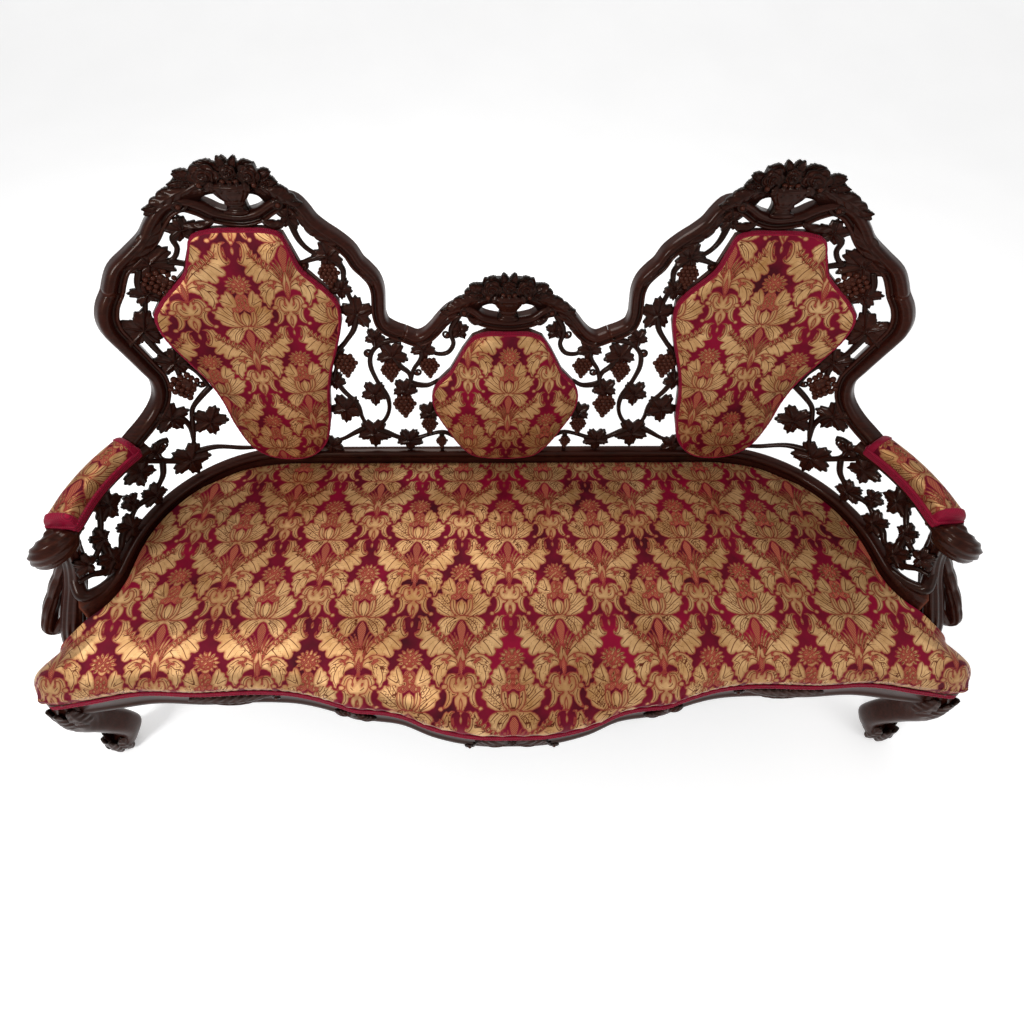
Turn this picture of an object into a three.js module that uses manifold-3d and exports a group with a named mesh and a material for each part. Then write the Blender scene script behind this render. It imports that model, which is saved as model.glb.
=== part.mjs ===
// A carved settee with a serpentine sprung seat, a wrap-round pierced vine back, three padded medallions,
// three flower-basket crests and padded open arms.
// Millimetres, Z up. The settee faces -Y and its right-hand side is +X.
// Plan places are set out from a line across the front legs. The finished group is centred on its plan.
import * as THREE from "three";
import { mergeVertices } from "three/addons/utils/BufferGeometryUtils.js";
import Module from "manifold-3d";

// Clearance between seated pieces
const fit = 0.3;

// Seat frame
const railTop = 368;
const railHeight = 78;
const frontRailThickness = 34;
const frontRailLip = 8;
const backRailThickness = 46;
const backRailInset = 42;
const seatHalfWidth = 1030;
const serpentineLine = 22;
const serpentineDepth = 100;
const braceWidth = 32;
const braceHeight = 44;
const bracePlace = 165;
const blockThickness = 30;
const blockReach = 70;
const blockHeight = 62;
const blockInset = 96;

// Back: a plan line bent round at both ends and raked outward, followed from the middle of the back
const backLine = 577;
const backShoulder = 85;
const backBendRadius = 330;
const backStraightHalf = seatHalfWidth - backShoulder - backBendRadius;
const sideStraight = 52;
const flareRadius = 90;
const flareTurn = Math.PI / 3;
const backRakeShare = 0.208;
const bottomRailRise = 152;
const bottomRailTop = railTop + bottomRailRise;
const stileTurn = 1.1667;
const backReach = backStraightHalf + backBendRadius * stileTurn;
const backRise = 700;
const boardThickness = 24;
const mouldWidth = 33;
const mouldThickness = 36;

// Carved vine
const vineThickness = 20;
const stemWidth = 10;
const stemThickness = 14;
const leafRadiusShare = 0.036;
const leafRadius = leafRadiusShare * backReach;
const leafCrown = 5;
const grapeRadiusShare = 0.03;
const grapeRadius = grapeRadiusShare * backReach;
const grapeCrown = 9;

// Medallions
const panelLap = 8;
const panelFoot = bottomRailTop - panelLap;
const sidePanelPlaceShare = 0.604;
const sidePanelHalfWidthShare = 0.192;
const sidePanelHeightShare = 0.9014;
const centrePanelHalfWidthShare = 0.193;
const centrePanelHeightShare = 0.5457;
const sidePanelPlace = sidePanelPlaceShare * backReach;
const panelBoardThickness = 12;
const panelEdge = 15;
const panelCrown = 36;
const gimpThickness = 3;
const gimpWidth = 12;
const gimpClearance = 0.8;
const coverThickness = 2.5;

// Flower baskets on the crests
const basketRiseShare = 0.16;
const sideBasketWidthShare = 0.146;
const centreBasketWidthShare = 0.174;
const basketRise = basketRiseShare * backRise;
const basketThickness = 34;
const basketForward = 6;
const flowerRadius = 30;

// Arms
const armRise = 326;
const armTop = railTop + armRise;
const armRailWidth = 50;
const armRailHeight = 32;
const armRailLead = 68;
const armPadLead = 42;
const armStop = 9.36;
const armPadWidth = 62;
const armPadHeight = 38;
const scrollRadius = 28;
const scrollReach = 82;
const scrollDrop = 30;
const postTopAhead = 16;
const postOut = 64;
const postSetback = 108;
const postHalfWidth = 27;

// Legs
const legOut = 16;
const legX = seatHalfWidth + legOut;
const legY = -22;
const legHalfWidth = 34;
const rearLegTurn = 0.61;
const rearLegHalfWidth = 22;
const rearLegRake = 105;
const rearLegSplay = 40;

// Seat upholstery
const cornerOut = 44;
const cornerX = seatHalfWidth + cornerOut;
const cornerY = -36;
const bulge = 15;
const bulgeHeight = 32;
const edgeRise = 96;
const rollWidth = 136;
const seatCrown = 40;
const crownSetback = 307;
const crownMiddle = backLine - crownSetback;
const crownHalfDepth = 300;
const tuckGap = 3;
const tuckDrop = 2;
const tuckWidth = 60;
const rimWidth = 44;
const stuffing = 60;
const footingInset = 6.4;
const seatGimpWidth = 9;
const seatGimpThickness = 4;

// Springs and webbing
const springColumns = 5;
const springRows = 2;
const springSideGap = 370;
const springPitch = (2 * (seatHalfWidth - springSideGap)) / (springColumns - 1);
const springFront = 170;
const springSetback = 177;
const springBack = backLine - springSetback;
const springRadius = 46;
const springWaistShare = 0.72;
const springTurns = 4;
const springWire = 4;
const webWidth = 70;
const webThickness = 2.4;
const dustThickness = 1.6;
const dustInset = 76;

// Counts of steps along curves and round them
const mouldStep = 34;
const frontStep = 76;
const stemStep = 60;
const seatColumns = 26;
const coilSteps = 5;
const leafLobes = 5;
const grapeSides = 9;
const boardSteps = 40;
const bendSteps = 14;
const railSteps = 16;
const armSteps = 8;
const padSteps = 10;
const edgeSteps = 90;

// Half of the serpentine front, from the middle: shares of the half width and of the depth of the curve
const frontShares = [
  [0, 1],
  [0.085, 0.97],
  [0.17, 0.8],
  [0.245, 0.53],
  [0.31, 0.44],
  [0.352, 0.4],
  [0.39, 0.27],
  [0.48, 0.06],
  [0.57, 0],
  [0.7, 0.04],
  [0.82, 0],
  [0.92, 0.13],
  [1, 0.24],
];

// Back outline: shares of the reach along the back and of the rise above the bottom rail
const centreCrestShares = [
  [0, 0.561],
  [0.038, 0.566],
  [0.068, 0.579],
  [0.092, 0.605],
  [0.118, 0.613],
  [0.141, 0.6],
  [0.163, 0.57],
  [0.186, 0.531],
  [0.208, 0.505],
  [0.23, 0.496],
  [0.262, 0.513],
];
const sideCrestShares = [
  [0.262, 0.513],
  [0.29, 0.529],
  [0.312, 0.552],
  [0.32, 0.59],
  [0.319, 0.63],
  [0.318, 0.68],
  [0.325, 0.717],
  [0.341, 0.747],
  [0.358, 0.772],
  [0.374, 0.812],
  [0.4, 0.846],
  [0.43, 0.876],
  [0.453, 0.905],
  [0.468, 0.937],
  [0.485, 0.962],
  [0.509, 0.966],
  [0.532, 0.952],
  [0.56, 0.929],
  [0.604, 0.916],
  [0.645, 0.927],
  [0.666, 0.95],
  [0.69, 0.967],
  [0.714, 0.955],
  [0.735, 0.92],
  [0.755, 0.876],
  [0.785, 0.838],
  [0.812, 0.807],
  [0.827, 0.772],
  [0.836, 0.746],
];
const stileShares = [
  [0.836, 0.746],
  [0.852, 0.713],
  [0.863, 0.675],
  [0.866, 0.636],
  [0.863, 0.607],
  [0.855, 0.55],
  [0.846, 0.486],
  [0.839, 0.429],
  [0.847, 0.371],
  [0.866, 0.331],
  [0.9, 0.294],
  [0.952, 0.262],
];

// Half outlines of the medallions, from the top middle: shares of the half width and of the height
const sidePanelShares = [
  [0, 1],
  [0.3, 0.998],
  [0.44, 0.983],
  [0.51, 0.93],
  [0.6, 0.86],
  [0.88, 0.775],
  [0.985, 0.73],
  [0.985, 0.65],
  [0.88, 0.54],
  [0.755, 0.43],
  [0.685, 0.33],
  [0.64, 0.2],
  [0.52, 0.08],
  [0.3, 0.018],
  [0, 0],
];
const centrePanelShares = [
  [0, 1],
  [0.3, 0.998],
  [0.45, 0.965],
  [0.58, 0.87],
  [0.75, 0.715],
  [0.94, 0.615],
  [1, 0.53],
  [0.97, 0.42],
  [0.78, 0.235],
  [0.62, 0.11],
  [0.45, 0.03],
  [0.2, 0.003],
  [0, 0],
];

// Vine between the centre and side medallions: each stem is a list of places
const innerStemShares = [
  [[0.5, 0.93], [0.484, 0.85], [0.459, 0.812], [0.423, 0.801]],
  [[0.423, 0.801], [0.462, 0.788], [0.492, 0.772]],
  [[0.423, 0.801], [0.394, 0.755], [0.395, 0.707], [0.373, 0.6]],
  [
    [0.373, 0.6], [0.385, 0.54], [0.41, 0.49], [0.44, 0.437], [0.443, 0.39], [0.452, 0.34],
    [0.436, 0.287], [0.402, 0.22], [0.394, 0.16], [0.38, 0.111],
  ],
  [
    [0.27, 0.5], [0.319, 0.484], [0.348, 0.445], [0.355, 0.395], [0.343, 0.33], [0.318, 0.251],
    [0.318, 0.196], [0.335, 0.145], [0.363, 0.111],
  ],
  [[0.296, 0.436], [0.278, 0.39], [0.256, 0.36], [0.252, 0.321], [0.262, 0.27], [0.273, 0.22]],
  [[0.212, 0.48], [0.222, 0.42], [0.243, 0.375], [0.252, 0.331]],
  [[0.252, 0.318], [0.232, 0.309], [0.205, 0.309], [0.18, 0.33]],
  [
    [0.363, 0.111], [0.33, 0.088], [0.292, 0.063], [0.244, 0.063], [0.213, 0.078], [0.17, 0.09],
    [0.13, 0.06],
  ],
  [[0.388, 0.115], [0.425, 0.084], [0.457, 0.058], [0.5, 0.04]],
  [[0.118, 0.6], [0.143, 0.53], [0.137, 0.48], [0.152, 0.446], [0.177, 0.44], [0.21, 0.46]],
  [[0.175, 0.092], [0.176, 0.05], [0.176, -0.01]],
  [[0.206, 0.17], [0.21, 0.12], [0.213, 0.078]],
];
const outerStemShares = [
  [[0.7, 0.93], [0.701, 0.896], [0.72, 0.87], [0.719, 0.835], [0.733, 0.804], [0.766, 0.81]],
  [[0.74, 0.803], [0.722, 0.79], [0.7, 0.775]],
  [[0.785, 0.795], [0.797, 0.75], [0.798, 0.7], [0.812, 0.644], [0.827, 0.611]],
  [
    [0.826, 0.6], [0.822, 0.56], [0.812, 0.503], [0.785, 0.455], [0.768, 0.41], [0.761, 0.37],
    [0.757, 0.336],
  ],
  [[0.79, 0.47], [0.8, 0.43], [0.801, 0.39]],
  [[0.752, 0.34], [0.784, 0.307], [0.807, 0.277], [0.82, 0.23], [0.832, 0.173], [0.855, 0.1]],
  [[0.86, 0.28], [0.84, 0.262], [0.831, 0.215], [0.838, 0.15]],
  [[0.85, 0.105], [0.8, 0.088], [0.74, 0.046], [0.7, 0.03]],
  [[0.887, 0.203], [0.906, 0.21], [0.921, 0.183], [0.919, 0.145], [0.885, 0.1]],
  [[0.98, 0.225], [0.96, 0.198], [0.94, 0.165], [0.915, 0.13], [0.875, 0.08]],
  [[0.922, 0.14], [0.94, 0.092], [0.962, 0.069], [0.983, 0.05]],
  [[0.983, 0.05], [1.012, 0.062], [1.036, 0.068], [1.06, 0.055], [1.081, 0.037]],
  [[1.036, 0.068], [1.047, 0.095], [1.034, 0.114], [1.024, 0.094]],
  [[1.081, 0.037], [1.104, 0.045], [1.13, 0.026], [1.169, 0.037]],
  [[1.079, 0.22], [1.105, 0.16], [1.145, 0.116], [1.18, 0.1], [1.211, 0.114]],
  [[1.148, 0.116], [1.16, 0.08], [1.169, 0.037]],
  [[1.172, 0.025], [1.2, 0.04], [1.222, 0.07], [1.27, 0.09]],
];

// Leaves: place along and up, then size as a share of the leaf radius and turn as a share of a full turn
const innerLeafShares = [
  [0.423, 0.801, 0.95, 0.55],
  [0.373, 0.6, 1.1, 0],
  [0.335, 0.505, 0.7, 0.1],
  [0.296, 0.436, 1.05, 0.5],
  [0.215, 0.462, 0.85, 0.5],
  [0.352, 0.274, 0.95, 0.1],
  [0.434, 0.206, 1.15, 0.52],
  [0.366, 0.09, 1.2, 0.5],
  [0.206, 0.187, 0.85, 0.45],
  [0.267, 0.056, 0.95, 0.5],
  [0.122, 0.535, 0.65, 0.6],
  [0.488, 0.03, 0.8, 0.75],
];
const outerLeafShares = [
  [0.702, 0.893, 0.75, 0.4],
  [0.768, 0.808, 1.1, 0.55],
  [0.822, 0.611, 1.15, 0.25],
  [0.858, 0.278, 1.05, 0.05],
  [0.786, 0.206, 1.1, 0.5],
  [0.866, 0.088, 1.25, 0.5],
  [0.978, 0.165, 1, 0.55],
  [1.079, 0.165, 1, 0.5],
  [1.146, 0.118, 0.7, 0.1],
  [1.17, 0.045, 0.95, 0.5],
  [1.214, 0.115, 0.75, 0.3],
  [0.985, 0.052, 0.85, 0.5],
  [1.081, 0.04, 0.9, 0.9],
];

// Bunches of grapes: place along and up, then size as a share of the bunch radius
const innerGrapeShares = [
  [0.426, 0.736, 0.95],
  [0.416, 0.397, 1.1],
  [0.303, 0.37, 0.95],
  [0.2, 0.388, 0.95],
  [0.273, 0.22, 1.15],
  [0.208, 0.13, 0.85],
];
const outerGrapeShares = [
  [0.764, 0.74, 1.05],
  [0.802, 0.37, 1.2],
];

// Half outline of a basket of flowers, from the top middle: shares of its half width and rise
const basketShares = [
  [0, 0.92],
  [0.2, 1],
  [0.3, 0.82],
  [0.55, 0.79],
  [0.58, 0.62],
  [0.8, 0.4],
  [1, 0.14],
  [0.97, 0.04],
  [0.7, 0.2],
  [0.44, 0.17],
  [0.36, 0.31],
  [0.21, 0.35],
  [0.14, 0.16],
  [0.18, 0.02],
  [0, 0.02],
];
const flowerShares = [
  [0, 0.74, 0.74],
  [0.3, 0.64, 0.8],
];

// Sections: shares of the width across and of the thickness outward, front to back
const mouldSectionShares = [
  [-0.5, 0.5],
  [-0.5, -0.28],
  [-0.2, -0.5],
  [0.2, -0.5],
  [0.5, -0.28],
  [0.5, 0.5],
];
const stemSectionShares = [
  [-0.5, 0.4],
  [0, -0.6],
  [0.5, 0.4],
];
const plainSectionShares = [
  [-0.5, -0.5],
  [0.5, -0.5],
  [0.5, 0.5],
  [-0.5, 0.5],
];

// A round section with a flat on each side: shares of its half width and half height
const roundSides = 8;
const roundShares = Array.from({ length: roundSides }, (_, i) => {
  const angle = (2 * Math.PI * (i + 0.5)) / roundSides;
  const reach = 1 / Math.cos(Math.PI / roundSides);
  return [Math.cos(angle) * reach, Math.sin(angle) * reach];
});

// Spring wire section: shares of its thickness
const wireShares = [
  [0, 0.58],
  [-0.5, -0.5],
  [0.5, -0.5],
];

// Front rail section: shares of the thickness forward of its back face and of the height above its foot
const frontRailShares = [
  [0, 1],
  [0.9, 1],
  [1, 0.84],
  [0.84, 0.62],
  [0.86, 0.3],
  [1, 0.16],
  [0.94, 0],
  [0, 0],
];

// Cabriole leg, from the top: heights as shares of the rail top, and how far it moves out and forward and
// its size by the leg's half width
const legShares = [
  [1, 0, 0, 1],
  [0.9, -0.05, -0.15, 1.05],
  [0.77, 0, -0.42, 1.14],
  [0.64, -0.05, -0.46, 1.06],
  [0.5, -0.34, -0.26, 0.94],
  [0.35, -0.62, -0.05, 0.88],
  [0.22, -0.54, 0, 0.86],
  [0.12, 0.1, -0.3, 0.98],
  [0.05, 0.66, -0.5, 1.06],
  [0, 0.8, -0.5, 0.7],
];

// Rear leg at its top, at the rail's foot and at the floor: shares of its width
const rearLegShares = [1.15, 1.05, 0.8];

// Arm post, from its top: shares of the height, of the way from top to base in X and Y, and of the width
const postShares = [
  [1, 0, 0, 0.8],
  [0.8, 0.22, 0.06, 0.84],
  [0.62, 0.42, 0.24, 0.9],
  [0.44, 0.66, 0.5, 1],
  [0.26, 0.86, 0.78, 1.06],
  [0.1, 0.97, 0.97, 1.02],
  [0, 1, 1, 0.9],
];

// Carved leaf on the outside of an arm post, from its top: shares of the post's height, and how far it
// stands out and its size by the post's half width
const postLeafShares = [
  [0.84, 0.5, 0.5],
  [0.7, 1.1, 0.66],
  [0.52, 1.66, 0.74],
  [0.36, 1.94, 0.8],
  [0.24, 1.96, 0.66],
  [0.2, 1.5, 0.5],
  [0.3, 0.7, 0.5],
];

// Arm scroll, past the end of the pad: shares of its reach outward and forward, of its drop and radius
const scrollShares = [
  [0, 0, 0, 0.9],
  [0.1, 0.16, 0, 1],
  [0.34, 0.3, 0.06, 1.14],
  [0.62, 0.36, 0.3, 1.22],
  [0.84, 0.32, 0.66, 1.04],
  [0.97, 0.22, 1, 0.6],
];

// Padding: rings as shares of the outline, and how much of the crown each has risen
const padShares = [
  [0.92, 0.3],
  [0.75, 0.68],
  [0.4, 0.96],
];

const padEndShare = 0.72;
const panelInnerShare = 0.4;
const panelMiddleShare = 0.6;
const leafNotchShare = 0.64;
const grapeWidthShare = 0.72;
const grapeTaperShare = 0.2;
const frontStopShare = 0.93;
const freeSideShare = 0.2;
const postClearShare = 1.45;
const sideEndShare = 0.2796;
const rollPowerShare = 2.2;
const springFlatShare = 0.6;
const springSinkShare = 0.18;

// Arm pad section, from its front foot over the crown: shares of half its width and of its height
const armPadShares = [
  [-1, 0],
  [-1.02, 0.45],
  [-0.62, 0.88],
  [0, 1],
  [0.62, 0.88],
  [1.02, 0.45],
  [1, 0],
];

// Places of the seat's grid lines as shares of its depth, and how far its columns crowd toward the ends
const seatRowShares = [0, 0.05, 0.12, 0.2, 0.3, 0.4, 0.51, 0.62, 0.73, 0.84, 0.94, 1];
const seatEdgeShare = 0.6;

const wasm = await Module();
wasm.setup();

// Materials
function finish(colour, roughness, metalness = 0) {
  return new THREE.MeshStandardMaterial({ color: colour, roughness, metalness });
}
const rosewood = finish(0x3c1a12, 0.3);
const secondaryWood = finish(0x8a6844, 0.65);
const damask = finish(0xb07a46, 0.55);
const crimsonBraid = finish(0x8c1028, 0.7);
const backCloth = finish(0x6a0f20, 0.8);
const jute = finish(0xa88c5c, 0.9);
const springSteel = finish(0x6b5a48, 0.4, 0.9);
const dustCloth = finish(0x23201e, 0.95);

// Closed bodies

// A body from its corner points and triangles, turned so that every face points out.
function body(points, faces) {
  const volume = faces.reduce(
    (sum, [a, b, c]) => sum + points[a].dot(points[b].clone().cross(points[c])),
    0,
  );
  const turned = volume < 0 ? faces.map(([a, b, c]) => [a, c, b]) : faces;
  return new THREE.BufferGeometry().setFromPoints(points).setIndex(turned.flat());
}

// The middle of a ring of points.
function middleOf(ring) {
  return ring
    .reduce((sum, point) => sum.add(point), new THREE.Vector3())
    .divideScalar(ring.length);
}

// A skin through rings of points, closed at its ends or running round on itself.
function loft(rings, endless = false) {
  const sides = rings[0].length;
  const points = rings.flat();
  const faces = [];
  const spans = endless ? rings.length : rings.length - 1;
  for (let i = 0; i < spans; i++) {
    const next = (i + 1) % rings.length;
    for (let j = 0; j < sides; j++) {
      const k = (j + 1) % sides;
      faces.push([i * sides + j, i * sides + k, next * sides + k]);
      faces.push([i * sides + j, next * sides + k, next * sides + j]);
    }
  }
  if (!endless) {
    const last = (rings.length - 1) * sides;
    points.push(middleOf(rings[0]), middleOf(rings[rings.length - 1]));
    for (let j = 0; j < sides; j++) {
      const k = (j + 1) % sides;
      faces.push([k, j, points.length - 2]);
      faces.push([last + j, last + k, points.length - 1]);
    }
  }
  return body(points, faces);
}

// A flat outline given as two facing rings, front and back, with its faces divided by ear cutting.
function slab(front, back, outline) {
  const flat = outline.map(([along, up]) => new THREE.Vector2(along, up));
  if (THREE.ShapeUtils.isClockWise(flat)) [flat, front, back].forEach((list) => list.reverse());
  const cut = THREE.ShapeUtils.triangulateShape(flat, []);
  const count = front.length;
  const faces = cut.map(([a, b, c]) => [a, b, c]);
  cut.forEach(([a, b, c]) => faces.push([count + a, count + c, count + b]));
  for (let i = 0; i < count; i++) {
    const k = (i + 1) % count;
    faces.push([k, i, count + i]);
    faces.push([k, count + i, count + k]);
  }
  return body([...front, ...back], faces);
}

// A geometry as a solid that can be joined and cut.
function solid(geometry) {
  const bare = geometry.clone();
  bare.deleteAttribute("normal");
  bare.deleteAttribute("uv");
  const merged = mergeVertices(bare);
  return new wasm.Manifold(
    new wasm.Mesh({
      numProp: 3,
      vertProperties: merged.attributes.position.array,
      triVerts: new Uint32Array(merged.index.array),
    }),
  );
}

// A solid as a geometry.
function geometryOf(made) {
  const mesh = made.getMesh();
  return new THREE.BufferGeometry()
    .setAttribute("position", new THREE.BufferAttribute(mesh.vertProperties, 3))
    .setIndex(new THREE.BufferAttribute(mesh.triVerts, 1));
}

// The first geometry joined to the others.
function joined(geometries) {
  const solids = geometries.map(solid);
  return geometryOf(solids.slice(1).reduce((sum, one) => sum.add(one), solids[0]));
}

// A geometry with the others cut away.
function trimmed(geometry, cutters) {
  const made = cutters.map(solid).reduce((rest, one) => rest.subtract(one), solid(geometry));
  return geometryOf(made);
}

// Curves

// Places along a smooth line through the given places, about a step apart.
function smooth(places, step) {
  const curve = new THREE.CatmullRomCurve3(
    places.map(([along, up]) => new THREE.Vector3(along, up, 0)),
    false,
    "centripetal",
  );
  const count = Math.max(2, Math.round(curve.getLength() / step));
  return curve.getSpacedPoints(count).map((point) => [point.x, point.y]);
}

// The same places on the other side.
function mirrored(places) {
  return places.map(([along, ...rest]) => [-along, ...rest]);
}

// A whole line or outline from its right half.
function bothHalves(half, closes) {
  const left = mirrored(half).reverse();
  return closes ? [...half, ...left.slice(1, -1)] : [...left.slice(0, -1), ...half];
}

const bendEnd = backStraightHalf + (backBendRadius * Math.PI) / 2;
const backEnd = bendEnd + sideStraight + flareRadius * flareTurn;

// A place along the back: up to the stile by the share of its reach, and from there by the share of the side.
function placeAlong(share) {
  const past = Math.max(0, share - 1) / sideEndShare;
  return Math.min(share, 1) * backReach + past * (backEnd - backReach);
}

// Places on the back from a table of shares.
function places(shares) {
  return shares.map(([along, up]) => [placeAlong(along), bottomRailTop + up * backRise]);
}

// The back's surface

// A point of the back: along its plan line from the middle, up from the floor and out from its surface.
function onBack(along, up, out = 0) {
  const side = along < 0 ? -1 : 1;
  const run = Math.abs(along);
  const bend = THREE.MathUtils.clamp((run - backStraightHalf) / backBendRadius, 0, Math.PI / 2);
  const past = Math.max(0, run - backStraightHalf - (backBendRadius * Math.PI) / 2);
  const straight = Math.min(past, sideStraight);
  const flare = Math.min(Math.max(0, past - sideStraight) / flareRadius, flareTurn);
  const turn = bend - flare;
  const lean = backRakeShare * (up - bottomRailTop) + out;
  const x =
    Math.min(run, backStraightHalf) +
    backBendRadius * Math.sin(bend) +
    flareRadius * (1 - Math.cos(flare)) +
    lean * Math.sin(turn);
  const y =
    backLine -
    backBendRadius * (1 - Math.cos(bend)) -
    straight -
    flareRadius * Math.sin(flare) +
    lean * Math.cos(turn);
  return new THREE.Vector3(side * x, y, up);
}

// A point of the plan line, moved out from it, at a height.
function onPlan(along, out, up) {
  return onBack(along, bottomRailTop, out).setZ(up);
}

// Points of the plan line at places along it, moved out from it.
function planPlaces(alongs, out) {
  return alongs.map((along) => {
    const point = onPlan(along, out, 0);
    return [point.x, point.y];
  });
}

// A bar that follows a line on the back, with the section across it, made larger all round by a margin.
function bar(line, width, thickness, section, margin = 0) {
  const rings = line.map(([along, up], i) => {
    const [fromAlong, fromUp] = line[Math.max(0, i - 1)];
    const [toAlong, toUp] = line[Math.min(line.length - 1, i + 1)];
    const run = Math.hypot(toAlong - fromAlong, toUp - fromUp);
    const acrossAlong = (fromUp - toUp) / run;
    const acrossUp = (toAlong - fromAlong) / run;
    return section.map(([across, out]) => {
      const reach = across * (width + 2 * margin);
      return onBack(along + acrossAlong * reach, up + acrossUp * reach, out * (thickness + 2 * margin));
    });
  });
  return loft(rings);
}

// A line shortened at both ends, so that the pieces that meet there keep their clearance.
function shortened(line, gap) {
  const ends = [...line];
  const pull = (end, next) => {
    const run = Math.hypot(next[0] - end[0], next[1] - end[1]);
    return [end[0] + ((next[0] - end[0]) * gap) / run, end[1] + ((next[1] - end[1]) * gap) / run];
  };
  ends[0] = pull(line[0], line[1]);
  ends[line.length - 1] = pull(line[line.length - 1], line[line.length - 2]);
  return ends;
}

// The three crest rails and the two stiles
const centreCrestLine = smooth(bothHalves(places(centreCrestShares), false), mouldStep);
const sideCrestLine = smooth(places(sideCrestShares), mouldStep);
const stileLine = smooth(places(stileShares), mouldStep);

function moulding(line, margin = 0) {
  const cutBack = margin ? line : shortened(line, fit);
  return bar(cutBack, mouldWidth, mouldThickness, mouldSectionShares, margin);
}

// Everything of the moulded outline, a little larger, for cutting the vine back to it.
function mouldingCutters() {
  const lines = [centreCrestLine, sideCrestLine, mirrored(sideCrestLine), stileLine, mirrored(stileLine)];
  return lines.map((line) => moulding(line, fit));
}

// The low board that the back stands on, running from post to post
function bottomBoard(margin = 0) {
  const top = bottomRailTop + margin;
  const foot = railTop + fit - margin;
  const half = boardThickness / 2 + margin;
  const rings = [];
  for (let i = 0; i <= boardSteps; i++) {
    const along = -backEnd + (2 * backEnd * i) / boardSteps;
    rings.push([
      onBack(along, foot, -half),
      onBack(along, top, -half),
      onBack(along, top, half),
      onBack(along, foot, half),
    ]);
  }
  return loft(rings);
}

// Medallions

// A medallion's outline on the back, moved outward by a margin.
function panelOutline(panel, margin = 0) {
  const half = panel.shares.map(([along, up]) => [along * panel.halfWidth, up * panel.height]);
  const whole = bothHalves(half, true);
  return whole.map(([along, up], i) => {
    const [fromAlong, fromUp] = whole[(i + whole.length - 1) % whole.length];
    const [toAlong, toUp] = whole[(i + 1) % whole.length];
    const run = Math.hypot(toAlong - fromAlong, toUp - fromUp);
    return [
      panel.place + along - ((toUp - fromUp) / run) * margin,
      panel.foot + up + ((toAlong - fromAlong) / run) * margin,
    ];
  });
}

// Rings of a medallion's outline, each drawn in to a share of its size, set out from the back by a distance
// and widened by a margin.
function panelBody(panel, levels) {
  const middleUp = panel.foot + panel.height * panelMiddleShare;
  const rings = levels.map(([share, out, margin = 0]) =>
    panelOutline(panel, margin).map(([along, up]) =>
      onBack(panel.place + (along - panel.place) * share, middleUp + (up - middleUp) * share, out),
    ),
  );
  return loft(rings);
}

const sidePanel = {
  place: sidePanelPlace,
  halfWidth: sidePanelHalfWidthShare * backReach,
  foot: panelFoot,
  height: sidePanelHeightShare * backRise,
  shares: sidePanelShares,
};
const centrePanel = {
  place: 0,
  halfWidth: centrePanelHalfWidthShare * backReach,
  foot: panelFoot,
  height: centrePanelHeightShare * backRise,
  shares: centrePanelShares,
};
const panels = {
  left: { ...sidePanel, place: -sidePanelPlace },
  centre: centrePanel,
  right: sidePanel,
};

// The wooden board inside a medallion, level with the vine round it
const boardFront = -panelBoardThickness;
const boardMargin = gimpThickness + gimpClearance;

function panelBoard(panel) {
  const levels = [
    [panelInnerShare, boardFront],
    [1, boardFront],
    [1, boardFront, boardMargin],
    [1, 0, boardMargin],
    [1, 0],
    [panelInnerShare, 0],
  ];
  return trimmed(panelBody(panel, levels), [bottomBoard(fit), ...mouldingCutters()]);
}

// The stuffed and covered pad on the front of a medallion
function panelCushion(panel) {
  const seat = boardFront - fit;
  const edge = seat - panelEdge;
  const levels = [
    [panelInnerShare, seat],
    [1, seat],
    [1, edge],
    ...padShares.map(([share, rise]) => [share, edge - panelCrown * rise]),
  ];
  return trimmed(panelBody(panel, levels), [bottomBoard(fit)]);
}

// The braid round the edge of a medallion's pad
function panelGimp(panel) {
  const inner = panelOutline(panel, gimpClearance);
  const outer = panelOutline(panel, boardMargin);
  const back = boardFront - fit;
  const front = back - gimpWidth;
  const rings = inner.map((place, i) => [
    onBack(...place, back),
    onBack(...outer[i], back),
    onBack(...outer[i], front),
    onBack(...place, front),
  ]);
  return trimmed(loft(rings, true), [bottomBoard(fit)]);
}

// The cloth that covers the back of a medallion
function panelBackCover(panel) {
  const levels = [
    [panelInnerShare, fit + coverThickness],
    [1, fit + coverThickness],
    [1, fit],
    [panelInnerShare, fit],
  ];
  return trimmed(panelBody(panel, levels), [bottomBoard(fit)]);
}

// A block with a medallion's outline, right through the back, for cutting the vine
function panelCutter(panel) {
  const deep = 2 * mouldThickness;
  const margin = boardMargin + fit;
  return panelBody(panel, [
    [1, -deep, margin],
    [1, deep, margin],
  ]);
}

// Carving

// A shape on the back with a rim round a middle that stands forward by a crown.
function dome(along, up, rim, thickness, crown) {
  const half = thickness / 2;
  const ring = (out) => rim.map(([across, rise]) => onBack(along + across, up + rise, out));
  const points = [
    ...ring(-half),
    ...ring(half),
    onBack(along, up, -half - crown),
    onBack(along, up, half),
  ];
  const count = rim.length;
  const faces = rim.flatMap((_, i) => {
    const k = (i + 1) % count;
    return [
      [i, k, 2 * count],
      [k, i, count + i],
      [k, count + i, count + k],
      [count + k, count + i, 2 * count + 1],
    ];
  });
  return body(points, faces);
}

// A vine leaf with five lobes.
function leaf([along, up, size, turn]) {
  const rim = [];
  for (let i = 0; i < 2 * leafLobes; i++) {
    const angle = 2 * Math.PI * (turn + i / (2 * leafLobes)) + Math.PI / 2;
    const reach = leafRadius * size * (i % 2 ? leafNotchShare : 1);
    rim.push([Math.cos(angle) * reach, Math.sin(angle) * reach]);
  }
  return dome(placeAlong(along), bottomRailTop + up * backRise, rim, vineThickness, leafCrown);
}

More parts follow.
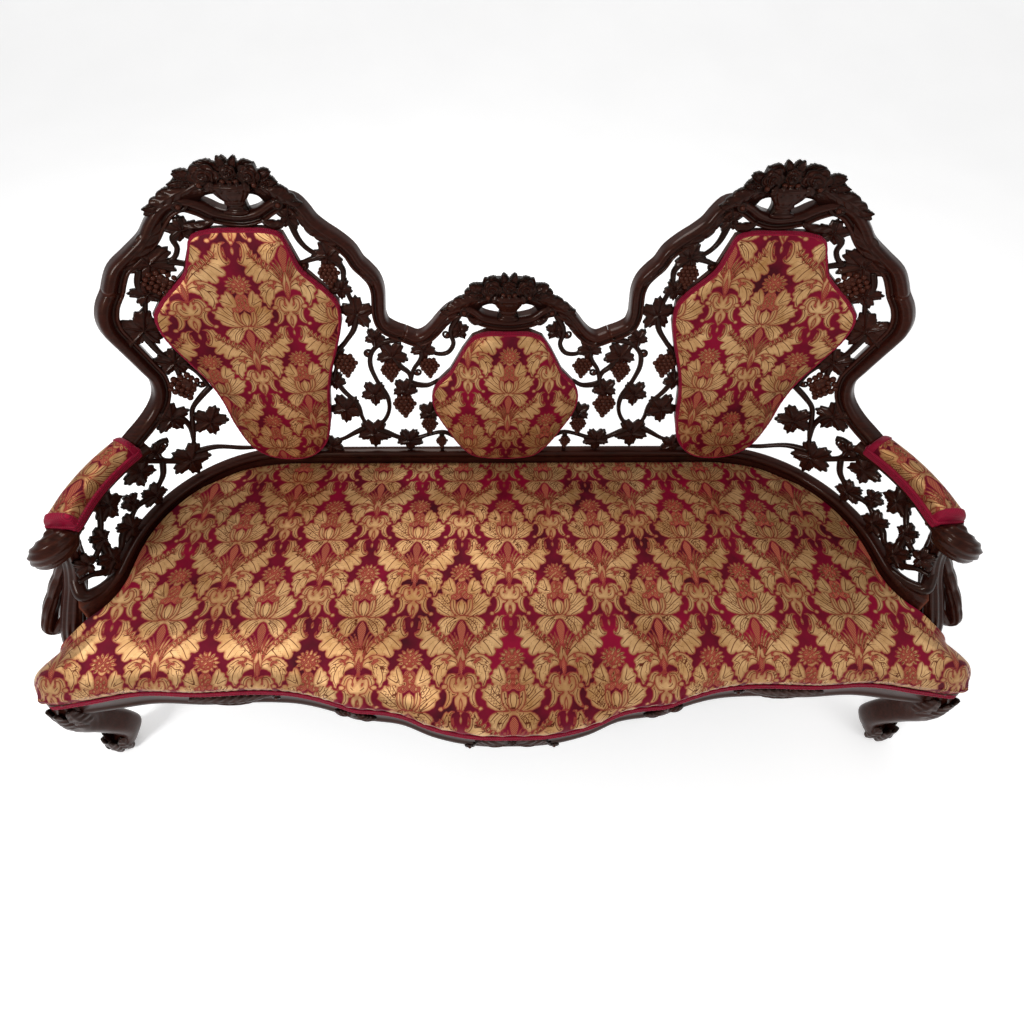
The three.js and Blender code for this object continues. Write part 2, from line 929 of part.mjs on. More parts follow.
// A hanging bunch of grapes, wide at the top and pointed below.
function grapes([along, up, size]) {
  const rim = [];
  for (let i = 0; i < grapeSides; i++) {
    const angle = (2 * Math.PI * i) / grapeSides + Math.PI / 2;
    const narrow = grapeWidthShare + grapeTaperShare * Math.sin(angle);
    rim.push([
      Math.cos(angle) * grapeRadius * size * narrow,
      Math.sin(angle) * grapeRadius * size,
    ]);
  }
  return dome(placeAlong(along), bottomRailTop + up * backRise, rim, vineThickness, grapeCrown);
}

// A stem of the vine.
function stem(shares) {
  return bar(smooth(places(shares), stemStep), stemWidth, stemThickness, stemSectionShares);
}

// A pierced and carved stretch of vine, cut back to what it is let into.
function vine(stems, leaves, bunches, cutters) {
  const pieces = [...stems.map(stem), ...leaves.map(leaf), ...bunches.map(grapes)];
  return trimmed(joined(pieces), [bottomBoard(fit), ...mouldingCutters(), ...cutters]);
}

function innerVine() {
  const cutters = [panelCutter(sidePanel), panelCutter(centrePanel)];
  return vine(innerStemShares, innerLeafShares, innerGrapeShares, cutters);
}

function outerVine() {
  const cutters = [panelCutter(sidePanel), armRailBody(fit), armPostBody(fit)];
  return vine(outerStemShares, outerLeafShares, outerGrapeShares, cutters);
}

// A carved basket of flowers standing on a crest rail.
function flowerBasket(place, halfWidth, crestLine) {
  const foot = crestTopAt(place, crestLine) + fit;
  const half = basketShares.map(([along, up]) => [along * halfWidth, up * basketRise]);
  const outline = bothHalves(half, true).map(([along, up]) => [place + along, foot + up]);
  const front = outline.map(([along, up]) => onBack(along, up, -basketThickness / 2 - basketForward));
  const back = outline.map(([along, up]) => onBack(along, up, basketThickness / 2 - basketForward));
  const flowers = bothHalves(flowerShares, false).map(([along, up, size]) => {
    const rim = roundShares.map(([across, rise]) => [
      across * flowerRadius * size,
      rise * flowerRadius * size,
    ]);
    return dome(place + along * halfWidth, foot + up * basketRise, rim, basketThickness, flowerRadius / 2);
  });
  return trimmed(joined([slab(front, back, outline), ...flowers]), mouldingCutters());
}

// The height of a crest rail's upper edge at a place along the back.
function crestTopAt(place, crestLine) {
  const near = crestLine.reduce((best, one) =>
    Math.abs(one[0] - place) < Math.abs(best[0] - place) ? one : best,
  );
  return near[1] + mouldWidth / 2;
}

// Arms

// Places spread evenly from one value to another.
function spread(from, to, steps) {
  return Array.from({ length: steps + 1 }, (_, i) => from + ((to - from) * i) / steps);
}

// A ring round a middle in an upright plane that faces along a direction on the floor.
function uprightRing(middle, facing, halfAcross, halfHigh) {
  const across = new THREE.Vector3(-facing.y, facing.x, 0).normalize();
  return roundShares.map(([out, up]) =>
    middle
      .clone()
      .addScaledVector(across, out * halfAcross)
      .setZ(middle.z + up * halfHigh),
  );
}

// The direction of the plan line at a place, for the right-hand side.
function heading(along) {
  return onPlan(along + fit, 0, 0).sub(onPlan(along - fit, 0, 0)).normalize();
}

// Where the arm ends along the back's plan line, and the middle of its post in plan, at the top and the base
const armEnd = bendEnd + sideStraight - armStop;
const armEndPlace = onBack(armEnd, armTop - armRailHeight / 2);
const postTopX = armEndPlace.x;
const postTopY = armEndPlace.y - postTopAhead;
const postBaseX = postTopX + postOut;
const postBaseY = legY + postSetback;

// The arm's rail under the pad and the carved scroll that it ends in
function armRailBody(margin = 0) {
  const middle = armTop - armRailHeight / 2;
  const halfAcross = armRailWidth / 2 + margin;
  const halfHigh = armRailHeight / 2 + margin;
  const rings = spread(backReach - armRailLead, armEnd, armSteps).map((along) =>
    uprightRing(onBack(along, middle), heading(along), halfAcross, halfHigh),
  );
  const end = onBack(armEnd, middle);
  const ahead = heading(armEnd);
  const outward = new THREE.Vector3(-ahead.y, ahead.x, 0);
  let before = end;
  scrollShares.slice(1).forEach(([out, on, drop, size]) => {
    const place = end
      .clone()
      .addScaledVector(outward, out * scrollReach)
      .addScaledVector(ahead, on * scrollReach)
      .setZ(middle - drop * scrollDrop);
    const facing = place.clone().sub(before);
    const radius = scrollRadius * size + margin;
    rings.push(uprightRing(place, facing, radius, radius));
    before = place;
  });
  return loft(rings);
}

function armRail(side) {
  return turnedTo(side, trimmed(armRailBody(), [moulding(stileLine, fit), armPostBody(fit)]));
}

// The curved post under the front of an arm
function armPostBody(margin = 0) {
  const top = armTop - armRailHeight - fit;
  const foot = railTop + fit;
  const middle = (up, alongX, alongY) =>
    new THREE.Vector3(
      postTopX + (postBaseX - postTopX) * alongX,
      postTopY + (postBaseY - postTopY) * alongY,
      foot + (top - foot) * up + (up === 1 ? margin : 0) - (up === 0 ? margin : 0),
    );
  const rings = postShares.map(([up, alongX, alongY, size]) => {
    const place = middle(up, alongX, alongY);
    return levelRing(place.x, place.y, place.z, postHalfWidth * size + margin);
  });
  const line = new THREE.CatmullRomCurve3(postShares.map((shares) => middle(...shares)));
  const outward = new THREE.Vector3(postBaseX - postTopX, 0, 0).normalize();
  const leafRings = postLeafShares.map(([up, out, size]) => {
    const place = line.getPoint(1 - up).addScaledVector(outward, out * postHalfWidth);
    return levelRing(place.x, place.y, place.z, postHalfWidth * size + margin);
  });
  return joined([loft(rings), loft(leafRings)]);
}

// A level ring of points round a place.
function levelRing(x, y, z, half) {
  return roundShares.map(([across, deep]) => new THREE.Vector3(x + across * half, y + deep * half, z));
}

// The stuffed pad on an arm
function armPad(side) {
  const base = armTop + fit;
  const rings = spread(backReach - armPadLead, armEnd, padSteps).map((along, i) => {
    const draw = i % padSteps === 0 ? padEndShare : 1;
    const half = (armPadWidth / 2) * draw;
    const high = armPadHeight * draw;
    return armPadShares.map(([across, up]) => onBack(along, armTop, across * half).setZ(base + up * high));
  });
  return turnedTo(side, trimmed(loft(rings), [moulding(stileLine, 2 * fit)]));
}

// Legs and rails

// A right-hand shape, or the same shape turned over to the left-hand side.
function turnedTo(side, geometry) {
  return side === "right" ? geometry : flipped(geometry);
}

// A geometry mirrored from right to left, with its faces still pointing out.
function flipped(geometry) {
  const source = geometry.index ? geometry : mergeVertices(geometry);
  const place = source.getAttribute("position");
  const points = Array.from({ length: place.count }, (_, i) =>
    new THREE.Vector3().fromBufferAttribute(place, i).multiply(new THREE.Vector3(-1, 1, 1)),
  );
  const corners = source.index.array;
  const faces = [];
  for (let i = 0; i < corners.length; i += 3) faces.push([corners[i], corners[i + 1], corners[i + 2]]);
  return body(points, faces);
}

function frontLegBody(margin = 0) {
  const rings = legShares.map(([up, out, forward, size]) =>
    levelRing(
      legX + out * legHalfWidth,
      legY + forward * legHalfWidth,
      railTop * up + (up === 1 ? margin : 0),
      legHalfWidth * size + margin,
    ),
  );
  return loft(rings);
}

function rearLegBody(margin = 0) {
  const along = backStraightHalf + backBendRadius * rearLegTurn;
  const head = onPlan(along, -backRailInset, railTop + margin);
  const across = heading(along);
  const out = new THREE.Vector3(-across.y, across.x, 0);
  const half = rearLegHalfWidth;
  const kneeUp = railTop - railHeight;
  const levels = [railTop + margin, kneeUp, 0];
  const rings = levels.map((up, i) => {
    const bent = up < kneeUp ? 1 : 0;
    const reach = 2 * (half * rearLegShares[i] + margin);
    return plainSectionShares.map(([wide, deep]) =>
      head
        .clone()
        .addScaledVector(across, wide * reach)
        .addScaledVector(out, deep * reach)
        .add(new THREE.Vector3(bent * rearLegSplay, bent * rearLegRake, 0))
        .setZ(up),
    );
  });
  return loft(rings);
}

// The serpentine front line in plan, from the left corner to the right, moved inward by a distance
const frontPlaces = frontShares.map(([across, forward]) => [
  across * seatHalfWidth,
  -serpentineLine - forward * serpentineDepth,
]);
const frontWhole = smooth(bothHalves(frontPlaces, false), frontStep);
function frontLine(inset = 0, reach = seatHalfWidth) {
  const whole = frontWhole.filter(([x]) => Math.abs(x) <= reach);
  return whole.map(([x, y], i) => {
    const [fromX, fromY] = whole[Math.max(0, i - 1)];
    const [toX, toY] = whole[Math.min(whole.length - 1, i + 1)];
    const run = Math.hypot(toX - fromX, toY - fromY);
    return [x - ((toY - fromY) / run) * inset, y + ((toX - fromX) / run) * inset];
  });
}

// A rail that stands along a line in plan, with the section given forward and up.
function plannedRail(line, thickness, foot, height, section) {
  const rings = line.map(([x, y], i) => {
    const [fromX, fromY] = line[Math.max(0, i - 1)];
    const [toX, toY] = line[Math.min(line.length - 1, i + 1)];
    const run = Math.hypot(toX - fromX, toY - fromY);
    return section.map(
      ([forward, up]) =>
        new THREE.Vector3(
          x + ((toY - fromY) / run) * forward * thickness,
          y - ((toX - fromX) / run) * forward * thickness,
          foot + up * height,
        ),
    );
  });
  return loft(rings);
}

function frontRail() {
  const rail = plannedRail(
    frontLine(frontRailThickness - frontRailLip),
    frontRailThickness,
    railTop - railHeight,
    railHeight,
    frontRailShares,
  );
  return trimmed(rail, [frontLegBody(fit), flipped(frontLegBody(fit))]);
}

// The side rail's line in plan: round the back's bend, then out to the front leg under the arm post
function sideRailLine() {
  const start = backStraightHalf + backBendRadius * rearLegTurn;
  const line = planPlaces(spread(start, bendEnd, bendSteps / 2), -backRailInset);
  const straightEnd = onPlan(bendEnd + sideStraight, -backRailInset, 0);
  const flareMiddle = onPlan(bendEnd + sideStraight + (flareRadius * flareTurn) / 2, -backRailInset, 0);
  return smooth(
    [
      ...line,
      [straightEnd.x, straightEnd.y],
      [flareMiddle.x + backRailInset / 2, flareMiddle.y],
      [postBaseX - postHalfWidth / 2, postBaseY + postHalfWidth / 4],
      [legX, (postBaseY + legY) / 2],
      [legX, legY],
    ],
    2 * mouldStep,
  );
}

const centredShares = plainSectionShares.map(([forward, up]) => [forward, up + 0.5]);
const fromBackShares = plainSectionShares.map(([forward, up]) => [forward + 0.5, up + 0.5]);
const outwardShares = plainSectionShares.map(([forward, up]) => [forward - 0.5, up + 0.5]);

function sideRail(side) {
  const rail = plannedRail(
    sideRailLine(),
    backRailThickness,
    railTop - railHeight,
    railHeight,
    centredShares,
  );
  return turnedTo(side, trimmed(rail, [frontLegBody(fit), rearLegBody(fit), frontRailCutter()]));
}

function backSeatLine() {
  const end = backStraightHalf + backBendRadius * rearLegTurn;
  return planPlaces(spread(-end, end, railSteps), -backRailInset);
}

function backSeatRail() {
  const rail = plannedRail(
    backSeatLine(),
    backRailThickness,
    railTop - railHeight,
    railHeight,
    centredShares,
  );
  return trimmed(rail, [rearLegBody(fit), flipped(rearLegBody(fit))]);
}

// A box between two corners.
function box(low, high) {
  const size = high.map((value, i) => value - low[i]);
  const shape = new THREE.BoxGeometry(...size);
  return shape.translate(...low.map((value, i) => value + size[i] / 2));
}

// The front-to-back brace between the front and back rails
function seatBrace() {
  const foot = railTop - railHeight;
  const brace = box(
    [bracePlace - braceWidth / 2, -serpentineLine - serpentineDepth, foot],
    [bracePlace + braceWidth / 2, backLine, foot + braceHeight],
  );
  return trimmed(brace, seatRailCutters());
}

// The seat rails, carried past their faces, for butting pieces against them
const cutterFoot = railTop - 2 * railHeight;
const cutterHeight = 2 * railHeight + blockHeight;
function seatRailCutters() {
  const inside = backRailThickness / 2 + fit;
  const side = drawnIn(sideRailLine(), inside);
  const back = drawnIn(backSeatLine(), inside);
  const cutter = (line) => plannedRail(line, serpentineDepth, cutterFoot, cutterHeight, outwardShares);
  return [frontRailCutter(), cutter(side), cutter(mirrored(side).reverse()), cutter(back)];
}

// The front rail carried forward from its back face
function frontRailCutter() {
  const front = frontLine(frontRailThickness - frontRailLip + fit);
  return plannedRail(front, serpentineDepth, cutterFoot, cutterHeight, fromBackShares);
}

// A line in plan drawn in by a distance, for a line that runs with the seat on its right
function drawnIn(line, inset) {
  return line.map(([x, y], i) => {
    const [fromX, fromY] = line[Math.max(0, i - 1)];
    const [toX, toY] = line[Math.min(line.length - 1, i + 1)];
    const run = Math.hypot(toX - fromX, toY - fromY);
    return [x + ((toY - fromY) / run) * inset, y - ((toX - fromX) / run) * inset];
  });
}

// A glue block across a corner, between two places in plan
function cornerBlock(from, to) {
  const top = railTop - fit - (railHeight - blockHeight) / 2;
  return plannedRail([from, to], blockThickness, top - blockHeight, blockHeight, centredShares);
}

function frontCornerBlock(side) {
  const near = legY + blockInset;
  const block = cornerBlock(
    [legX - blockInset - blockReach, legY],
    [legX - backRailThickness / 2, near + blockReach / 2],
  );
  return turnedTo(side, trimmed(block, [...seatRailCutters(), frontLegBody(fit)]));
}

function rearCornerBlock(side) {
  const middle = backStraightHalf + backBendRadius * rearLegTurn;
  const inside = -backRailInset - backRailThickness / 2;
  const ends = [middle - blockInset, middle + blockInset].map((along) => onPlan(along, inside, 0));
  const block = cornerBlock(...ends.map((point) => [point.x, point.y]));
  return turnedTo(side, trimmed(block, [...seatRailCutters(), rearLegBody(fit)]));
}

// Seat upholstery

// Curves round the seat's edge in plan, as points from the front corner backward and from left to right
const planCurve = (points) =>
  new THREE.CatmullRomCurve3(
    points.map(([x, y]) => new THREE.Vector3(x, y, 0)),
    false,
    "centripetal",
  );

// The seat's corner, at the middle of the back's bend
const seatCornerAlong = backStraightHalf + (backBendRadius * Math.PI) / 4;

const postTuck = tuckGap + bulge / 2;

// The free front edge, the right side and the tucked back of the seat in plan: moved in from the swell of
// the front by a distance, and standing off the back's surface by another.
function seatEdges(inset, out) {
  const corner = [cornerX - inset, cornerY + inset];
  const front = frontLine(inset - bulge, seatHalfWidth * frontStopShare);
  const side = [
    corner,
    [cornerX + bulge - inset, (cornerY + postBaseY) / 2 - bulge],
    [postBaseX - tuckGap - inset, postBaseY - postHalfWidth - bulge],
    [postBaseX - postClearShare * postHalfWidth - inset / 2, postBaseY - postHalfWidth + postTuck],
    ...planPlaces(spread(backEnd, seatCornerAlong, bendSteps), out),
  ];
  const back = planPlaces(spread(-seatCornerAlong, seatCornerAlong, bendSteps), out);
  return {
    front: planCurve([[-corner[0], corner[1]], ...front, corner]),
    side: planCurve(side),
    back: planCurve(back),
  };
}
const boardLean = (up) => backRakeShare * (up - bottomRailTop) - boardThickness / 2 - tuckGap;
const swell = seatEdges(0, boardLean(railTop + edgeRise));
const footing = seatEdges(bulge + seatGimpThickness + footingInset, boardLean(railTop) - tuckGap);

// A plan place in the seat, at shares of its width from the left and of its depth from the front.
function seatPlace(edges, across, deep) {
  const between = (from, share, to) => from.clone().lerp(to, share);
  const flip = (point) => new THREE.Vector3(-point.x, point.y, 0);
  const [frontRight, rearRight] = [edges.side.getPointAt(0), edges.side.getPointAt(1)];
  const right = edges.side.getPointAt(deep);
  const frontCorners = between(flip(frontRight), across, frontRight);
  const rearCorners = between(flip(rearRight), across, rearRight);
  return between(edges.front.getPointAt(across), deep, edges.back.getPointAt(across))
    .add(between(flip(right), across, right))
    .sub(between(frontCorners, deep, rearCorners));
}

// Points along an edge of the seat: the free front and corners, and the part tucked against the back
function edgePoints(edges, whole, from, to) {
  const points = [];
  for (let i = 0; i <= edgeSteps; i++) {
    const share = i / edgeSteps;
    points.push(whole.getPointAt(share));
    const right = edges.side.getPointAt(from + (to - from) * share);
    points.push(right, new THREE.Vector3(-right.x, right.y, 0));
  }
  return points;
}
const freeEdge = edgePoints(swell, swell.front, 0, freeSideShare);
const tuckedEdge = edgePoints(swell, swell.back, freeSideShare, 1);
const footingEdge = [
  ...edgePoints(footing, footing.front, 0, freeSideShare),
  ...edgePoints(footing, footing.back, freeSideShare, 1),
];
function nearest(place, edge) {
  return Math.min(...edge.map((point) => Math.hypot(point.x - place.x, point.y - place.y)));
}

// The height of the seat's top at a plan place.
function seatTop(place) {
  const toFree = Math.min(nearest(place, freeEdge) / rollWidth, 1);
  const toTuck = Math.min(nearest(place, tuckedEdge) / tuckWidth, 1);
  const roll = (1 - (1 - toFree) ** rollPowerShare) ** (1 / rollPowerShare);
  const depth = (place.y - crownMiddle) / crownHalfDepth;
  const side = (place.x / cornerX) ** 4;
  const crown = seatCrown * Math.max(0, 1 - depth ** 2) * (1 - side);
  const tuck = tuckDrop * (1 - toTuck) ** 2;
  return railTop + bulgeHeight + (edgeRise - bulgeHeight) * roll + crown - tuck;
}

// The height of the hollow under the stuffing.
function seatHollow(place) {
  return seatTop(place) - stuffing;
}

// The stuffed and covered seat, hollow underneath for its springs
function seatCushion() {
  const rows = seatRowShares;
  const columns = spread(0, 1, seatColumns).map((share) =>
    THREE.MathUtils.lerp(share, (1 - Math.cos(Math.PI * share)) / 2, seatEdgeShare),
  );
  const wide = columns.length;
  const top = rows.flatMap((deep) =>
    columns.map((across) => {
      const place = seatPlace(swell, across, deep);
      return place.setZ(seatTop(place));
    }),
  );
  const under = rows.flatMap((deep) =>
    columns.map((across) => {
      const place = seatPlace(footing, across, deep);
      return place.setZ(nearest(place, footingEdge) < rimWidth ? railTop + fit : seatHollow(place));
    }),
  );
  const faces = [];
  const quad = (a, b, c, d) => faces.push([a, b, c], [a, c, d]);
  for (let j = 0; j + 1 < rows.length; j++)
    for (let i = 0; i + 1 < wide; i++) {
      const a = j * wide + i;
      quad(a, a + 1, a + wide + 1, a + wide);
      quad(top.length + a, top.length + a + wide, top.length + a + wide + 1, top.length + a + 1);
    }
  const round = [];
  for (let i = 0; i + 1 < wide; i++) round.push(i);
  for (let j = 0; j + 1 < rows.length; j++) round.push(j * wide + wide - 1);
  for (let i = wide - 1; i > 0; i--) round.push((rows.length - 1) * wide + i);
  for (let j = rows.length - 1; j > 0; j--) round.push(j * wide);
  round.forEach((a, i) => {
    const b = round[(i + 1) % round.length];
    quad(b, a, top.length + a, top.length + b);
  });
  return trimmed(body([...top, ...under], faces), [bottomBoard(fit)]);
}

// The braid along the front, under the seat's swell
function seatGimp() {
  const outer = frontLine(-seatGimpThickness);
  const inner = frontLine(0);
  const foot = railTop + fit;
  const rings = inner.map(([x, y], i) => [
    new THREE.Vector3(x, y, foot),
    new THREE.Vector3(...outer[i], foot),
    new THREE.Vector3(...outer[i], foot + seatGimpWidth),
    new THREE.Vector3(x, y, foot + seatGimpWidth),
  ]);
  return loft(rings);
}

// How far forward the front line lies at a place across the seat.
function frontAt(x) {
  const nearer = (best, one) => (Math.abs(one[0] - x) < Math.abs(best[0] - x) ? one : best);
  return frontWhole.reduce(nearer)[1];
}

const springPlaces = [];
for (let row = 0; row < springRows; row++)
  for (let column = 0; column < springColumns; column++)
    springPlaces.push([
      (column - (springColumns - 1) / 2) * springPitch,
      springFront + ((springBack - springFront) * row) / (springRows - 1),
    ]);

const webTop = railTop - railHeight - fit;

// The lattice of webbing tacked under the rails, crossing beneath every spring
function seatWebbing() {
  const back = backLine - backRailInset;
  const strips = [];
  const bend = backBendRadius - backRailInset;
  const reachOf = (y) => {
    const past = THREE.MathUtils.clamp((y - backLine + backBendRadius) / bend, 0, 1);
    return backStraightHalf + bend * Math.sqrt(1 - past ** 2);
  };
  for (let i = 0; i < springColumns; i++) {
    const x = (i - (springColumns - 1) / 2) * springPitch;
    strips.push(
      box(
        [x - webWidth / 2, frontAt(x) + frontRailLip + webWidth / 4, webTop - webThickness],
        [x + webWidth / 2, back - webWidth / 4, webTop],
      ),
    );
  }
  for (const y of [springFront, springBack])
    strips.push(
      box(
        [-reachOf(y + webWidth / 2), y - webWidth / 2, webTop - webThickness],
        [reachOf(y + webWidth / 2), y + webWidth / 2, webTop],
      ),
    );
  return joined(strips);
}

// An hourglass coil spring standing on the webbing under the stuffing
function seatSpring([x, y]) {
  const foot = webTop + fit + springWire / 2;
  const reach = [-springRadius, 0, springRadius];
  const under = (i, j) => seatHollow(new THREE.Vector3(x + i, y + j, 0));
  const lowest = Math.min(...reach.flatMap((i) => reach.map((j) => under(i, j))));
  const head = lowest - stuffing * springSinkShare - springWire / 2;
  const steps = springTurns * coilSteps;
  const rings = [];
  for (let i = 0; i <= steps; i++) {
    const turn = i / coilSteps;
    const angle = 2 * Math.PI * turn;
    const rising = (turn - springFlatShare) / (springTurns - 2 * springFlatShare);
    const climb = THREE.MathUtils.clamp(rising, 0, 1);
    const radius = springRadius * (1 - (1 - springWaistShare) * Math.sin(Math.PI * climb));
    rings.push(
      wireShares.map(([wide, high]) => {
        const out = radius + wide * springWire;
        return new THREE.Vector3(
          x + Math.cos(angle) * out,
          y + Math.sin(angle) * out,
          foot + (head - foot) * climb + high * springWire,
        );
      }),
    );
  }
  return loft(rings);
}

// The cloth tacked under the frame against dust
function dustCover() {
  const front = frontLine(frontRailLip, seatHalfWidth * frontStopShare);
  const back = planPlaces(spread(bendEnd, -bendEnd, railSteps), -dustInset);
  const outline = [...front, ...back];
  const high = webTop - webThickness - fit;
  const ring = (z) => outline.map(([x, y]) => new THREE.Vector3(x, y, z));
  return slab(ring(high), ring(high - dustThickness), outline);
}

// The assembly

const settee = new THREE.Group();

// A named piece of the settee.
function add(name, geometry, material) {
  const mesh = new THREE.Mesh(geometry, material);
  mesh.name = name;
  settee.add(mesh);
}

const sides = ["left", "right"];
const onSide = (side, value) => (side === "right" ? value : -value);

add("front_rail", frontRail(), rosewood);
add("back_seat_rail", backSeatRail(), secondaryWood);
add("seat_brace", seatBrace(), secondaryWood);
for (const side of sides) {
  add(`side_rail_${side}`, sideRail(side), secondaryWood);
  add(`corner_block_front_${side}`, frontCornerBlock(side), secondaryWood);
  add(`corner_block_rear_${side}`, rearCornerBlock(side), secondaryWood);
  add(`front_leg_${side}`, turnedTo(side, frontLegBody()), rosewood);
  add(`rear_leg_${side}`, turnedTo(side, rearLegBody()), rosewood);
}

add("seat_webbing", seatWebbing(), jute);
springPlaces.forEach((place, i) => add(`seat_spring_${i + 1}`, seatSpring(place), springSteel));
add("seat_cushion", seatCushion(), damask);
add("seat_gimp", seatGimp(), crimsonBraid);
add("dust_cover", dustCover(), dustCloth);

const postCutters = [armPostBody(fit), flipped(armPostBody(fit))];
add("back_bottom_rail", trimmed(bottomBoard(), postCutters), rosewood);
add("crest_rail_centre", moulding(centreCrestLine), rosewood);
for (const side of sides) {
  const crest = side === "right" ? sideCrestLine : mirrored(sideCrestLine);
  const stile = side === "right" ? stileLine : mirrored(stileLine);
  add(`crest_rail_${side}`, moulding(crest), rosewood);
  add(`stile_${side}`, trimmed(moulding(stile), [moulding(crest, fit)]), rosewood);
  const place = onSide(side, sidePanelPlace);
  add(`flower_basket_${side}`, flowerBasket(place, sideBasketWidthShare * backReach, crest), rosewood);
  add(`vine_inner_${side}`, turnedTo(side, innerVine()), rosewood);
  add(`vine_outer_${side}`, turnedTo(side, outerVine()), rosewood);
  add(`arm_rail_${side}`, armRail(side), rosewood);
  add(`arm_post_${side}`, turnedTo(side, armPostBody()), rosewood);
  add(`arm_pad_${side}`, armPad(side), damask);
}
add("flower_basket_centre", flowerBasket(0, centreBasketWidthShare * backReach, centreCrestLine), rosewood);
for (const [name, panel] of Object.entries(panels)) {
  add(`panel_board_${name}`, panelBoard(panel), secondaryWood);
  add(`panel_cushion_${name}`, panelCushion(panel), damask);
  add(`panel_gimp_${name}`, panelGimp(panel), crimsonBraid);
  add(`panel_back_cover_${name}`, panelBackCover(panel), backCloth);
}

// The plan's centre goes to the origin, so that the settee stands centred on its resting plane.
const middle = new THREE.Box3().setFromObject(settee).getCenter(new THREE.Vector3());
settee.position.set(-middle.x, -middle.y, 0);

export default settee;
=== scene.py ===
"""Looks of a carved triple-back settee in rosewood and burgundy damask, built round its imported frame."""

import logging
import math
from dataclasses import dataclass, field
from enum import Enum
from typing import Callable, Iterable, Sequence

import bpy
import numpy as np
from mathutils import Matrix, Vector


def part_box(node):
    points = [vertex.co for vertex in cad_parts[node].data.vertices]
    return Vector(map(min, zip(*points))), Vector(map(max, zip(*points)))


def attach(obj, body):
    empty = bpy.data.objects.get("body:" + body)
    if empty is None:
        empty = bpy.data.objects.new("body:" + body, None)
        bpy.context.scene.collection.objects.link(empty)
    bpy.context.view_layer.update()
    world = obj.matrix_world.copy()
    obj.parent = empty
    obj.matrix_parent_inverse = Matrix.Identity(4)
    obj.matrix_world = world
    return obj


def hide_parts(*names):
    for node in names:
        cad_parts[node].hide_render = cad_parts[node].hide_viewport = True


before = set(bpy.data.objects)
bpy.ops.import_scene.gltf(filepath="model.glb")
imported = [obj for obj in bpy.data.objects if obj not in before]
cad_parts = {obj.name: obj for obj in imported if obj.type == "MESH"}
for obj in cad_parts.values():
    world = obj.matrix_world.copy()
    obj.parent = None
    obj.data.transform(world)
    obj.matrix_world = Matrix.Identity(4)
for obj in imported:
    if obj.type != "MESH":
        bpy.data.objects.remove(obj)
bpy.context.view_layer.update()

LOG = logging.getLogger("settee")
MM = 0.001
Array = np.ndarray
Table = Sequence[Sequence[float]]
Socket = bpy.types.NodeSocket
Thing = bpy.types.Object
Material = bpy.types.Material
Rows = tuple[tuple[float, ...], ...]


# Curves and solids


def spline(points: Table, step: float) -> Array:
    """Even points along a centripetal curve through the given ones.

    Args:
        points: the places that the curve passes through.
        step: the distance wanted between the points.

    Returns:
        The points, with both ends kept.
    """
    given = np.asarray(points, float)
    if len(given) < 3:
        dense = np.linspace(given[0], given[-1], 24)
    else:
        padded = np.vstack([2 * given[0] - given[1], given, 2 * given[-1] - given[-2]])
        share = np.linspace(0, 1, 24, endpoint=False)[:, None]
        runs = []
        for p0, p1, p2, p3 in zip(padded, padded[1:], padded[2:], padded[3:]):
            gaps = [max(np.linalg.norm(b - a), 1e-9) ** 0.5 for a, b in ((p0, p1), (p1, p2), (p2, p3))]
            t1, t2, t3 = np.cumsum(gaps)
            t = t1 + (t2 - t1) * share
            a1 = (t1 - t) / t1 * p0 + t / t1 * p1
            a2 = (t2 - t) / (t2 - t1) * p1 + (t - t1) / (t2 - t1) * p2
            a3 = (t3 - t) / (t3 - t2) * p2 + (t - t2) / (t3 - t2) * p3
            b1 = (t2 - t) / t2 * a1 + t / t2 * a2
            b2 = (t3 - t) / (t3 - t1) * a2 + (t - t1) / (t3 - t1) * a3
            runs.append((t2 - t) / (t2 - t1) * b1 + (t - t1) / (t2 - t1) * b2)
        dense = np.vstack([*runs, given[-1:]])
    return resampled(dense, step)


def resampled(line: Array, step: float) -> Array:
    """The line with points a step apart, as nearly as its length allows."""
    count = max(2, round(lengths(line)[-1] / step) + 1)
    return along_line(line, np.linspace(0, 1, count))


def lengths(line: Array) -> Array:
    """How far along the line each of its points lies."""
    return np.concatenate([[0], np.cumsum(np.linalg.norm(np.diff(line, axis=0), axis=1))])


def along_line(line: Array, shares: Array) -> Array:
    """Points of a line at shares of its length."""
    run = lengths(line)
    return np.stack([np.interp(np.asarray(shares) * run[-1], run, part) for part in line.T], -1)


def headings(line: Array) -> Array:
    """The direction of a line at each of its points, as unit vectors."""
    ways = np.gradient(line, axis=0)
    return ways / np.maximum(np.linalg.norm(ways, axis=1, keepdims=True), 1e-12)


def loop_headings(line: Array) -> Array:
    """The direction of a closed line at each of its points, as unit vectors."""
    ways = np.roll(line, -1, 0) - np.roll(line, 1, 0)
    return ways / np.maximum(np.linalg.norm(ways, axis=1, keepdims=True), 1e-12)


def mirrored(shares: Table) -> list[list[float]]:
    """The other half of a table of places, from the far end to the middle."""
    return [[-row[0], *row[1:]] for row in reversed(list(shares))]


def crosswise(ways: Array) -> Array:
    """The flat directions square to the given ones, on their left."""
    return np.stack([-ways[:, 1], ways[:, 0]], -1)


def around(count: int) -> Array:
    """So many even angles round a full turn."""
    return np.linspace(0, 2 * np.pi, count, endpoint=False)


def hump(values: Array, middle: float, wide: float) -> Array:
    """A smooth rise to one at a middle value, and down again."""
    return np.exp(-(((values - middle) / wide) ** 2))


def squared(turn: Array, power: float) -> Array:
    """How far the edge of a rounded square lies at each angle: 2 is round, more is squarer."""
    return (np.abs(np.cos(turn)) ** power + np.abs(np.sin(turn)) ** power) ** (-1 / power)


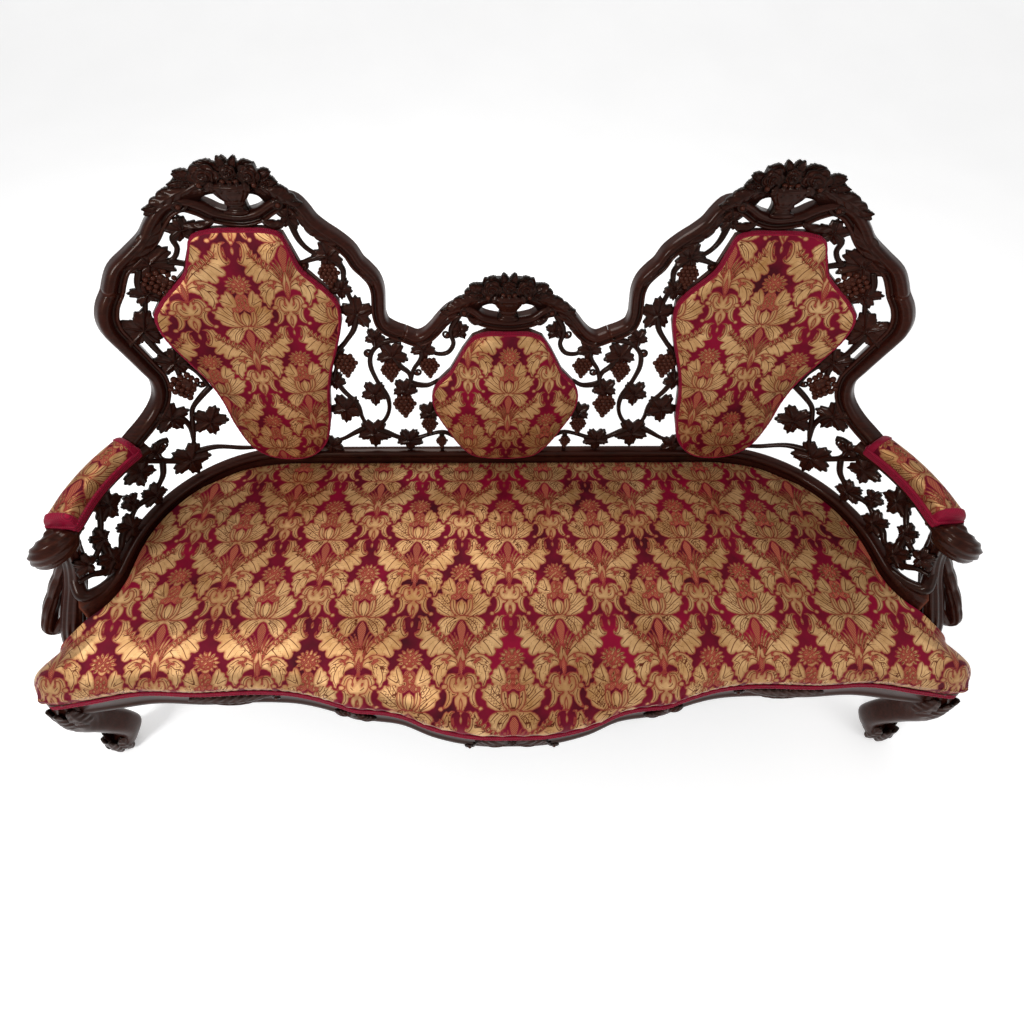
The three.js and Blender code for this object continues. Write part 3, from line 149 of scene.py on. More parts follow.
def enclosed(line: Array) -> float:
    """The area inside a closed flat line, below zero where it runs clockwise."""
    return 0.5 * float(np.sum(line[:, 0] * np.roll(line[:, 1], -1) - np.roll(line[:, 0], -1) * line[:, 1]))


def eased(values: Array, times: int) -> Array:
    """Values smoothed along their first axis, so many times, with both ends kept.

    Args:
        values: the values.
        times: how many times.

    Returns:
        The smoothed values.
    """
    for _ in range(times):
        inner = (values[:-2] + 2 * values[1:-1] + values[2:]) / 4
        values = np.concatenate([values[:1], inner, values[-1:]])
    return values


def swept(middles: Array, sizes: Sequence[float], step: float) -> tuple[Array, Array, Array]:
    """A curve through the middles of a turned piece.

    Args:
        middles: the places that the curve passes through.
        sizes: the piece's size at each of them.
        step: the distance wanted between the curve's points.

    Returns:
        The curve, the share of its length at each point, and the size there.
    """
    curve = spline(middles, step)
    share = np.linspace(0, 1, len(curve))
    run = lengths(middles)
    return curve, share, np.interp(share, run / run[-1], sizes)


def level_rings(curve: Array, reach: Array, turn: Array) -> Array:
    """Level rings round an upright curve, from their reach at each angle."""
    high = np.broadcast_to(curve[:, 2:], reach.shape)
    return np.stack([curve[:, :1] + reach * np.cos(turn), curve[:, 1:2] + reach * np.sin(turn), high], -1)


def pairs(*numbers: float) -> list[list[float]]:
    """Places in two directions from a flat row of numbers."""
    return [list(place) for place in zip(numbers[::2], numbers[1::2])]


def thousandths(width: int, *numbers: int) -> list[list[float]]:
    """A table with so many numbers to a row, given in thousandths."""
    return (np.array(numbers) / 1000).reshape(-1, width).tolist()


def grid_edge(rows: int, columns: int) -> Array:
    """The places of a grid's edge in its list of points, once round.

    Args:
        rows: how many rows the grid has.
        columns: how many columns the grid has.

    Returns:
        The places, from the first corner round to beside it.
    """
    front, right = np.arange(columns), np.arange(2 * columns - 1, rows * columns, columns)
    back = np.arange(rows * columns - 2, (rows - 1) * columns - 1, -1)
    left = np.arange((rows - 2) * columns, 0, -columns)
    return np.concatenate([front, right, back, left])


def grid_faces(rows: int, columns: int, round_columns: bool = False, round_rows: bool = False) -> Array:
    """The four-sided faces of a grid of points, closed round one way or the other where asked.

    Args:
        rows: how many rows the grid has.
        columns: how many columns the grid has.
        round_columns: whether the last column meets the first.
        round_rows: whether the last row meets the first.

    Returns:
        The faces, as rows of four places in the list of points.
    """
    i = np.arange(rows if round_rows else rows - 1)
    j = np.arange(columns if round_columns else columns - 1)
    i, j = np.meshgrid(i, j, indexing="ij")
    ahead, beside = (i + 1) % rows, (j + 1) % columns
    corners = [i * columns + j, i * columns + beside, ahead * columns + beside, ahead * columns + j]
    return np.stack(corners, -1).reshape(-1, 4)


class Solid:
    """A closed shape gathered from grids of points and turned into one mesh."""

    def __init__(self) -> None:
        """Starts with nothing in it."""
        self.points: list[Array] = []
        self.faces: list[Sequence[int]] = []
        self.count = 0

    def add(self, points: Array, faces: Iterable[Sequence[int]]) -> None:
        """Adds points and the faces between them.

        Args:
            points: the points.
            faces: the faces between them.
        """
        flat = np.asarray(points, float).reshape(-1, 3)
        self.faces.extend((np.asarray(face) + self.count).tolist() for face in faces)
        self.points.append(flat)
        self.count += len(flat)

    def loft(self, rings: Array, closed: bool = False) -> None:
        """Adds a skin over rings of points, capped at both ends unless it closes on itself.

        Args:
            rings: rings of points, one after another.
            closed: whether the last ring meets the first.
        """
        rows, columns = rings.shape[:2]
        faces = list(grid_faces(rows, columns, True, closed))
        if not closed:
            faces += [list(range(columns))[::-1], list(range((rows - 1) * columns, rows * columns))]
        self.add(rings, faces)

    def tube(
        self, line: Array, radii: Array | float, sides: int = 10, closed: bool = False, flat: float = 1.0
    ) -> None:
        """Adds a round rod along a line.

        Args:
            line: the points of its middle.
            radii: its radius, at each point or all along.
            sides: how many sides it has.
            closed: whether its ends meet.
            flat: its thickness as a share of its width.
        """
        ahead = loop_headings(line) if closed else headings(line)
        reference = np.array([0.13, -0.94, 0.31])
        side = np.cross(ahead, reference)
        side /= np.maximum(np.linalg.norm(side, axis=1, keepdims=True), 1e-9)
        other = np.cross(side, ahead)
        angle = around(sides)
        radius = np.broadcast_to(radii, (len(line),))[:, None, None]
        ring = np.cos(angle)[:, None] * side[:, None] + flat * np.sin(angle)[:, None] * other[:, None]
        self.loft(line[:, None] + radius * ring, closed)

    def bead(
        self, centre: Array, radius: float, squash: Sequence[float] = (1, 1, 1), sides: int = 10
    ) -> None:
        """Adds a round bead.

        Args:
            centre: its middle.
            radius: its radius.
            squash: what its width, depth and height are multiplied by.
            sides: how many sides it has round its waist.
        """
        turn = around(sides)
        rise = np.linspace(-np.pi / 2, np.pi / 2, sides // 2 + 2)[1:-1, None]
        ring = np.stack(
            np.broadcast_arrays(np.cos(rise) * np.cos(turn), np.cos(rise) * np.sin(turn), np.sin(rise)), -1
        )
        self.loft(np.asarray(centre) + ring * radius * np.asarray(squash))

    def sheet(self, top: Array, under: Array) -> None:
        """Adds a closed slab between two grids of the same size.

        Args:
            top: the upper grid.
            under: the lower grid.
        """
        rows, columns = top.shape[:2]
        faces = grid_faces(rows, columns)
        rim = grid_edge(rows, columns).tolist()
        skirt = [(b, a, a + rows * columns, b + rows * columns) for a, b in zip(rim, rim[1:] + rim[:1])]
        both = np.concatenate([top.reshape(-1, 3), under.reshape(-1, 3)])
        self.add(both, [*faces, *(faces[:, ::-1] + rows * columns), *skirt])

    def mirrored(self, flip: int) -> "Solid":
        """The same shape, on the other side where the flip is below zero.

        Args:
            flip: 1 for the same side, -1 for the other.

        Returns:
            The shape for that side.
        """
        made = Solid()
        made.add(np.concatenate(self.points) * [flip, 1, 1], [face[::flip] for face in self.faces])
        return made

    def mesh(self, name: str) -> Thing:
        """Makes the mesh object, with its faces turned outward and smoothly shaded.

        Args:
            name: the name that it gets.

        Returns:
            The object.
        """
        data = bpy.data.meshes.new(name)
        data.from_pydata(np.concatenate(self.points).tolist(), [], self.faces)
        data.validate()
        thing = bpy.data.objects.new(name, data)
        bpy.context.scene.collection.objects.link(thing)
        data.shade_smooth()
        return thing


# Materials


class Graph:
    """A material's node graph, built a node at a time."""

    def __init__(self, name: str) -> None:
        """Makes an empty material with an output and a principled surface.

        Args:
            name: the name that it gets.
        """
        self.material = bpy.data.materials.new(name)
        self.material.use_nodes = True
        self.tree = self.material.node_tree
        self.tree.nodes.clear()
        self.output = self.tree.nodes.new("ShaderNodeOutputMaterial")
        self.surface = self.tree.nodes.new("ShaderNodeBsdfPrincipled")
        self.tree.links.new(self.surface.outputs[0], self.output.inputs[0])

    def set(self, node: bpy.types.Node, key: str | int, value: object) -> None:
        """Links a socket into an input, or gives the input a plain value.

        Args:
            node: the node.
            key: the input's name or number.
            value: a socket or a plain value.
        """
        if isinstance(value, Socket):
            self.tree.links.new(value, node.inputs[key])
        else:
            node.inputs[key].default_value = value

    def node(self, kind: str, inputs: dict | None = None, **settings: object) -> bpy.types.Node:
        """Adds a node of a kind with its settings and inputs.

        Args:
            kind: the last part of its type's name.
            inputs: the inputs' values, by name or number.
            settings: the node's own settings.

        Returns:
            The node.
        """
        made = self.tree.nodes.new("ShaderNode" + kind)
        for key, value in settings.items():
            setattr(made, key, value)
        for key, value in (inputs or {}).items():
            self.set(made, key, value)
        return made

    def math(self, operation: str, *values: object) -> Socket:
        """The result of a sum on one to three values."""
        return self.node("Math", dict(enumerate(values)), operation=operation).outputs[0]

    def mix(self, share: object, low: object, high: object, blend: str = "MIX") -> Socket:
        """A colour between two, by a share.

        Args:
            share: how much of the upper colour there is.
            low: the lower colour.
            high: the upper colour.
            blend: how the second colour is laid on the first.

        Returns:
            The colour's socket.
        """
        made = self.node("Mix", data_type="RGBA", blend_type=blend)
        for index, value in ((0, share), (6, low), (7, high)):
            self.set(made, index, value)
        return made.outputs[2]

    def plus(self, first: object, second: object, share: float = 1.0) -> Socket:
        """One value and a share of another."""
        return self.math("MULTIPLY_ADD", second, share, first)

    def wave(
        self, where: Socket, scale: float, distortion: float, detail: float = 2, way: str = "X"
    ) -> Socket:
        """Even bands, one after another along a way."""
        inputs = {"Vector": where, "Scale": scale, "Distortion": distortion, "Detail": detail}
        return self.node("TexWave", inputs, bands_direction=way).outputs["Fac"]

    def noise(
        self, scale: float, detail: float = 3, stretch: Sequence[float] = (1, 1, 1), rough: float = 0.55
    ) -> Socket:
        """A soft random value over the object's own space.

        Args:
            scale: how many spots there are to a metre.
            detail: how many finer layers it has.
            stretch: what the three directions are multiplied by.
            rough: how strong the finer layers are.

        Returns:
            The value's socket.
        """
        where = self.node("Mapping", {"Vector": self.place(), "Scale": tuple(stretch)}).outputs[0]
        inputs = {"Vector": where, "Scale": scale, "Detail": detail, "Roughness": rough}
        return self.node("TexNoise", inputs).outputs[0]

    def place(self) -> Socket:
        """The place in the object's own space."""
        return self.node("TexCoord").outputs["Object"]

    def band(self, value: Socket, low: float, high: float, start: float = 0, end: float = 1) -> Socket:
        """A value carried from one range to another and kept inside it."""
        inputs = {0: value, 1: low, 2: high, 3: start, 4: end}
        return self.node("MapRange", inputs, clamp=True).outputs[0]

    def bump(
        self, height: Socket, distance: float, strength: float = 1.0, under: Socket | None = None
    ) -> Socket:
        """A bumped normal from a height.

        Args:
            height: the height's socket.
            distance: how high a full step is, in metres.
            strength: how much of it shows.
            under: the normal that it is laid on, where there is one.

        Returns:
            The normal's socket.
        """
        inputs = {"Height": height, "Distance": distance, "Strength": strength}
        if under is not None:
            inputs["Normal"] = under
        return self.node("Bump", inputs).outputs[0]

    def finish(self, **inputs: object) -> Material:
        """Sets the surface's inputs, named with low lines for spaces, and gives the material.

        Args:
            inputs: the inputs' values, by name.

        Returns:
            The material.
        """
        for key, value in inputs.items():
            self.set(self.surface, key.replace("_", " "), value)
        return self.material


def tone(code: str) -> tuple[float, float, float, float]:
    """A colour from its screen code, as linear light.

    Args:
        code: six hexadecimal digits for red, green and blue.

    Returns:
        Red, green, blue and a full alpha.
    """
    parts = [int(code[i : i + 2], 16) / 255 for i in (0, 2, 4)]
    linear = [p / 12.92 if p <= 0.04045 else ((p + 0.055) / 1.055) ** 2.4 for p in parts]
    return (*linear, 1.0)


@dataclass(frozen=True)
class Wood:
    """Polished wood with streaked grain, with painted shade in its hollows and a painted highlight on its
    edges.
    """

    name: str
    dark: str
    middle: str
    # colour of the painted highlight on convex edges
    pale: str
    rough: float = 0.3
    coat: float = 0.15
    # colour of the painted shade in the carving's hollows
    hollow: str = "0c0504"
    shine: str = "e6b490"
    along: tuple[float, float, float] = (1, 6, 6)

    def material(self) -> Material:
        """Builds the material.

        Returns:
            The wood.
        """
        g = Graph(self.name)
        bend = g.noise(2.2, 3)
        grain = g.noise(26, 6, self.along, 0.65)
        fine = g.noise(140, 4, self.along, 0.7)
        ramp = g.node("ValToRGB", {0: g.plus(g.math("MULTIPLY", grain, 0.65), bend, 0.5)})
        for stop, at, code in zip(ramp.color_ramp.elements, (0.38, 0.78), (self.dark, self.middle)):
            stop.position, stop.color = at, tone(code)
        relief = g.node("NewGeometry").outputs["Pointiness"]
        # painted highlight: convex edges, found by pointiness, are paled toward the pale colour
        edge_highlit = g.mix(g.math("MULTIPLY", g.band(relief, 0.53, 0.72), 0.7), ramp.outputs[0], tone(self.pale))
        dull = g.plus(g.math("MULTIPLY", fine, 0.5), bend, 0.5)
        return g.finish(
            # painted shade: concave spots, found by pointiness, are darkened toward the hollow colour
            Base_Color=g.mix(g.band(relief, 0.42, 0.497, 0.92, 0), edge_highlit, tone(self.hollow)),
            Roughness=g.band(dull, 0.3, 0.7, self.rough - 0.05, self.rough + 0.12),
            Normal=g.bump(g.plus(fine, grain, 0.5), 0.0004, 0.35),
            Coat_Weight=self.coat,
            Coat_Roughness=0.06,
            Specular_IOR_Level=0.13,
            Specular_Tint=tone(self.shine),
        )


@dataclass(frozen=True)
class Damask:
    """Burgundy satin with a woven gold figure, drawn from the distances kept on the mesh."""

    name: str = "damask"
    ground: str = "86022a"
    shade: str = "3e010e"
    gold: str = "a67644"
    # colour of the painted glints on the gold
    bright: str = "dcb07c"
    rim: str = "9c6040"
    line: str = "55160f"
    pink: str = "ae5a42"
    edge: str = "9c4034"

    def material(self) -> Material:
        """Builds the material.

        Returns:
            The damask.
        """
        g = Graph(self.name)
        cloth = g.node("Attribute", attribute_name="cloth").outputs["Vector"]
        figure = g.node("Attribute", attribute_name="figure").outputs["Vector"]
        first, second, bulb = g.node("SeparateXYZ", {0: figure}).outputs
        across, down, vein = g.node("SeparateXYZ", {0: cloth}).outputs
        leaf = g.math("MINIMUM", first, second)
        inside = g.band(leaf, 0.35, -0.35)
        seam = g.math("MINIMUM", g.math("ABSOLUTE", first), g.math("ABSOLUTE", second))
        crease = g.band(g.math("MINIMUM", seam, g.math("ABSOLUTE", bulb)), 1.1, 0.5)
        ribs = g.band(g.math("ABSOLUTE", vein), 1.25, 0.5, 0, 0.95)
        outline = g.band(g.math("ABSOLUTE", g.math("MINIMUM", leaf, bulb)), 0.95, 0.45)
        mottle = g.noise(9, 3)
        ground = g.mix(g.band(mottle, 0.3, 0.7), tone(self.shade), tone(self.ground))
        # painted glints: the gold is lightened toward the bright colour in random patches
        glint = g.band(g.plus(mottle, g.noise(60, 2), 0.5), 0.45, 0.95)
        gold = g.mix(glint, tone(self.gold), tone(self.bright))
        gold = g.mix(g.band(leaf, -5.5, -0.6, 0, 0.8), gold, tone(self.rim))
        colour = g.mix(inside, ground, g.mix(g.math("MAXIMUM", crease, ribs), gold, tone(self.line)))
        hatch = g.math("MAXIMUM", self.thread(g, across, down, 1.0), self.thread(g, across, down, -1.0))
        netted = g.mix(g.band(hatch, 0.45, 0.6), tone(self.shade), tone(self.pink))
        colour = g.mix(g.band(bulb, 0.35, -0.35), colour, netted)
        colour = g.mix(g.math("MULTIPLY", outline, 0.7), colour, tone(self.edge))
        weave = g.plus(
            g.math("MULTIPLY", g.wave(cloth, 0.32, 0.3, way="Y"), 0.6), g.wave(cloth, 0.5, 0.3), 0.4
        )
        raised = g.plus(g.math("MULTIPLY", weave, 0.35), inside, 0.8)
        shaded = g.mix(g.band(weave, 0, 1), tone("3a3030"), tone("ffffff"))
        return g.finish(
            Base_Color=g.mix(0.25, colour, shaded, "MULTIPLY"),
            Roughness=g.plus(0.52, inside, -0.16),
            Normal=g.bump(raised, 0.0005, 0.55, g.bump(g.noise(16, 2), 0.002, 0.3)),
            Metallic=g.math("MULTIPLY", inside, 0.62),
            Sheen_Weight=0.03,
            Sheen_Roughness=0.35,
            Sheen_Tint=tone("b03050"),
            Specular_IOR_Level=0.1,
        )

    def thread(self, g: Graph, across: Socket, down: Socket, way: float) -> Socket:
        """Fine slanting threads across the cloth, one way."""
        run = g.plus(across, down, way)
        return g.math("MULTIPLY_ADD", g.math("SINE", g.math("MULTIPLY", run, 1.5)), 0.5, 0.5)


@dataclass(frozen=True)
class Cloth:
    """A plain woven cloth with a visible thread."""

    name: str
    low: str
    high: str
    pitch: float = 300.0
    rough: float = 0.75
    sheen: float = 0.25

    def material(self) -> Material:
        """Builds the material.

        Returns:
            The cloth.
        """
        g = Graph(self.name)
        where = g.place()
        warp, weft = (g.wave(where, self.pitch, 0.6, way=way) for way in "XZ")
        thread = g.math("MULTIPLY", g.plus(warp, weft), 0.5)
        share = g.band(g.plus(g.math("MULTIPLY", thread, 0.5), g.noise(40, 4), 0.6), 0.25, 0.8)
        return g.finish(
            Base_Color=g.mix(share, tone(self.low), tone(self.high)),
            Roughness=self.rough,
            Normal=g.bump(thread, 0.0004, 0.5),
            Sheen_Weight=self.sheen,
            Sheen_Roughness=0.5,
        )


@dataclass(frozen=True)
class Braid:
    """Crimson gimp: close slanting loops with a silky shine."""

    name: str = "braid"
    low: str = "56021a"
    high: str = "9c0631"
    turns: Rows = ((0.6, 0.7, 0.785), (-0.7, 0.5, -0.785))

    def material(self) -> Material:
        """Builds the material.

        Returns:
            The braid.
        """
        g = Graph(self.name)
        slants = [
            g.node("Mapping", {"Vector": g.place(), "Rotation": turn}).outputs[0] for turn in self.turns
        ]
        loops = g.math("MULTIPLY", g.plus(*(g.wave(slant, 150, 0.9, 3) for slant in slants)), 0.5)
        return g.finish(
            Base_Color=g.mix(
                g.band(g.plus(loops, g.noise(60), 0.5), 0.3, 1.2), tone(self.low), tone(self.high)
            ),
            Roughness=0.5,
            Normal=g.bump(loops, 0.0009, 0.6),
            Sheen_Weight=0.06,
            Sheen_Roughness=0.35,
            Specular_IOR_Level=0.15,
        )


@dataclass(frozen=True)
class Steel:
    """Coppered spring wire, a little dulled."""

    name: str = "spring_wire"

    def material(self) -> Material:
        """Builds the material.

        Returns:
            The steel.
        """
        g = Graph(self.name)
        dull = g.noise(120, 4)
        return g.finish(
            Base_Color=g.mix(g.band(dull, 0.35, 0.7), tone("8a6a52"), tone("b9a08a")),
            Metallic=0.9,
            Roughness=g.band(dull, 0.3, 0.7, 0.28, 0.5),
            Normal=g.bump(dull, 0.0003, 0.3),
        )


@dataclass(frozen=True)
class Plaster:
    """The studio's pale floor."""

    name: str = "studio_floor"

    def material(self) -> Material:
        """Builds the material.

        Returns:
            The plaster.
        """
        g = Graph(self.name)
        cloud = g.band(g.noise(1.5, 4), 0.3, 0.7)
        return g.finish(
            Base_Color=g.mix(cloud, tone("fdfdfd"), tone("ffffff")),
            Roughness=0.95,
            Emission_Color=g.mix(cloud, tone("fbfbfb"), tone("ffffff")),
            Emission_Strength=0.32,
            Specular_IOR_Level=0.1,
        )


class Finish(Enum):
    """The finishes of the settee, by the record's slots."""

    ROSEWOOD = "rosewood"
    SECONDARY = "secondary_wood"
    DAMASK = "damask"
    BRAID = "braid"
    BACK_CLOTH = "back_cloth"
    JUTE = "jute"
    STEEL = "spring_steel"
    DUST = "dust_cloth"


@dataclass
class Palette:
    """All the materials, made once."""

    made: dict[Finish, Material] = field(default_factory=dict)

    def fill(self) -> None:
        """Builds every finish."""
        # each wood's fourth colour is the painted highlight on its edges
        self.made = {
            Finish.ROSEWOOD: Wood("rosewood", "120605", "38150e", "6a3626").material(),
            Finish.SECONDARY: Wood("secondary_wood", "6b4a2c", "a07a4e", "c19a6b", 0.6, 0.0).material(),
            Finish.DAMASK: Damask().material(), Finish.BRAID: Braid().material(),
            Finish.BACK_CLOTH: Cloth("back_cloth", "4a0717", "7d0f28").material(),
            Finish.JUTE: Cloth("jute", "8a6b42", "b8955f", 120, 0.9, 0.1).material(),
            Finish.STEEL: Steel().material(),
            Finish.DUST: Cloth("dust_cloth", "121212", "2a2a2c", 260, 0.9, 0.1).material(),
        }

    def dress(self, thing: Thing, finish: Finish) -> None:
        """Gives an object one finish all over."""
        thing.data.materials.clear()
        thing.data.materials.append(self.made[finish])


PALETTE = Palette()


def settle(thing: Thing, finish: Finish, *nodes: str) -> Thing:
    """Dresses a piece, puts it on the one body, and hides the solids that it stands for.

    Args:
        thing: the mesh object.
        finish: its finish.
        nodes: the solids that it stands for.

    Returns:
        The same object.
    """
    PALETTE.dress(thing, finish)
    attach(thing, "root")
    if nodes:
        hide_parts(*nodes)
    LOG.info("%s: %d points", thing.name, len(thing.data.vertices))
    return thing


# The back's surface


@dataclass(frozen=True)
class Back:
    """The surface that the whole back follows, in millimetres, read out in metres."""

    straight: float = 615
    bend: float = 330
    side: float = 52
    flare: float = 90
    turn: float = math.pi / 3
    rake: float = 0.208
    line: float = 577
    foot: float = 520
    reach: float = 1000
    rise: float = 700
    setback: float = 307.5

    @property
    def end(self) -> float:
        """The far end of the plan line."""
        return self.straight + self.bend * math.pi / 2 + self.side + self.flare * self.turn

    def at(self, along: Array | float, up: Array | float, out: Array | float = 0.0) -> Array:
        """Points of the back.

        Args:
            along: places along the plan line from the middle.
            up: heights above the floor.
            out: how far the points stand behind the surface.

        Returns:
            The points in metres.
        """
        along, up, out = np.broadcast_arrays(np.asarray(along, float), up, out)
        run = np.abs(along)
        bend = np.clip((run - self.straight) / self.bend, 0, math.pi / 2)
        past = np.maximum(0, run - self.straight - self.bend * math.pi / 2)
        straight = np.minimum(past, self.side)
        flare = np.minimum(np.maximum(0, past - self.side) / self.flare, self.turn)
        turn = bend - flare
        lean = self.rake * (up - self.foot) + out
        x = np.minimum(run, self.straight) + self.bend * np.sin(bend)
        x = x + self.flare * (1 - np.cos(flare)) + lean * np.sin(turn)
        y = self.line - self.bend * (1 - np.cos(bend)) - straight
        y = y - self.flare * np.sin(flare) + lean * np.cos(turn)
        return np.stack([np.where(along < 0, -x, x), y - self.setback, up], -1) * MM

    def plan(self, along: Array | float, out: Array | float, up: Array | float) -> Array:
        """Points of the plan line moved out from it, at a height.

        Args:
            along: places along the plan line.
            out: how far out they are moved.
            up: their height.

        Returns:
            The points in metres.
        """
        points = self.at(along, self.foot, out)
        points[..., 2] = np.asarray(up) * MM
        return points

    def places(self, shares: Table) -> Array:
        """Places along and up from a table of shares."""
        rows = np.asarray([row[:2] for row in shares], float)
        return np.stack([rows[:, 0] * self.reach, self.foot + rows[:, 1] * self.rise], -1)

    def ground(self, along: float, up: float, turn: float = 0.0, out: float = 0.0) -> "Ground":
        """A patch of the back's front, turned about a place.

        Args:
            along: its place along the plan line.
            up: its height above the floor.
            turn: how far it is turned, in radians.
            out: how far it stands behind the surface.

        Returns:
            A function from places across, up and off the patch to points in metres.
        """

        def at(a: Array, b: Array, h: Array) -> Array:
            """Points at places across, up and off the patch."""
            c, s = math.cos(turn), math.sin(turn)
            return self.at(along + a * c - b * s, up + a * s + b * c, out - h)

        return at


BACK = Back()
Ground = Callable[[Array, Array, Array], Array]


def flat_ground(origin: Array, across: Array, up: Array, round_by: float = 0.0) -> Ground:
    """A patch to carve on, away from the back.

    Args:
        origin: its middle, in metres.
        across: the direction across it.
        up: the direction up it.
        round_by: the radius that it bends round, in millimetres, or zero where it is flat.

    Returns:
        A function from places across, up and off the patch to points in metres.
    """
    across = np.asarray(across, float) / np.linalg.norm(across)
    up = np.asarray(up, float) / np.linalg.norm(up)
    face = np.cross(across, up)

    def at(a: Array, b: Array, h: Array) -> Array:
        """Points at places across, up and off the patch."""
        if round_by:
            angle = a / round_by
            reach = round_by + h
            side, depth = reach * np.sin(angle), reach * np.cos(angle) - round_by
        else:
            side, depth = a, h
        parts = (side[..., None] * across, b[..., None] * up, depth[..., None] * face)
        return np.asarray(origin) + MM * sum(parts)

    return at


# Carving


@dataclass(frozen=True)
class Carver:
    """Carved ornaments, each laid on a patch of ground and closed underneath."""

    depth: float = 5.0

    def acanthus(
        self, solid: Solid, ground: Ground, spine: Table, width: float, lobes: int = 4, rise: float = 7.0,
        lift: float = 0.0,
    ) -> None:
        """Carves a ribbed leaf with turned lobes.

        Args:
            solid: what the leaf is added to.
            ground: the patch that it lies on.
            spine: the places of its midrib, from the base to the tip.
            width: half its width at the widest.
            lobes: how many lobes each side has.
            rise: how far its middle stands up.
            lift: how much further its tip stands up.
        """
        line = spline(spine, 2.6)
        share = np.linspace(0, 1, len(line))[:, None]
        t = np.linspace(-1, 1, 17)[None]
        swell = np.sin(np.pi * np.clip(share * 0.9 + 0.08, 0, 1)) ** 0.75
        saw = (share * lobes + 0.35 * np.abs(t)) % 1.0
        lobe = 0.7 + 0.3 * np.sin(np.pi * saw) ** 0.6
        half = width * swell * lobe * t
        lean = 0.35 * width * swell * np.abs(t) ** 1.5
        rib = np.cos(2 * np.pi * (share * lobes - 0.6 * np.abs(t)))
        high = rise * swell * (1 - 0.75 * t**2) + 1.3 * rib * np.abs(t) ** 0.5 * swell
        high += 1.5 * hump(t, 0, 0.12) * swell + lift * share**2
        self.lay(solid, ground, line, half, lean, high, np.minimum(lift * share**2, 0))

    def lay(
        self, solid: Solid, ground: Ground, line: Array, half: Array, lean: Array, high: Array,
        sunk: Array | float = 0,
    ) -> None:
        """Lays a leaf's slab along its midrib.

        Args:
            solid: what the leaf is added to.
            ground: the patch that it lies on.
            line: its midrib.
            half: how far each of its points lies beside the midrib.
            lean: how far each lies ahead along it.
            high: how far each stands up.
            sunk: how much the underside moves up.
        """
        way = headings(line)
        place = line[:, None] + crosswise(way)[:, None] * half[..., None] + way[:, None] * lean[..., None]
        under = np.full_like(high, -self.depth) + sunk
        solid.sheet(ground(place[..., 0], place[..., 1], high), ground(place[..., 0], place[..., 1], under))

    def vine_leaf(
        self, solid: Solid, along: float, up: float, radius: float, turn: float, out: float = -6.0
    ) -> None:
        """Carves a five-lobed leaf with raised veins and a notched edge.

        Args:
            solid: what it is added to.
            along: its place along the plan line.
            up: its height above the floor.
            radius: its radius, in millimetres.
            turn: how far it is turned, as a share of a full turn.
            out: how far it stands behind the surface.
        """
        angle = around(90)[None]
        ring = np.array([0.02, 0.18, 0.34, 0.5, 0.64, 0.76, 0.87, 0.95, 1.0])[:, None]
        lobe = np.abs(np.cos(2.5 * angle)) ** 0.7
        teeth = 0.17 * np.abs(((angle * 20 / np.pi) % 2) - 1)
        edge = radius * (0.57 + 0.45 * lobe) * (1 + teeth - 0.07)
        a, b = edge * ring * -np.sin(angle), edge * ring * np.cos(angle)
        axis = np.round(angle * 5 / (2 * np.pi)) * 2 * np.pi / 5
        off = edge * ring * np.abs(np.sin(angle - axis))
        branch = np.abs(np.sin(off * 0.55 - edge * ring * 0.32))
        high = 8.5 * (1 - ring**2) ** 0.7 * (0.6 + 0.4 * lobe) + 3.0 * hump(off, 0, 1.5) * (1 - ring**4)
        curled = 5.6 * ring**2 * np.cos(5 * angle) ** 2 * (0.3 + 0.7 * np.cos(angle + 0.8) ** 2)
        high = high + 1.6 * branch * ring + curled - 2
        spin = 2 * math.pi * turn
        c, s = math.cos(spin), math.sin(spin)
        x, y = a * c - b * s, a * s + b * c
        top = BACK.at(along + x, up + y, out - high)
        sunk = np.where(ring[::-1] > 0.9, out + 5, out + 9)
        under = BACK.at(along + x[::-1], up + y[::-1], np.broadcast_to(sunk, high.shape))
        solid.loft(np.concatenate([top, under]))

    def grapes(self, solid: Solid, along: float, up: float, size: float) -> None:
        """Carves a hanging bunch of grapes.

        Args:
            solid: what it is added to.
            along: its place along the plan line.
            up: its height above the floor.
            size: its size, 1 being usual.
        """
        beads = [(0.95, 3), (0.62, 4), (0.3, 5), (-0.02, 4), (-0.34, 3), (-0.62, 2), (-0.92, 1)]
        radius = 6.6 * size
        solid.bead(BACK.at(along, up, -4), 22 * size * MM, (0.9, 0.45, 1.15), 14)
        for row, (rise, count) in enumerate(beads):
            half = (count - 1) / 2
            for k in range(count):
                a = (k - half) * radius * 1.72 + (0.6 if row % 2 else -0.6)
                swell = math.sqrt(max(0.0, 1 - (a / (30 * size)) ** 2)) * (1 - 0.35 * abs(rise - 0.1))
                place = BACK.at(along + a, up + rise * 27 * size, -7 - 7 * swell)
                solid.bead(place, radius * MM * (1.02 - 0.06 * (row % 3)), sides=10)

    def stem(
        self, solid: Solid, shares: Table, width: float = 7.4, out: float = -4.0, taper: float = 0.25
    ) -> None:
        """Carves a knotted stem that thins toward its end.

        Args:
            solid: what it is added to.
            shares: places as shares of the back's reach and rise.
            width: half its thickness where it starts.
            out: how far it stands behind the surface.
            taper: how much thinner its end is, as a share.
        """
        line = spline(BACK.places(shares), 5)
        run = np.linspace(0, 1, len(line))
        knots = 0.5 * np.sin(run * len(line) * 0.31) + 0.4 * np.sin(run * len(line) * 0.13 + 1)
        radii = (width + knots) * (1 - taper * run)
        solid.tube(BACK.at(line[:, 0], line[:, 1], out), radii * MM, 10, flat=1.1)

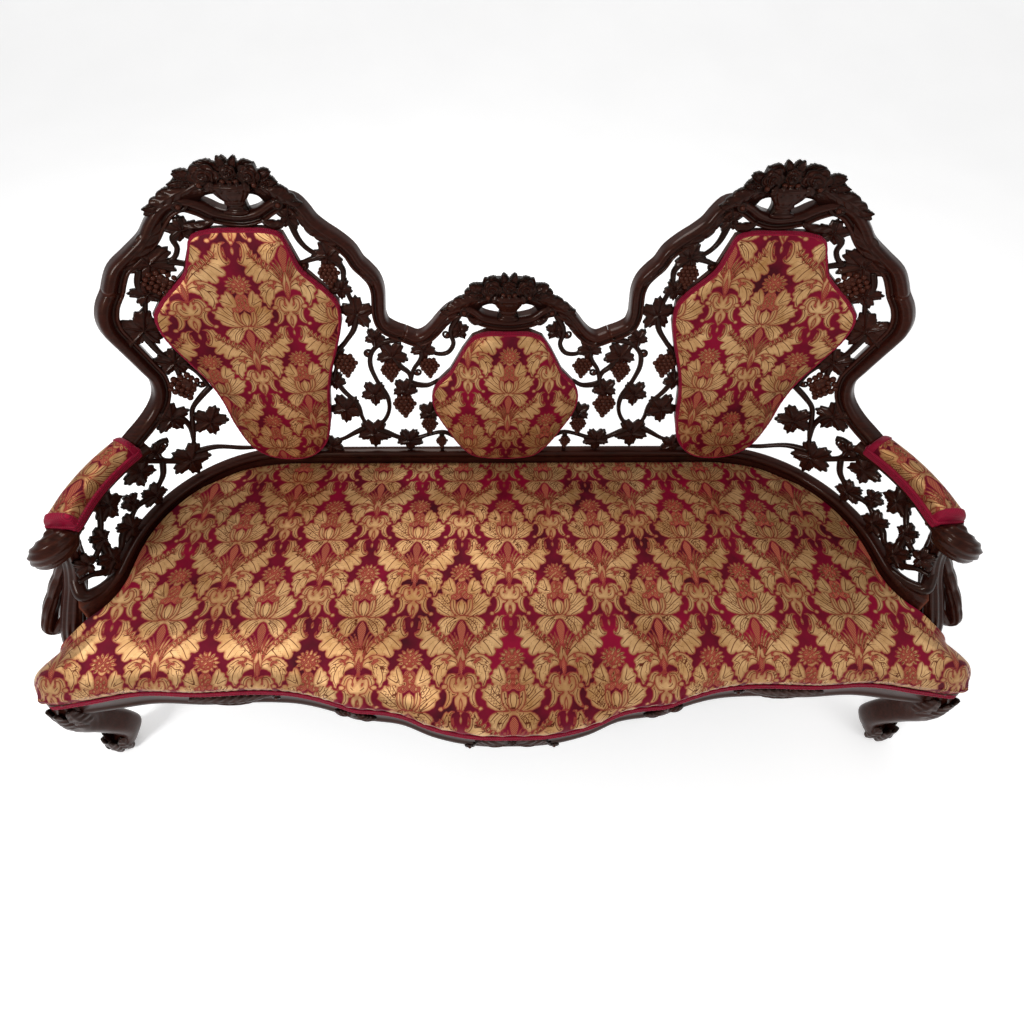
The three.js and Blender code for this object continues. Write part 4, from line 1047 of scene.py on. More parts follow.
    def curl(
        self, solid: Solid, ground: Ground, a: float, b: float, radius: float, way: int = 1,
        turns: float = 1.35, thick: float = 3.4, start: float = 0.0,
    ) -> None:
        """Carves a scroll that winds in to an eye.

        Args:
            solid: what it is added to.
            ground: the patch that it lies on.
            a: its place across.
            b: its place up.
            radius: its radius, in millimetres.
            way: 1 or -1, for the side that it winds or faces to.
            turns: how many turns it winds.
            thick: half its thickness where it starts.
            start: the angle where it starts.
        """
        t = np.linspace(0, 1, 46)
        angle = start + way * 2 * np.pi * turns * t
        reach = radius * (1 - 0.8 * t)
        x, y = a + reach * np.cos(angle), b + reach * np.sin(angle)
        line = ground(x, y, 3 + 4 * t)
        solid.tube(line, thick * MM * (1 - 0.35 * t), 9)
        solid.bead(line[-1], thick * 1.25 * MM)

    def flower(
        self, solid: Solid, ground: Ground, a: float, b: float, radius: float, petals: int = 6,
        rise: float = 9,
    ) -> None:
        """Carves an open rose: rings of cupped petals round a bud.

        Args:
            solid: what it is added to.
            ground: the patch that it lies on.
            a: its place across.
            b: its place up.
            radius: its radius, in millimetres.
            petals: how many outer petals it has.
            rise: how far it stands up.
        """
        angle = around(96)[None]
        profile = np.array(ROSE)
        ring, tier, count = (profile[:, [k]] for k in range(3))
        count = np.where(count > 0, count, petals)
        wave = np.abs(np.cos(count * angle / 2 + count))
        scallop = 1 - 0.2 * (1 - wave) * np.minimum(2 * ring, 1)
        high = rise * tier * (0.84 + 0.16 * wave)
        x, y = a + radius * ring * scallop * np.cos(angle), b + radius * ring * scallop * np.sin(angle)
        top = ground(x, y, high)
        under = ground(x[::-1], y[::-1], np.full_like(high, -self.depth))
        solid.loft(np.concatenate([top, under]))

    def blade(
        self, solid: Solid, ground: Ground, spine: Table, width: float, rise: float = 8.0, teeth: int = 5
    ) -> None:
        """Carves a pointed leaf with a midrib and a toothed edge.

        Args:
            solid: what it is added to.
            ground: the patch that it lies on.
            spine: the places of its midrib.
            width: half its width at the widest.
            rise: how far it stands up.
            teeth: how many teeth each side has.
        """
        line = spline(spine, 1.8)
        share = np.linspace(0, 1, len(line))[:, None]
        t = np.linspace(-1, 1, 15)[None]
        tooth = 1 - 0.26 * ((share * teeth) % 1.0) * np.abs(t) ** 2
        half = width * np.sin(np.pi * np.clip(share, 0.1, 0.985) ** 0.8) * tooth * t
        lean = 0.3 * width * np.abs(t) ** 2 * np.sin(np.pi * share)
        curve = np.sin(np.pi * (0.15 + 0.75 * share))
        high = rise * curve * (0.35 + 0.65 * np.abs(t) ** 1.5) + 2.2 * hump(t, 0, 0.14) * curve
        high += 0.7 * np.cos(2 * np.pi * (share * teeth - np.abs(t))) * np.abs(t) * curve
        self.lay(solid, ground, line, half, lean, high)


ROSE = [
    [0.03, 0.75, 3], [0.12, 0.74, 3], [0.27, 1.08, 3], [0.31, 0.95, 3], [0.32, 0.5, 3], [0.44, 0.5, 5],
    [0.6, 0.86, 5], [0.64, 0.74, 5], [0.65, 0.26, 5], [0.83, 0.3, 0], [0.96, 0.6, 0], [1.0, 0.48, 0],
]
CARVER = Carver()


# Places of the back's pieces, in thousandths of its reach along and of its rise

CENTRE_CREST = thousandths(
    2, 0, 561, 38, 566, 68, 579, 92, 605, 118, 613, 141, 600, 163, 570, 186, 531, 208, 505, 230, 496, 262,
    513,
)
SIDE_CREST = thousandths(
    2, 262, 513, 290, 529, 312, 552, 320, 590, 319, 630, 318, 680, 325, 717, 341, 747, 358, 772, 374, 812,
    400, 846, 430, 876, 453, 905, 468, 937, 485, 962, 509, 966, 532, 952, 560, 929, 604, 916, 645, 927, 666,
    950, 690, 967, 714, 955, 735, 920, 755, 876, 785, 838, 812, 807, 827, 772, 836, 746,
)
STILE = thousandths(
    2, 836, 746, 852, 713, 863, 675, 866, 636, 863, 607, 855, 550, 846, 486, 839, 429, 847, 371, 866, 331,
    900, 294, 952, 262,
)
SIDE_PANEL = thousandths(
    2, 0, 1000, 300, 998, 440, 983, 510, 930, 600, 860, 880, 775, 985, 730, 985, 650, 880, 540, 755, 430, 685,
    330, 640, 200, 520, 80, 300, 18, 0, 0,
)
CENTRE_PANEL = thousandths(
    2, 0, 1000, 300, 998, 450, 965, 580, 870, 750, 715, 940, 615, 1000, 530, 970, 420, 780, 235, 620, 110,
    450, 30, 200, 3, 0, 0,
)
INNER_STEMS = [thousandths(2, *stem) for stem in (
    (500, 930, 484, 850, 459, 812, 423, 801), (423, 801, 462, 788, 492, 772),
    (423, 801, 394, 755, 395, 707, 373, 600),
    (373, 600, 385, 540, 410, 490, 440, 437, 443, 390, 452, 340, 436, 287, 402, 220, 394, 160, 380, 111),
    (270, 500, 319, 484, 348, 445, 355, 395, 343, 330, 318, 251, 318, 196, 335, 145, 363, 111),
    (296, 436, 278, 390, 256, 360, 252, 321, 262, 270, 273, 220), (212, 480, 222, 420, 243, 375, 252, 331),
    (252, 318, 232, 309, 205, 309, 180, 330),
    (363, 111, 330, 88, 292, 63, 244, 63, 213, 78, 170, 90, 130, 60), (388, 115, 425, 84, 457, 58, 500, 40),
    (118, 600, 143, 530, 137, 480, 152, 446, 177, 440, 210, 460), (175, 92, 176, 50, 176, 0),
    (206, 170, 210, 120, 213, 78),
)]
OUTER_STEMS = [thousandths(2, *stem) for stem in (
    (700, 930, 701, 896, 720, 870, 719, 835, 733, 804, 766, 810), (740, 803, 722, 790, 700, 775),
    (785, 795, 797, 750, 798, 700, 812, 644, 827, 611),
    (826, 600, 822, 560, 812, 503, 785, 455, 768, 410, 761, 370, 757, 336), (790, 470, 800, 430, 801, 390),
    (752, 340, 784, 307, 807, 277, 820, 230, 832, 173, 855, 100), (860, 280, 840, 262, 831, 215, 838, 150),
    (850, 105, 800, 88, 740, 46, 700, 30), (887, 203, 906, 210, 921, 183, 919, 145, 885, 100),
    (980, 225, 960, 198, 940, 165, 915, 130, 875, 80), (922, 140, 940, 92, 962, 69, 983, 50),
    (983, 50, 1012, 62, 1036, 68, 1060, 55, 1081, 37), (1036, 68, 1047, 95, 1034, 114, 1024, 94),
    (1081, 37, 1104, 45, 1130, 26, 1169, 37), (1079, 220, 1105, 160, 1145, 116, 1180, 100, 1211, 114),
    (1148, 116, 1160, 80, 1169, 37), (1172, 25, 1200, 40, 1222, 70, 1250, 80),
)]
INNER_LEAVES = thousandths(
    4, 497, 925, 750, 620, 423, 801, 950, 550, 373, 600, 1100, 0, 335, 505, 700, 100, 296, 436, 1050, 500,
    215, 462, 850, 500, 352, 274, 950, 100, 434, 206, 1150, 520, 366, 90, 1200, 500, 206, 187, 850, 450, 267,
    56, 950, 500, 270, 292, 850, 480, 440, 430, 800, 700, 404, 690, 700, 300, 452, 330, 700, 300, 122, 535,
    650, 600, 488, 30, 800, 750,
)
OUTER_LEAVES = thousandths(
    4, 702, 893, 750, 400, 768, 808, 1100, 550, 822, 611, 1150, 250, 858, 278, 1050, 50, 786, 206, 1100, 500,
    866, 88, 1250, 500, 978, 165, 1000, 550, 1079, 165, 1000, 500, 1146, 118, 700, 100, 1170, 45, 950, 500,
    1214, 115, 750, 300, 985, 52, 850, 500, 1081, 40, 900, 900, 800, 470, 950, 450, 790, 720, 750, 600, 924,
    190, 600, 100, 1036, 100, 620, 200,
)
INNER_GRAPES = thousandths(
    3, 426, 736, 950, 416, 397, 1100, 303, 370, 950, 200, 388, 950, 273, 220, 1150, 208, 130, 850, 176, 50,
    620,
)
OUTER_GRAPES = [[0.764, 0.74, 1.05], [0.802, 0.37, 1.2]]
INNER_CURLS = [
    [0.143, 0.53, 13, 1, 2.6], [0.243, 0.375, 12, -1, 0.5], [0.492, 0.772, 11, 1, 0.4],
    [0.348, 0.445, 11, -1, 2.8], [0.402, 0.22, 12, 1, 2.2],
]
OUTER_CURLS = [
    [0.7, 0.775, 12, -1, 2.4], [0.812, 0.503, 12, 1, 0.6], [0.906, 0.21, 12, -1, 1.0],
    [0.761, 0.37, 11, 1, 2.4],
]
FRONT_LINE = thousandths(
    2, 0, 1000, 85, 970, 170, 800, 245, 530, 310, 440, 352, 400, 390, 270, 480, 60, 570, 0, 700, 40, 820, 0,
    920, 130, 1000, 240,
)
SEAT_HALF = 1030.0


# The damask's figure


@dataclass
class Motif:
    """The woven figure, kept as signed distances over one repeat, in millimetres.

    The figure is drawn once as the right half of a palmette, and repeats with a half drop.
    """

    wide: float = 228.6
    tall: float = 390.0
    pitch: float = 1.0
    layers: list[tuple[int, Array]] = field(default_factory=list)
    ribs: list[list[Array]] = field(default_factory=list)
    fields: Array | None = None

    def draw(self) -> None:
        """Draws every petal and keeps the distances on a fine table."""
        self.palmette()
        self.fields = self.measure()
        LOG.info("damask figure: %d petals", len(self.layers))

    def keep(self, kind: int, shape: Array, ribs: Sequence[Array], both: bool) -> None:
        """Keeps a shape with its veins, and its mirror image where both are wanted.

        Args:
            kind: its layer: 0 and 1 are gold, 2 is the netted pink.
            shape: its closed outline.
            ribs: the lines of its veins.
            both: whether its mirror image is kept too.
        """
        for flip in ([1, 1], [-1, 1]) if both else ([1, 1],):
            self.layers.append((kind, shape * flip))
            self.ribs.append([rib * flip for rib in ribs] or [np.array(pairs(900, 0, 900, 1.0))])

    def petal(self, kind: int, spine: Table, width: float, blunt: float = 0.9, both: bool = True) -> None:
        """Adds a petal along a curved midrib.

        Args:
            kind: its layer: 0 and 1 are gold, 2 is the netted pink.
            spine: its midrib, from the base to the tip, across and down from the crown.
            width: half its width.
            blunt: how soon it widens, below 1 for a round end.
            both: whether its mirror image is drawn too.
        """
        line = spline(spine, 3)
        way = headings(line)
        side = crosswise(way)
        share = np.linspace(0, 1, len(line))[:, None]
        half = width * np.sin(np.pi * np.clip(share, 0.0, 1) ** blunt) ** 0.8
        shape = np.concatenate([line + side * half, (line - side * half)[::-1][1:-1]])
        self.keep(kind, shape, [line], both)

    def round(self, kind: int, centre: Sequence[float], wide: float, tall: float, both: bool = False) -> None:
        """Adds a round boss to a layer.

        Args:
            kind: its layer: 0 and 1 are gold, 2 is the netted pink.
            centre: its middle.
            wide: half its width.
            tall: half its height.
            both: whether its mirror image is kept too.
        """
        t = around(28)
        shape = np.stack([centre[0] + wide * np.cos(t), centre[1] + tall * np.sin(t)], -1)
        self.keep(kind, shape, [], both)

    def leaf(
        self, kind: int, outline: Table, ribs: Sequence[Table] = (), notch: float = 1.6, plain: float = 14,
        both: bool = True,
    ) -> None:
        """Adds a broad leaf with a scalloped edge and drawn veins.

        Args:
            kind: its layer: 0 and 1 are gold, 2 is the netted pink.
            outline: its edge, from its base and back to it.
            ribs: the lines of its veins.
            notch: how deep the scallops are.
            plain: how much of the edge stays smooth at either side of its base.
            both: whether its mirror image is drawn too, or the shape itself is closed by mirroring.
        """
        given = list(outline) if both else [*outline, *mirrored(outline)[1:]]
        line = spline([*given, given[0]], 1.6)[:-1]
        run = np.arange(len(line)) * 1.6
        out = -crosswise(loop_headings(line)) * np.sign(enclosed(line))
        mask = np.clip(np.minimum(run, run[-1] - run) / plain - 1, 0, 1)
        wave = np.abs(np.sin(np.pi * run / 8.2)) ** 0.7 - 0.55
        shape = line + out * (notch * wave * mask)[:, None]
        self.keep(kind, shape, [spline(rib, 3) for rib in ribs], both)

    def palmette(self) -> None:
        """Draws the parts of the figure, from the big leaves to the crown."""
        self.big_leaves()
        self.stalk()
        self.lotus()
        self.head()
        self.foot()

    def big_leaves(self) -> None:
        """The pair of acanthus leaves that rise from the waist, and the pair that droops from it."""
        rising = pairs(
            4, 198, 14, 178, 28, 160, 44, 146, 58, 136, 69, 124, 76, 112, 82, 103, 90, 107, 89, 117, 81, 126,
            91, 130, 100, 141, 96, 151, 87, 153, 94, 161, 93, 171, 84, 175, 76, 173, 78, 182, 71, 190, 61,
            189, 55, 184, 51, 191, 40, 193, 32, 188, 28, 193, 16, 196,
        )
        ribs = [
            pairs(6, 196, 24, 174, 46, 155, 66, 139, 78, 124, 84, 109), pairs(69, 135, 80, 135, 95, 143),
            pairs(59, 144, 72, 152, 88, 166), pairs(46, 155, 58, 167, 69, 185),
            pairs(28, 170, 37, 178, 45, 188),
        ]
        self.leaf(0, rising, ribs, 1.2)
        for x, y in ((73, 124), (64, 132), (55, 140), (46, 147), (37, 155)):
            self.petal(1, [[x + 4, y + 9], [x + 1, y + 2], [x - 5, y - 7]], 4.4, 1.1)
        drooping = pairs(
            4, 202, 16, 192, 30, 185, 46, 186, 60, 193, 69, 203, 64, 210, 69, 219, 62, 225, 64, 234, 56, 239,
            54, 248, 47, 252, 46, 243, 40, 240, 41, 232, 33, 228, 31, 219, 22, 213, 13, 210, 6, 211,
        )
        ribs = [
            pairs(6, 205, 24, 198, 42, 204, 52, 218, 55, 232, 49, 247), pairs(30, 196, 44, 191, 60, 201),
            pairs(46, 208, 56, 208, 63, 215), pairs(22, 198, 30, 206, 34, 220),
        ]
        self.leaf(1, drooping, ribs)
        for x, y in ((27, 191), (34, 196), (41, 196), (31, 202)):
            self.round(2, (x, y), 3.1, 2.8, True)

    def stalk(self) -> None:
        """The waist, the netted bulb over it and the stems that hold the bulb."""
        self.petal(1, pairs(9, 192, 17, 170, 28, 154, 38, 144), 3.0, 1.0)
        self.petal(0, pairs(6, 190, 11, 168, 20, 150, 31, 137), 3.0, 1.0)
        self.petal(1, pairs(3, 188, 6, 166, 13, 146, 19, 134), 2.6, 1.0)
        self.petal(0, pairs(0, 164, 0, 184, 0, 208, 0, 232), 8.5, 1.1, False)
        self.petal(2, pairs(0, 190, 0, 202, 0, 214, 0, 228), 3.8, 1.1, False)
        self.leaf(2, pairs(0, 112, 5, 119, 9, 128, 8, 140, 5, 152, 3, 164, 0, 168), notch=0, both=False)

    def lotus(self) -> None:
        """The broad open flower with its bulb."""
        skirt = pairs(
            0, 103, 20, 103, 38, 105, 51, 112, 56, 121, 50, 128, 49, 138, 41, 141, 35, 148, 29, 144, 20, 135,
            13, 124, 7, 114, 0, 110,
        )
        ribs = [
            pairs(12, 108, 24, 114, 34, 125, 37, 138), pairs(18, 104, 36, 109, 49, 121),
            pairs(12, 114, 20, 122, 27, 134),
        ]
        self.leaf(1, skirt, ribs)
        side = pairs(
            12, 104, 30, 104, 46, 100, 58, 93, 60, 84, 70, 78, 66, 70, 72, 61, 60, 59, 55, 50, 44, 54, 38, 46,
            28, 52, 22, 60, 18, 72, 14, 88,
        )
        ribs = [
            pairs(26, 92, 40, 81, 52, 71, 64, 63), pairs(22, 82, 28, 67, 37, 53),
            pairs(32, 76, 40, 68, 47, 58), pairs(30, 100, 44, 93, 56, 84),
        ]
        self.leaf(0, side, ribs)
        inner = pairs(2, 104, 14, 101, 23, 91, 26, 76, 22, 58, 15, 64, 13, 78, 9, 90, 2, 98)
        self.leaf(1, inner, [pairs(6, 101, 17, 88, 20, 68)], 0)
        bulb = pairs(0, 62, 4, 68, 10, 72, 13, 81, 12, 91, 7, 99, 0, 102)
        self.leaf(0, bulb, [pairs(5, 71, 7, 82, 3, 98), pairs(-5, 71, -7, 82, -3, 98)], 0, both=False)

    def head(self) -> None:
        """The netted neck, its scalloped shoulders and the crown flower."""
        self.leaf(2, pairs(0, 20, 10, 24, 15, 36, 22, 48, 25, 60, 12, 66, 0, 60), notch=0, both=False)
        for x, y in ((0, 30), (0, 42), (0, 54), (7, 36), (8, 48), (16, 47), (15, 59)):
            self.petal(0, [[x, y - 6], [x, y], [x, y + 6]], 3.6, 1.0, x > 0)
        shoulder = pairs(
            15, 52, 13, 40, 17, 26, 24, 15, 31, 12, 35, 20, 43, 22, 44, 30, 51, 35, 47, 42, 45, 50, 34, 51,
            24, 55,
        )
        self.leaf(0, shoulder, [pairs(22, 44, 27, 32, 30, 19), pairs(27, 47, 38, 41, 46, 37)], 1.4, 8)
        self.round(2, (0, 0), 19, 16)
        for index in range(14):
            angle = 2 * math.pi * (index + 0.5) / 14
            across, down = math.sin(angle), -math.cos(angle)
            near, far = [across * 13, down * 11], [across * 31, down * 25]
            middle = [(near[0] + far[0]) / 2, (near[1] + far[1]) / 2]
            self.petal(index % 2, [near, middle, far], 3.6, 0.9, False)
        for x, y in ((0, -9), (9, -3), (0, 2), (6, 8)):
            self.round(0, (x, y), 3.9, 3.6, x > 0)
        self.leaf(1, pairs(0, 24, 7, 20, 9, 12, 4, 14, 0, 16), notch=0, both=False)

    def foot(self) -> None:
        """The twin curls under the waist, the shield, its buds and the inward scrolls."""
        ring = pairs(0, 240, 5, 230, 14, 223, 26, 225, 34, 238, 32, 256, 20, 267, 8, 267, 0, 271)
        self.leaf(0, ring, (), 0, both=False)
        self.petal(1, pairs(3, 262, 16, 266, 28, 257, 31, 242, 24, 229, 13, 229, 10, 238), 6.6, 0.95)
        self.petal(0, pairs(3, 256, 10, 254, 17, 247, 18, 239), 4.2, 1.0)
        self.petal(2, pairs(8, 248, 11, 243, 12, 238), 2.2, 1.0)
        self.leaf(0, pairs(0, 306, 6, 296, 13, 284, 13, 272, 6, 266, 0, 269), notch=0, both=False)
        self.petal(1, pairs(0, 272, 0, 282, 0, 298), 3.4, 1.0, False)
        self.petal(1, pairs(34, 250, 26, 262, 25, 275, 31, 286, 42, 294), 6.6, 0.9)
        self.round(0, (36, 250), 7.5, 5, True)
        self.round(0, (43, 293), 5.5, 4.5, True)
        self.petal(0, pairs(10, 298, 21, 300, 26, 313, 24, 330, 16, 341, 9, 336, 12, 327), 5.6, 0.95)
        self.petal(1, pairs(17, 306, 18, 318, 14, 329), 2.8, 1.0)
        self.petal(1, pairs(0, 306, 0, 314, 0, 324), 3.2, 1.0, False)

    def measure(self) -> Array:
        """Distances of the three layers and of the nearest rib, over one repeat.

        Returns:
            Four tables of distances, kept within 30 mm.
        """
        across = np.arange(0, self.wide / 2 + self.pitch, self.pitch)
        down = np.arange(0, self.tall, self.pitch)
        a, b = np.meshgrid(across, down, indexing="ij")
        spots = np.stack([a.ravel(), b.ravel()], -1)
        best = np.full((3, len(spots)), 30.0)
        vein = np.full(len(spots), 30.0)
        half, drop = self.wide / 2, self.tall / 2
        shifts = [(0, 0), (0, self.tall), (0, -self.tall), (half, drop + self.tall)]
        shifts += [(way * half, turn * drop) for way in (1, -1) for turn in (1, -1)]
        for (kind, shape), ribs in zip(self.layers, self.ribs):
            for dx, dy in shifts:
                moved = shape + [dx, dy]
                low, high = moved.min(0) - 12, moved.max(0) + 12
                near = np.nonzero(np.all((spots >= low) & (spots <= high), axis=1))[0]
                if not len(near):
                    continue
                gap = signed_gap(spots[near], moved)
                for layer in range(3):
                    if layer == kind:
                        best[layer, near] = np.minimum(best[layer, near], gap)
                    else:
                        best[layer, near] = np.maximum(best[layer, near], -gap)
                offs = np.stack([side_gap(spots[near], rib + [dx, dy]) for rib in ribs])
                off = offs[np.abs(offs).argmin(0), np.arange(len(near))]
                vein[near] = np.where(gap < 0, off, vein[near])
        stacked = np.concatenate([best, vein[None]]).reshape(4, *a.shape)
        return np.clip(stacked, -30, 30)

    def read(self, across: Array, down: Array) -> Array:
        """Distances at places on the cloth.

        Args:
            across: millimetres from a figure's axis.
            down: millimetres from a crown's middle toward the figure's foot.

        Returns:
            Rows of four distances.
        """
        x = np.mod(across, self.wide)
        y = np.asarray(down, float)
        x = np.where(x > self.wide / 2, self.wide - x, x)
        y = np.mod(y, self.tall)
        rows, columns = self.fields.shape[1:]
        fx = np.clip(x / self.pitch, 0, rows - 1.001)
        fy = y / self.pitch
        i, j = fx.astype(int), fy.astype(int) % columns
        u, v = fx - i, fy - fy.astype(int)
        k = (j + 1) % columns
        parts = self.fields
        low = parts[:, i, j] * (1 - u) + parts[:, i + 1, j] * u
        high = parts[:, i, k] * (1 - u) + parts[:, i + 1, k] * u
        return (low * (1 - v) + high * v).T

    def lay(self, thing: Thing, across: Array, down: Array) -> None:
        """Keeps the figure's distances and the cloth's own places on a mesh.

        Args:
            thing: the mesh object.
            across: millimetres from a figure's axis.
            down: millimetres from a crown's middle.
        """
        found = self.read(across, down)
        for name, values in (("figure", found[:, :3]), ("cloth", np.stack([across, down, found[:, 3]], -1))):
            made = thing.data.attributes.new(name, "FLOAT_VECTOR", "POINT")
            made.data.foreach_set("vector", np.ascontiguousarray(values, np.float32).ravel())


def signed_gap(spots: Array, shape: Array) -> Array:
    """Distances from spots to a closed outline, below zero inside it.

    Args:
        spots: places on the cloth.
        shape: the outline's points.

    Returns:
        One distance to a spot.
    """
    start, end = shape, np.roll(shape, -1, 0)
    way = end - start
    square = np.maximum((way**2).sum(1), 1e-9)
    gap = spots[:, None] - start[None]
    t = np.clip((gap * way[None]).sum(2) / square[None], 0, 1)
    near = np.sqrt((((gap - t[..., None] * way[None]) ** 2).sum(2)).min(1))
    crosses = (start[None, :, 1] > spots[:, None, 1]) != (end[None, :, 1] > spots[:, None, 1])
    rise = np.where(np.abs(way[:, 1]) < 1e-12, 1e-12, way[:, 1])
    where = start[None, :, 0] + (spots[:, None, 1] - start[None, :, 1]) / rise[None] * way[None, :, 0]
    inside = (crosses & (spots[:, None, 0] < where)).sum(1) % 2 == 1
    return np.where(inside, -near, near)


def side_gap(spots: Array, line: Array) -> Array:
    """Distances from spots to an open line, below zero on one side of it.

    Args:
        spots: places on the cloth.
        line: the line's points.

    Returns:
        One distance to a spot.
    """
    start, way = line[:-1], np.diff(line, axis=0)
    square = np.maximum((way**2).sum(1), 1e-9)
    gap = spots[:, None] - start[None]
    t = np.clip((gap * way[None]).sum(2) / square[None], 0, 1)
    off = gap - t[..., None] * way[None]
    far = np.sqrt((off**2).sum(2))
    nearest = far.argmin(1)
    rows = np.arange(len(spots))
    turn = way[nearest, 0] * gap[rows, nearest, 1] - way[nearest, 1] * gap[rows, nearest, 0]
    return np.sign(turn) * far[rows, nearest]


MOTIF = Motif()


# Stuffing


@dataclass(frozen=True)
class Stuffing:
    """Swells a stuffed piece with a short cloth simulation, while its tacked edges are held."""

    pressure: float = 4.0
    frames: int = 20
    stiffness: float = 15.0
    cap: float = 0.006

    def moves(self, points: Array, faces: Iterable[Sequence[int]], held: Array) -> Array:
        """How the filling moves a coarse closed piece.

        Args:
            points: its points, in metres.
            faces: its faces, facing outward.
            held: which points are tacked down.

        Returns:
            The moves of the points, the longest of them no longer than the cap.
        """
        mesh = bpy.data.meshes.new("stuffing_trial")
        mesh.from_pydata(points.tolist(), [], [[int(k) for k in face] for face in faces])
        trial = bpy.data.objects.new("stuffing_trial", mesh)
        scene = bpy.context.scene
        scene.collection.objects.link(trial)
        trial.vertex_groups.new(name="tacks").add([int(k) for k in np.flatnonzero(held)], 1.0, "REPLACE")
        cloth = trial.modifiers.new("stuffing", "CLOTH")
        rules = cloth.settings
        rules.quality, rules.mass, rules.vertex_group_mass = 6, 0.3, "tacks"
        rules.tension_stiffness = rules.compression_stiffness = rules.shear_stiffness = self.stiffness
        rules.use_pressure, rules.uniform_pressure_force = True, self.pressure
        rules.effector_weights.gravity = 0
        cloth.collision_settings.use_collision = False
        for moment in range(1, self.frames + 1):
            scene.frame_set(moment)
        after = np.empty(len(points) * 3)
        trial.evaluated_get(bpy.context.evaluated_depsgraph_get()).data.vertices.foreach_get("co", after)
        bpy.data.objects.remove(trial)
        bpy.data.meshes.remove(mesh)
        scene.frame_set(1)
        moves = after.reshape(-1, 3) - points
        longest = float(np.linalg.norm(moves, axis=1).max())
        LOG.info("stuffing: longest move %.1f mm before the cap", longest / MM)
        return moves * min(1.0, self.cap / max(longest, 1e-9))

    def spread(self, moves: Array, at: Array, count: int, wide: int, round_by: bool = False) -> Array:
        """Moves at every row of the fine piece, eased between the coarse rows.

        Args:
            moves: moves of the coarse rows.
            at: which fine row each coarse row is.
            count: how many fine rows there are.
            wide: over how many rows they are eased.
            round_by: whether the last row meets the first.

        Returns:
            The moves of the fine rows.
        """
        fine = np.arange(count)
        low = np.clip(np.searchsorted(at, fine, side="right") - 1, 0, len(at) - 2)
        t = ((fine - at[low]) / (at[low + 1] - at[low]))[:, None, None]
        values = moves[low] * (1 - t) + moves[low + 1] * t
        for _ in range(2):
            before = values[-wide:] if round_by else np.repeat(values[:1], wide, 0)
            behind = values[:wide] if round_by else np.repeat(values[-1:], wide, 0)
            total = np.cumsum(np.concatenate([np.zeros_like(values[:1]), before, values, behind]), 0)
            values = (total[2 * wide + 1 :] - total[: -2 * wide - 1]) / (2 * wide + 1)
        return values

    def swell(self, rings: Array, held: int, steps: tuple[int, int] = (7, 10)) -> Array:
        """Swells a piece made of closed rings, whose first rings are tacked down.

        Args:
            rings: rings of points, one after another.
            held: how many rings are tacked down.
            steps: how many rings and points are skipped on the coarse copy.

        Returns:
            The swollen rings.
        """
        rows = np.unique(np.append(np.arange(0, len(rings), steps[0]), [held - 1, len(rings) - 1]))
        columns = np.arange(0, rings.shape[1], steps[1])
        coarse = rings[np.ix_(rows, columns)]
        high, wide = coarse.shape[:2]
        faces = [
            *grid_faces(high, wide, round_columns=True),
            range(wide)[::-1],
            range((high - 1) * wide, high * wide),
        ]
        tacked = np.repeat(rows < held, wide)
        moves = self.moves(coarse.reshape(-1, 3), faces, tacked).reshape(high, wide, 3)
        by_row = self.spread(moves, rows, len(rings), 3)
        closed = np.concatenate([by_row, by_row[:, :1]], 1).transpose(1, 0, 2)
        fine = self.spread(closed, np.append(columns, rings.shape[1]), rings.shape[1], 5, True)
        fade = np.clip((np.arange(len(rings)) - held + 1) / 4, 0, 1)[:, None, None]
        return rings + fine.transpose(1, 0, 2) * fade


STUFFING = Stuffing()


# The seat


def front_line(inset: float = 0.0, reach: float = SEAT_HALF, step: float = 6.0) -> Array:
    """The serpentine front line in plan, moved inward by a distance, from left to right.

    Args:
        inset: how far the line is moved inward.
        reach: how far from the middle it is kept.
        step: the distance wanted between its points.

    Returns:
        The line's points, in millimetres.
    """
    right = [[x * SEAT_HALF, -22.0 - y * 100.0] for x, y in FRONT_LINE]
    line = spline(mirrored(right)[:-1] + right, step)
    way = headings(line)
    line = line + crosswise(way) * inset
    return line[np.abs(line[:, 0]) <= reach]


def mirror_line(line: Array) -> Array:
    """A line in plan on the other side, run the same way along it."""
    return line * [-1, 1]


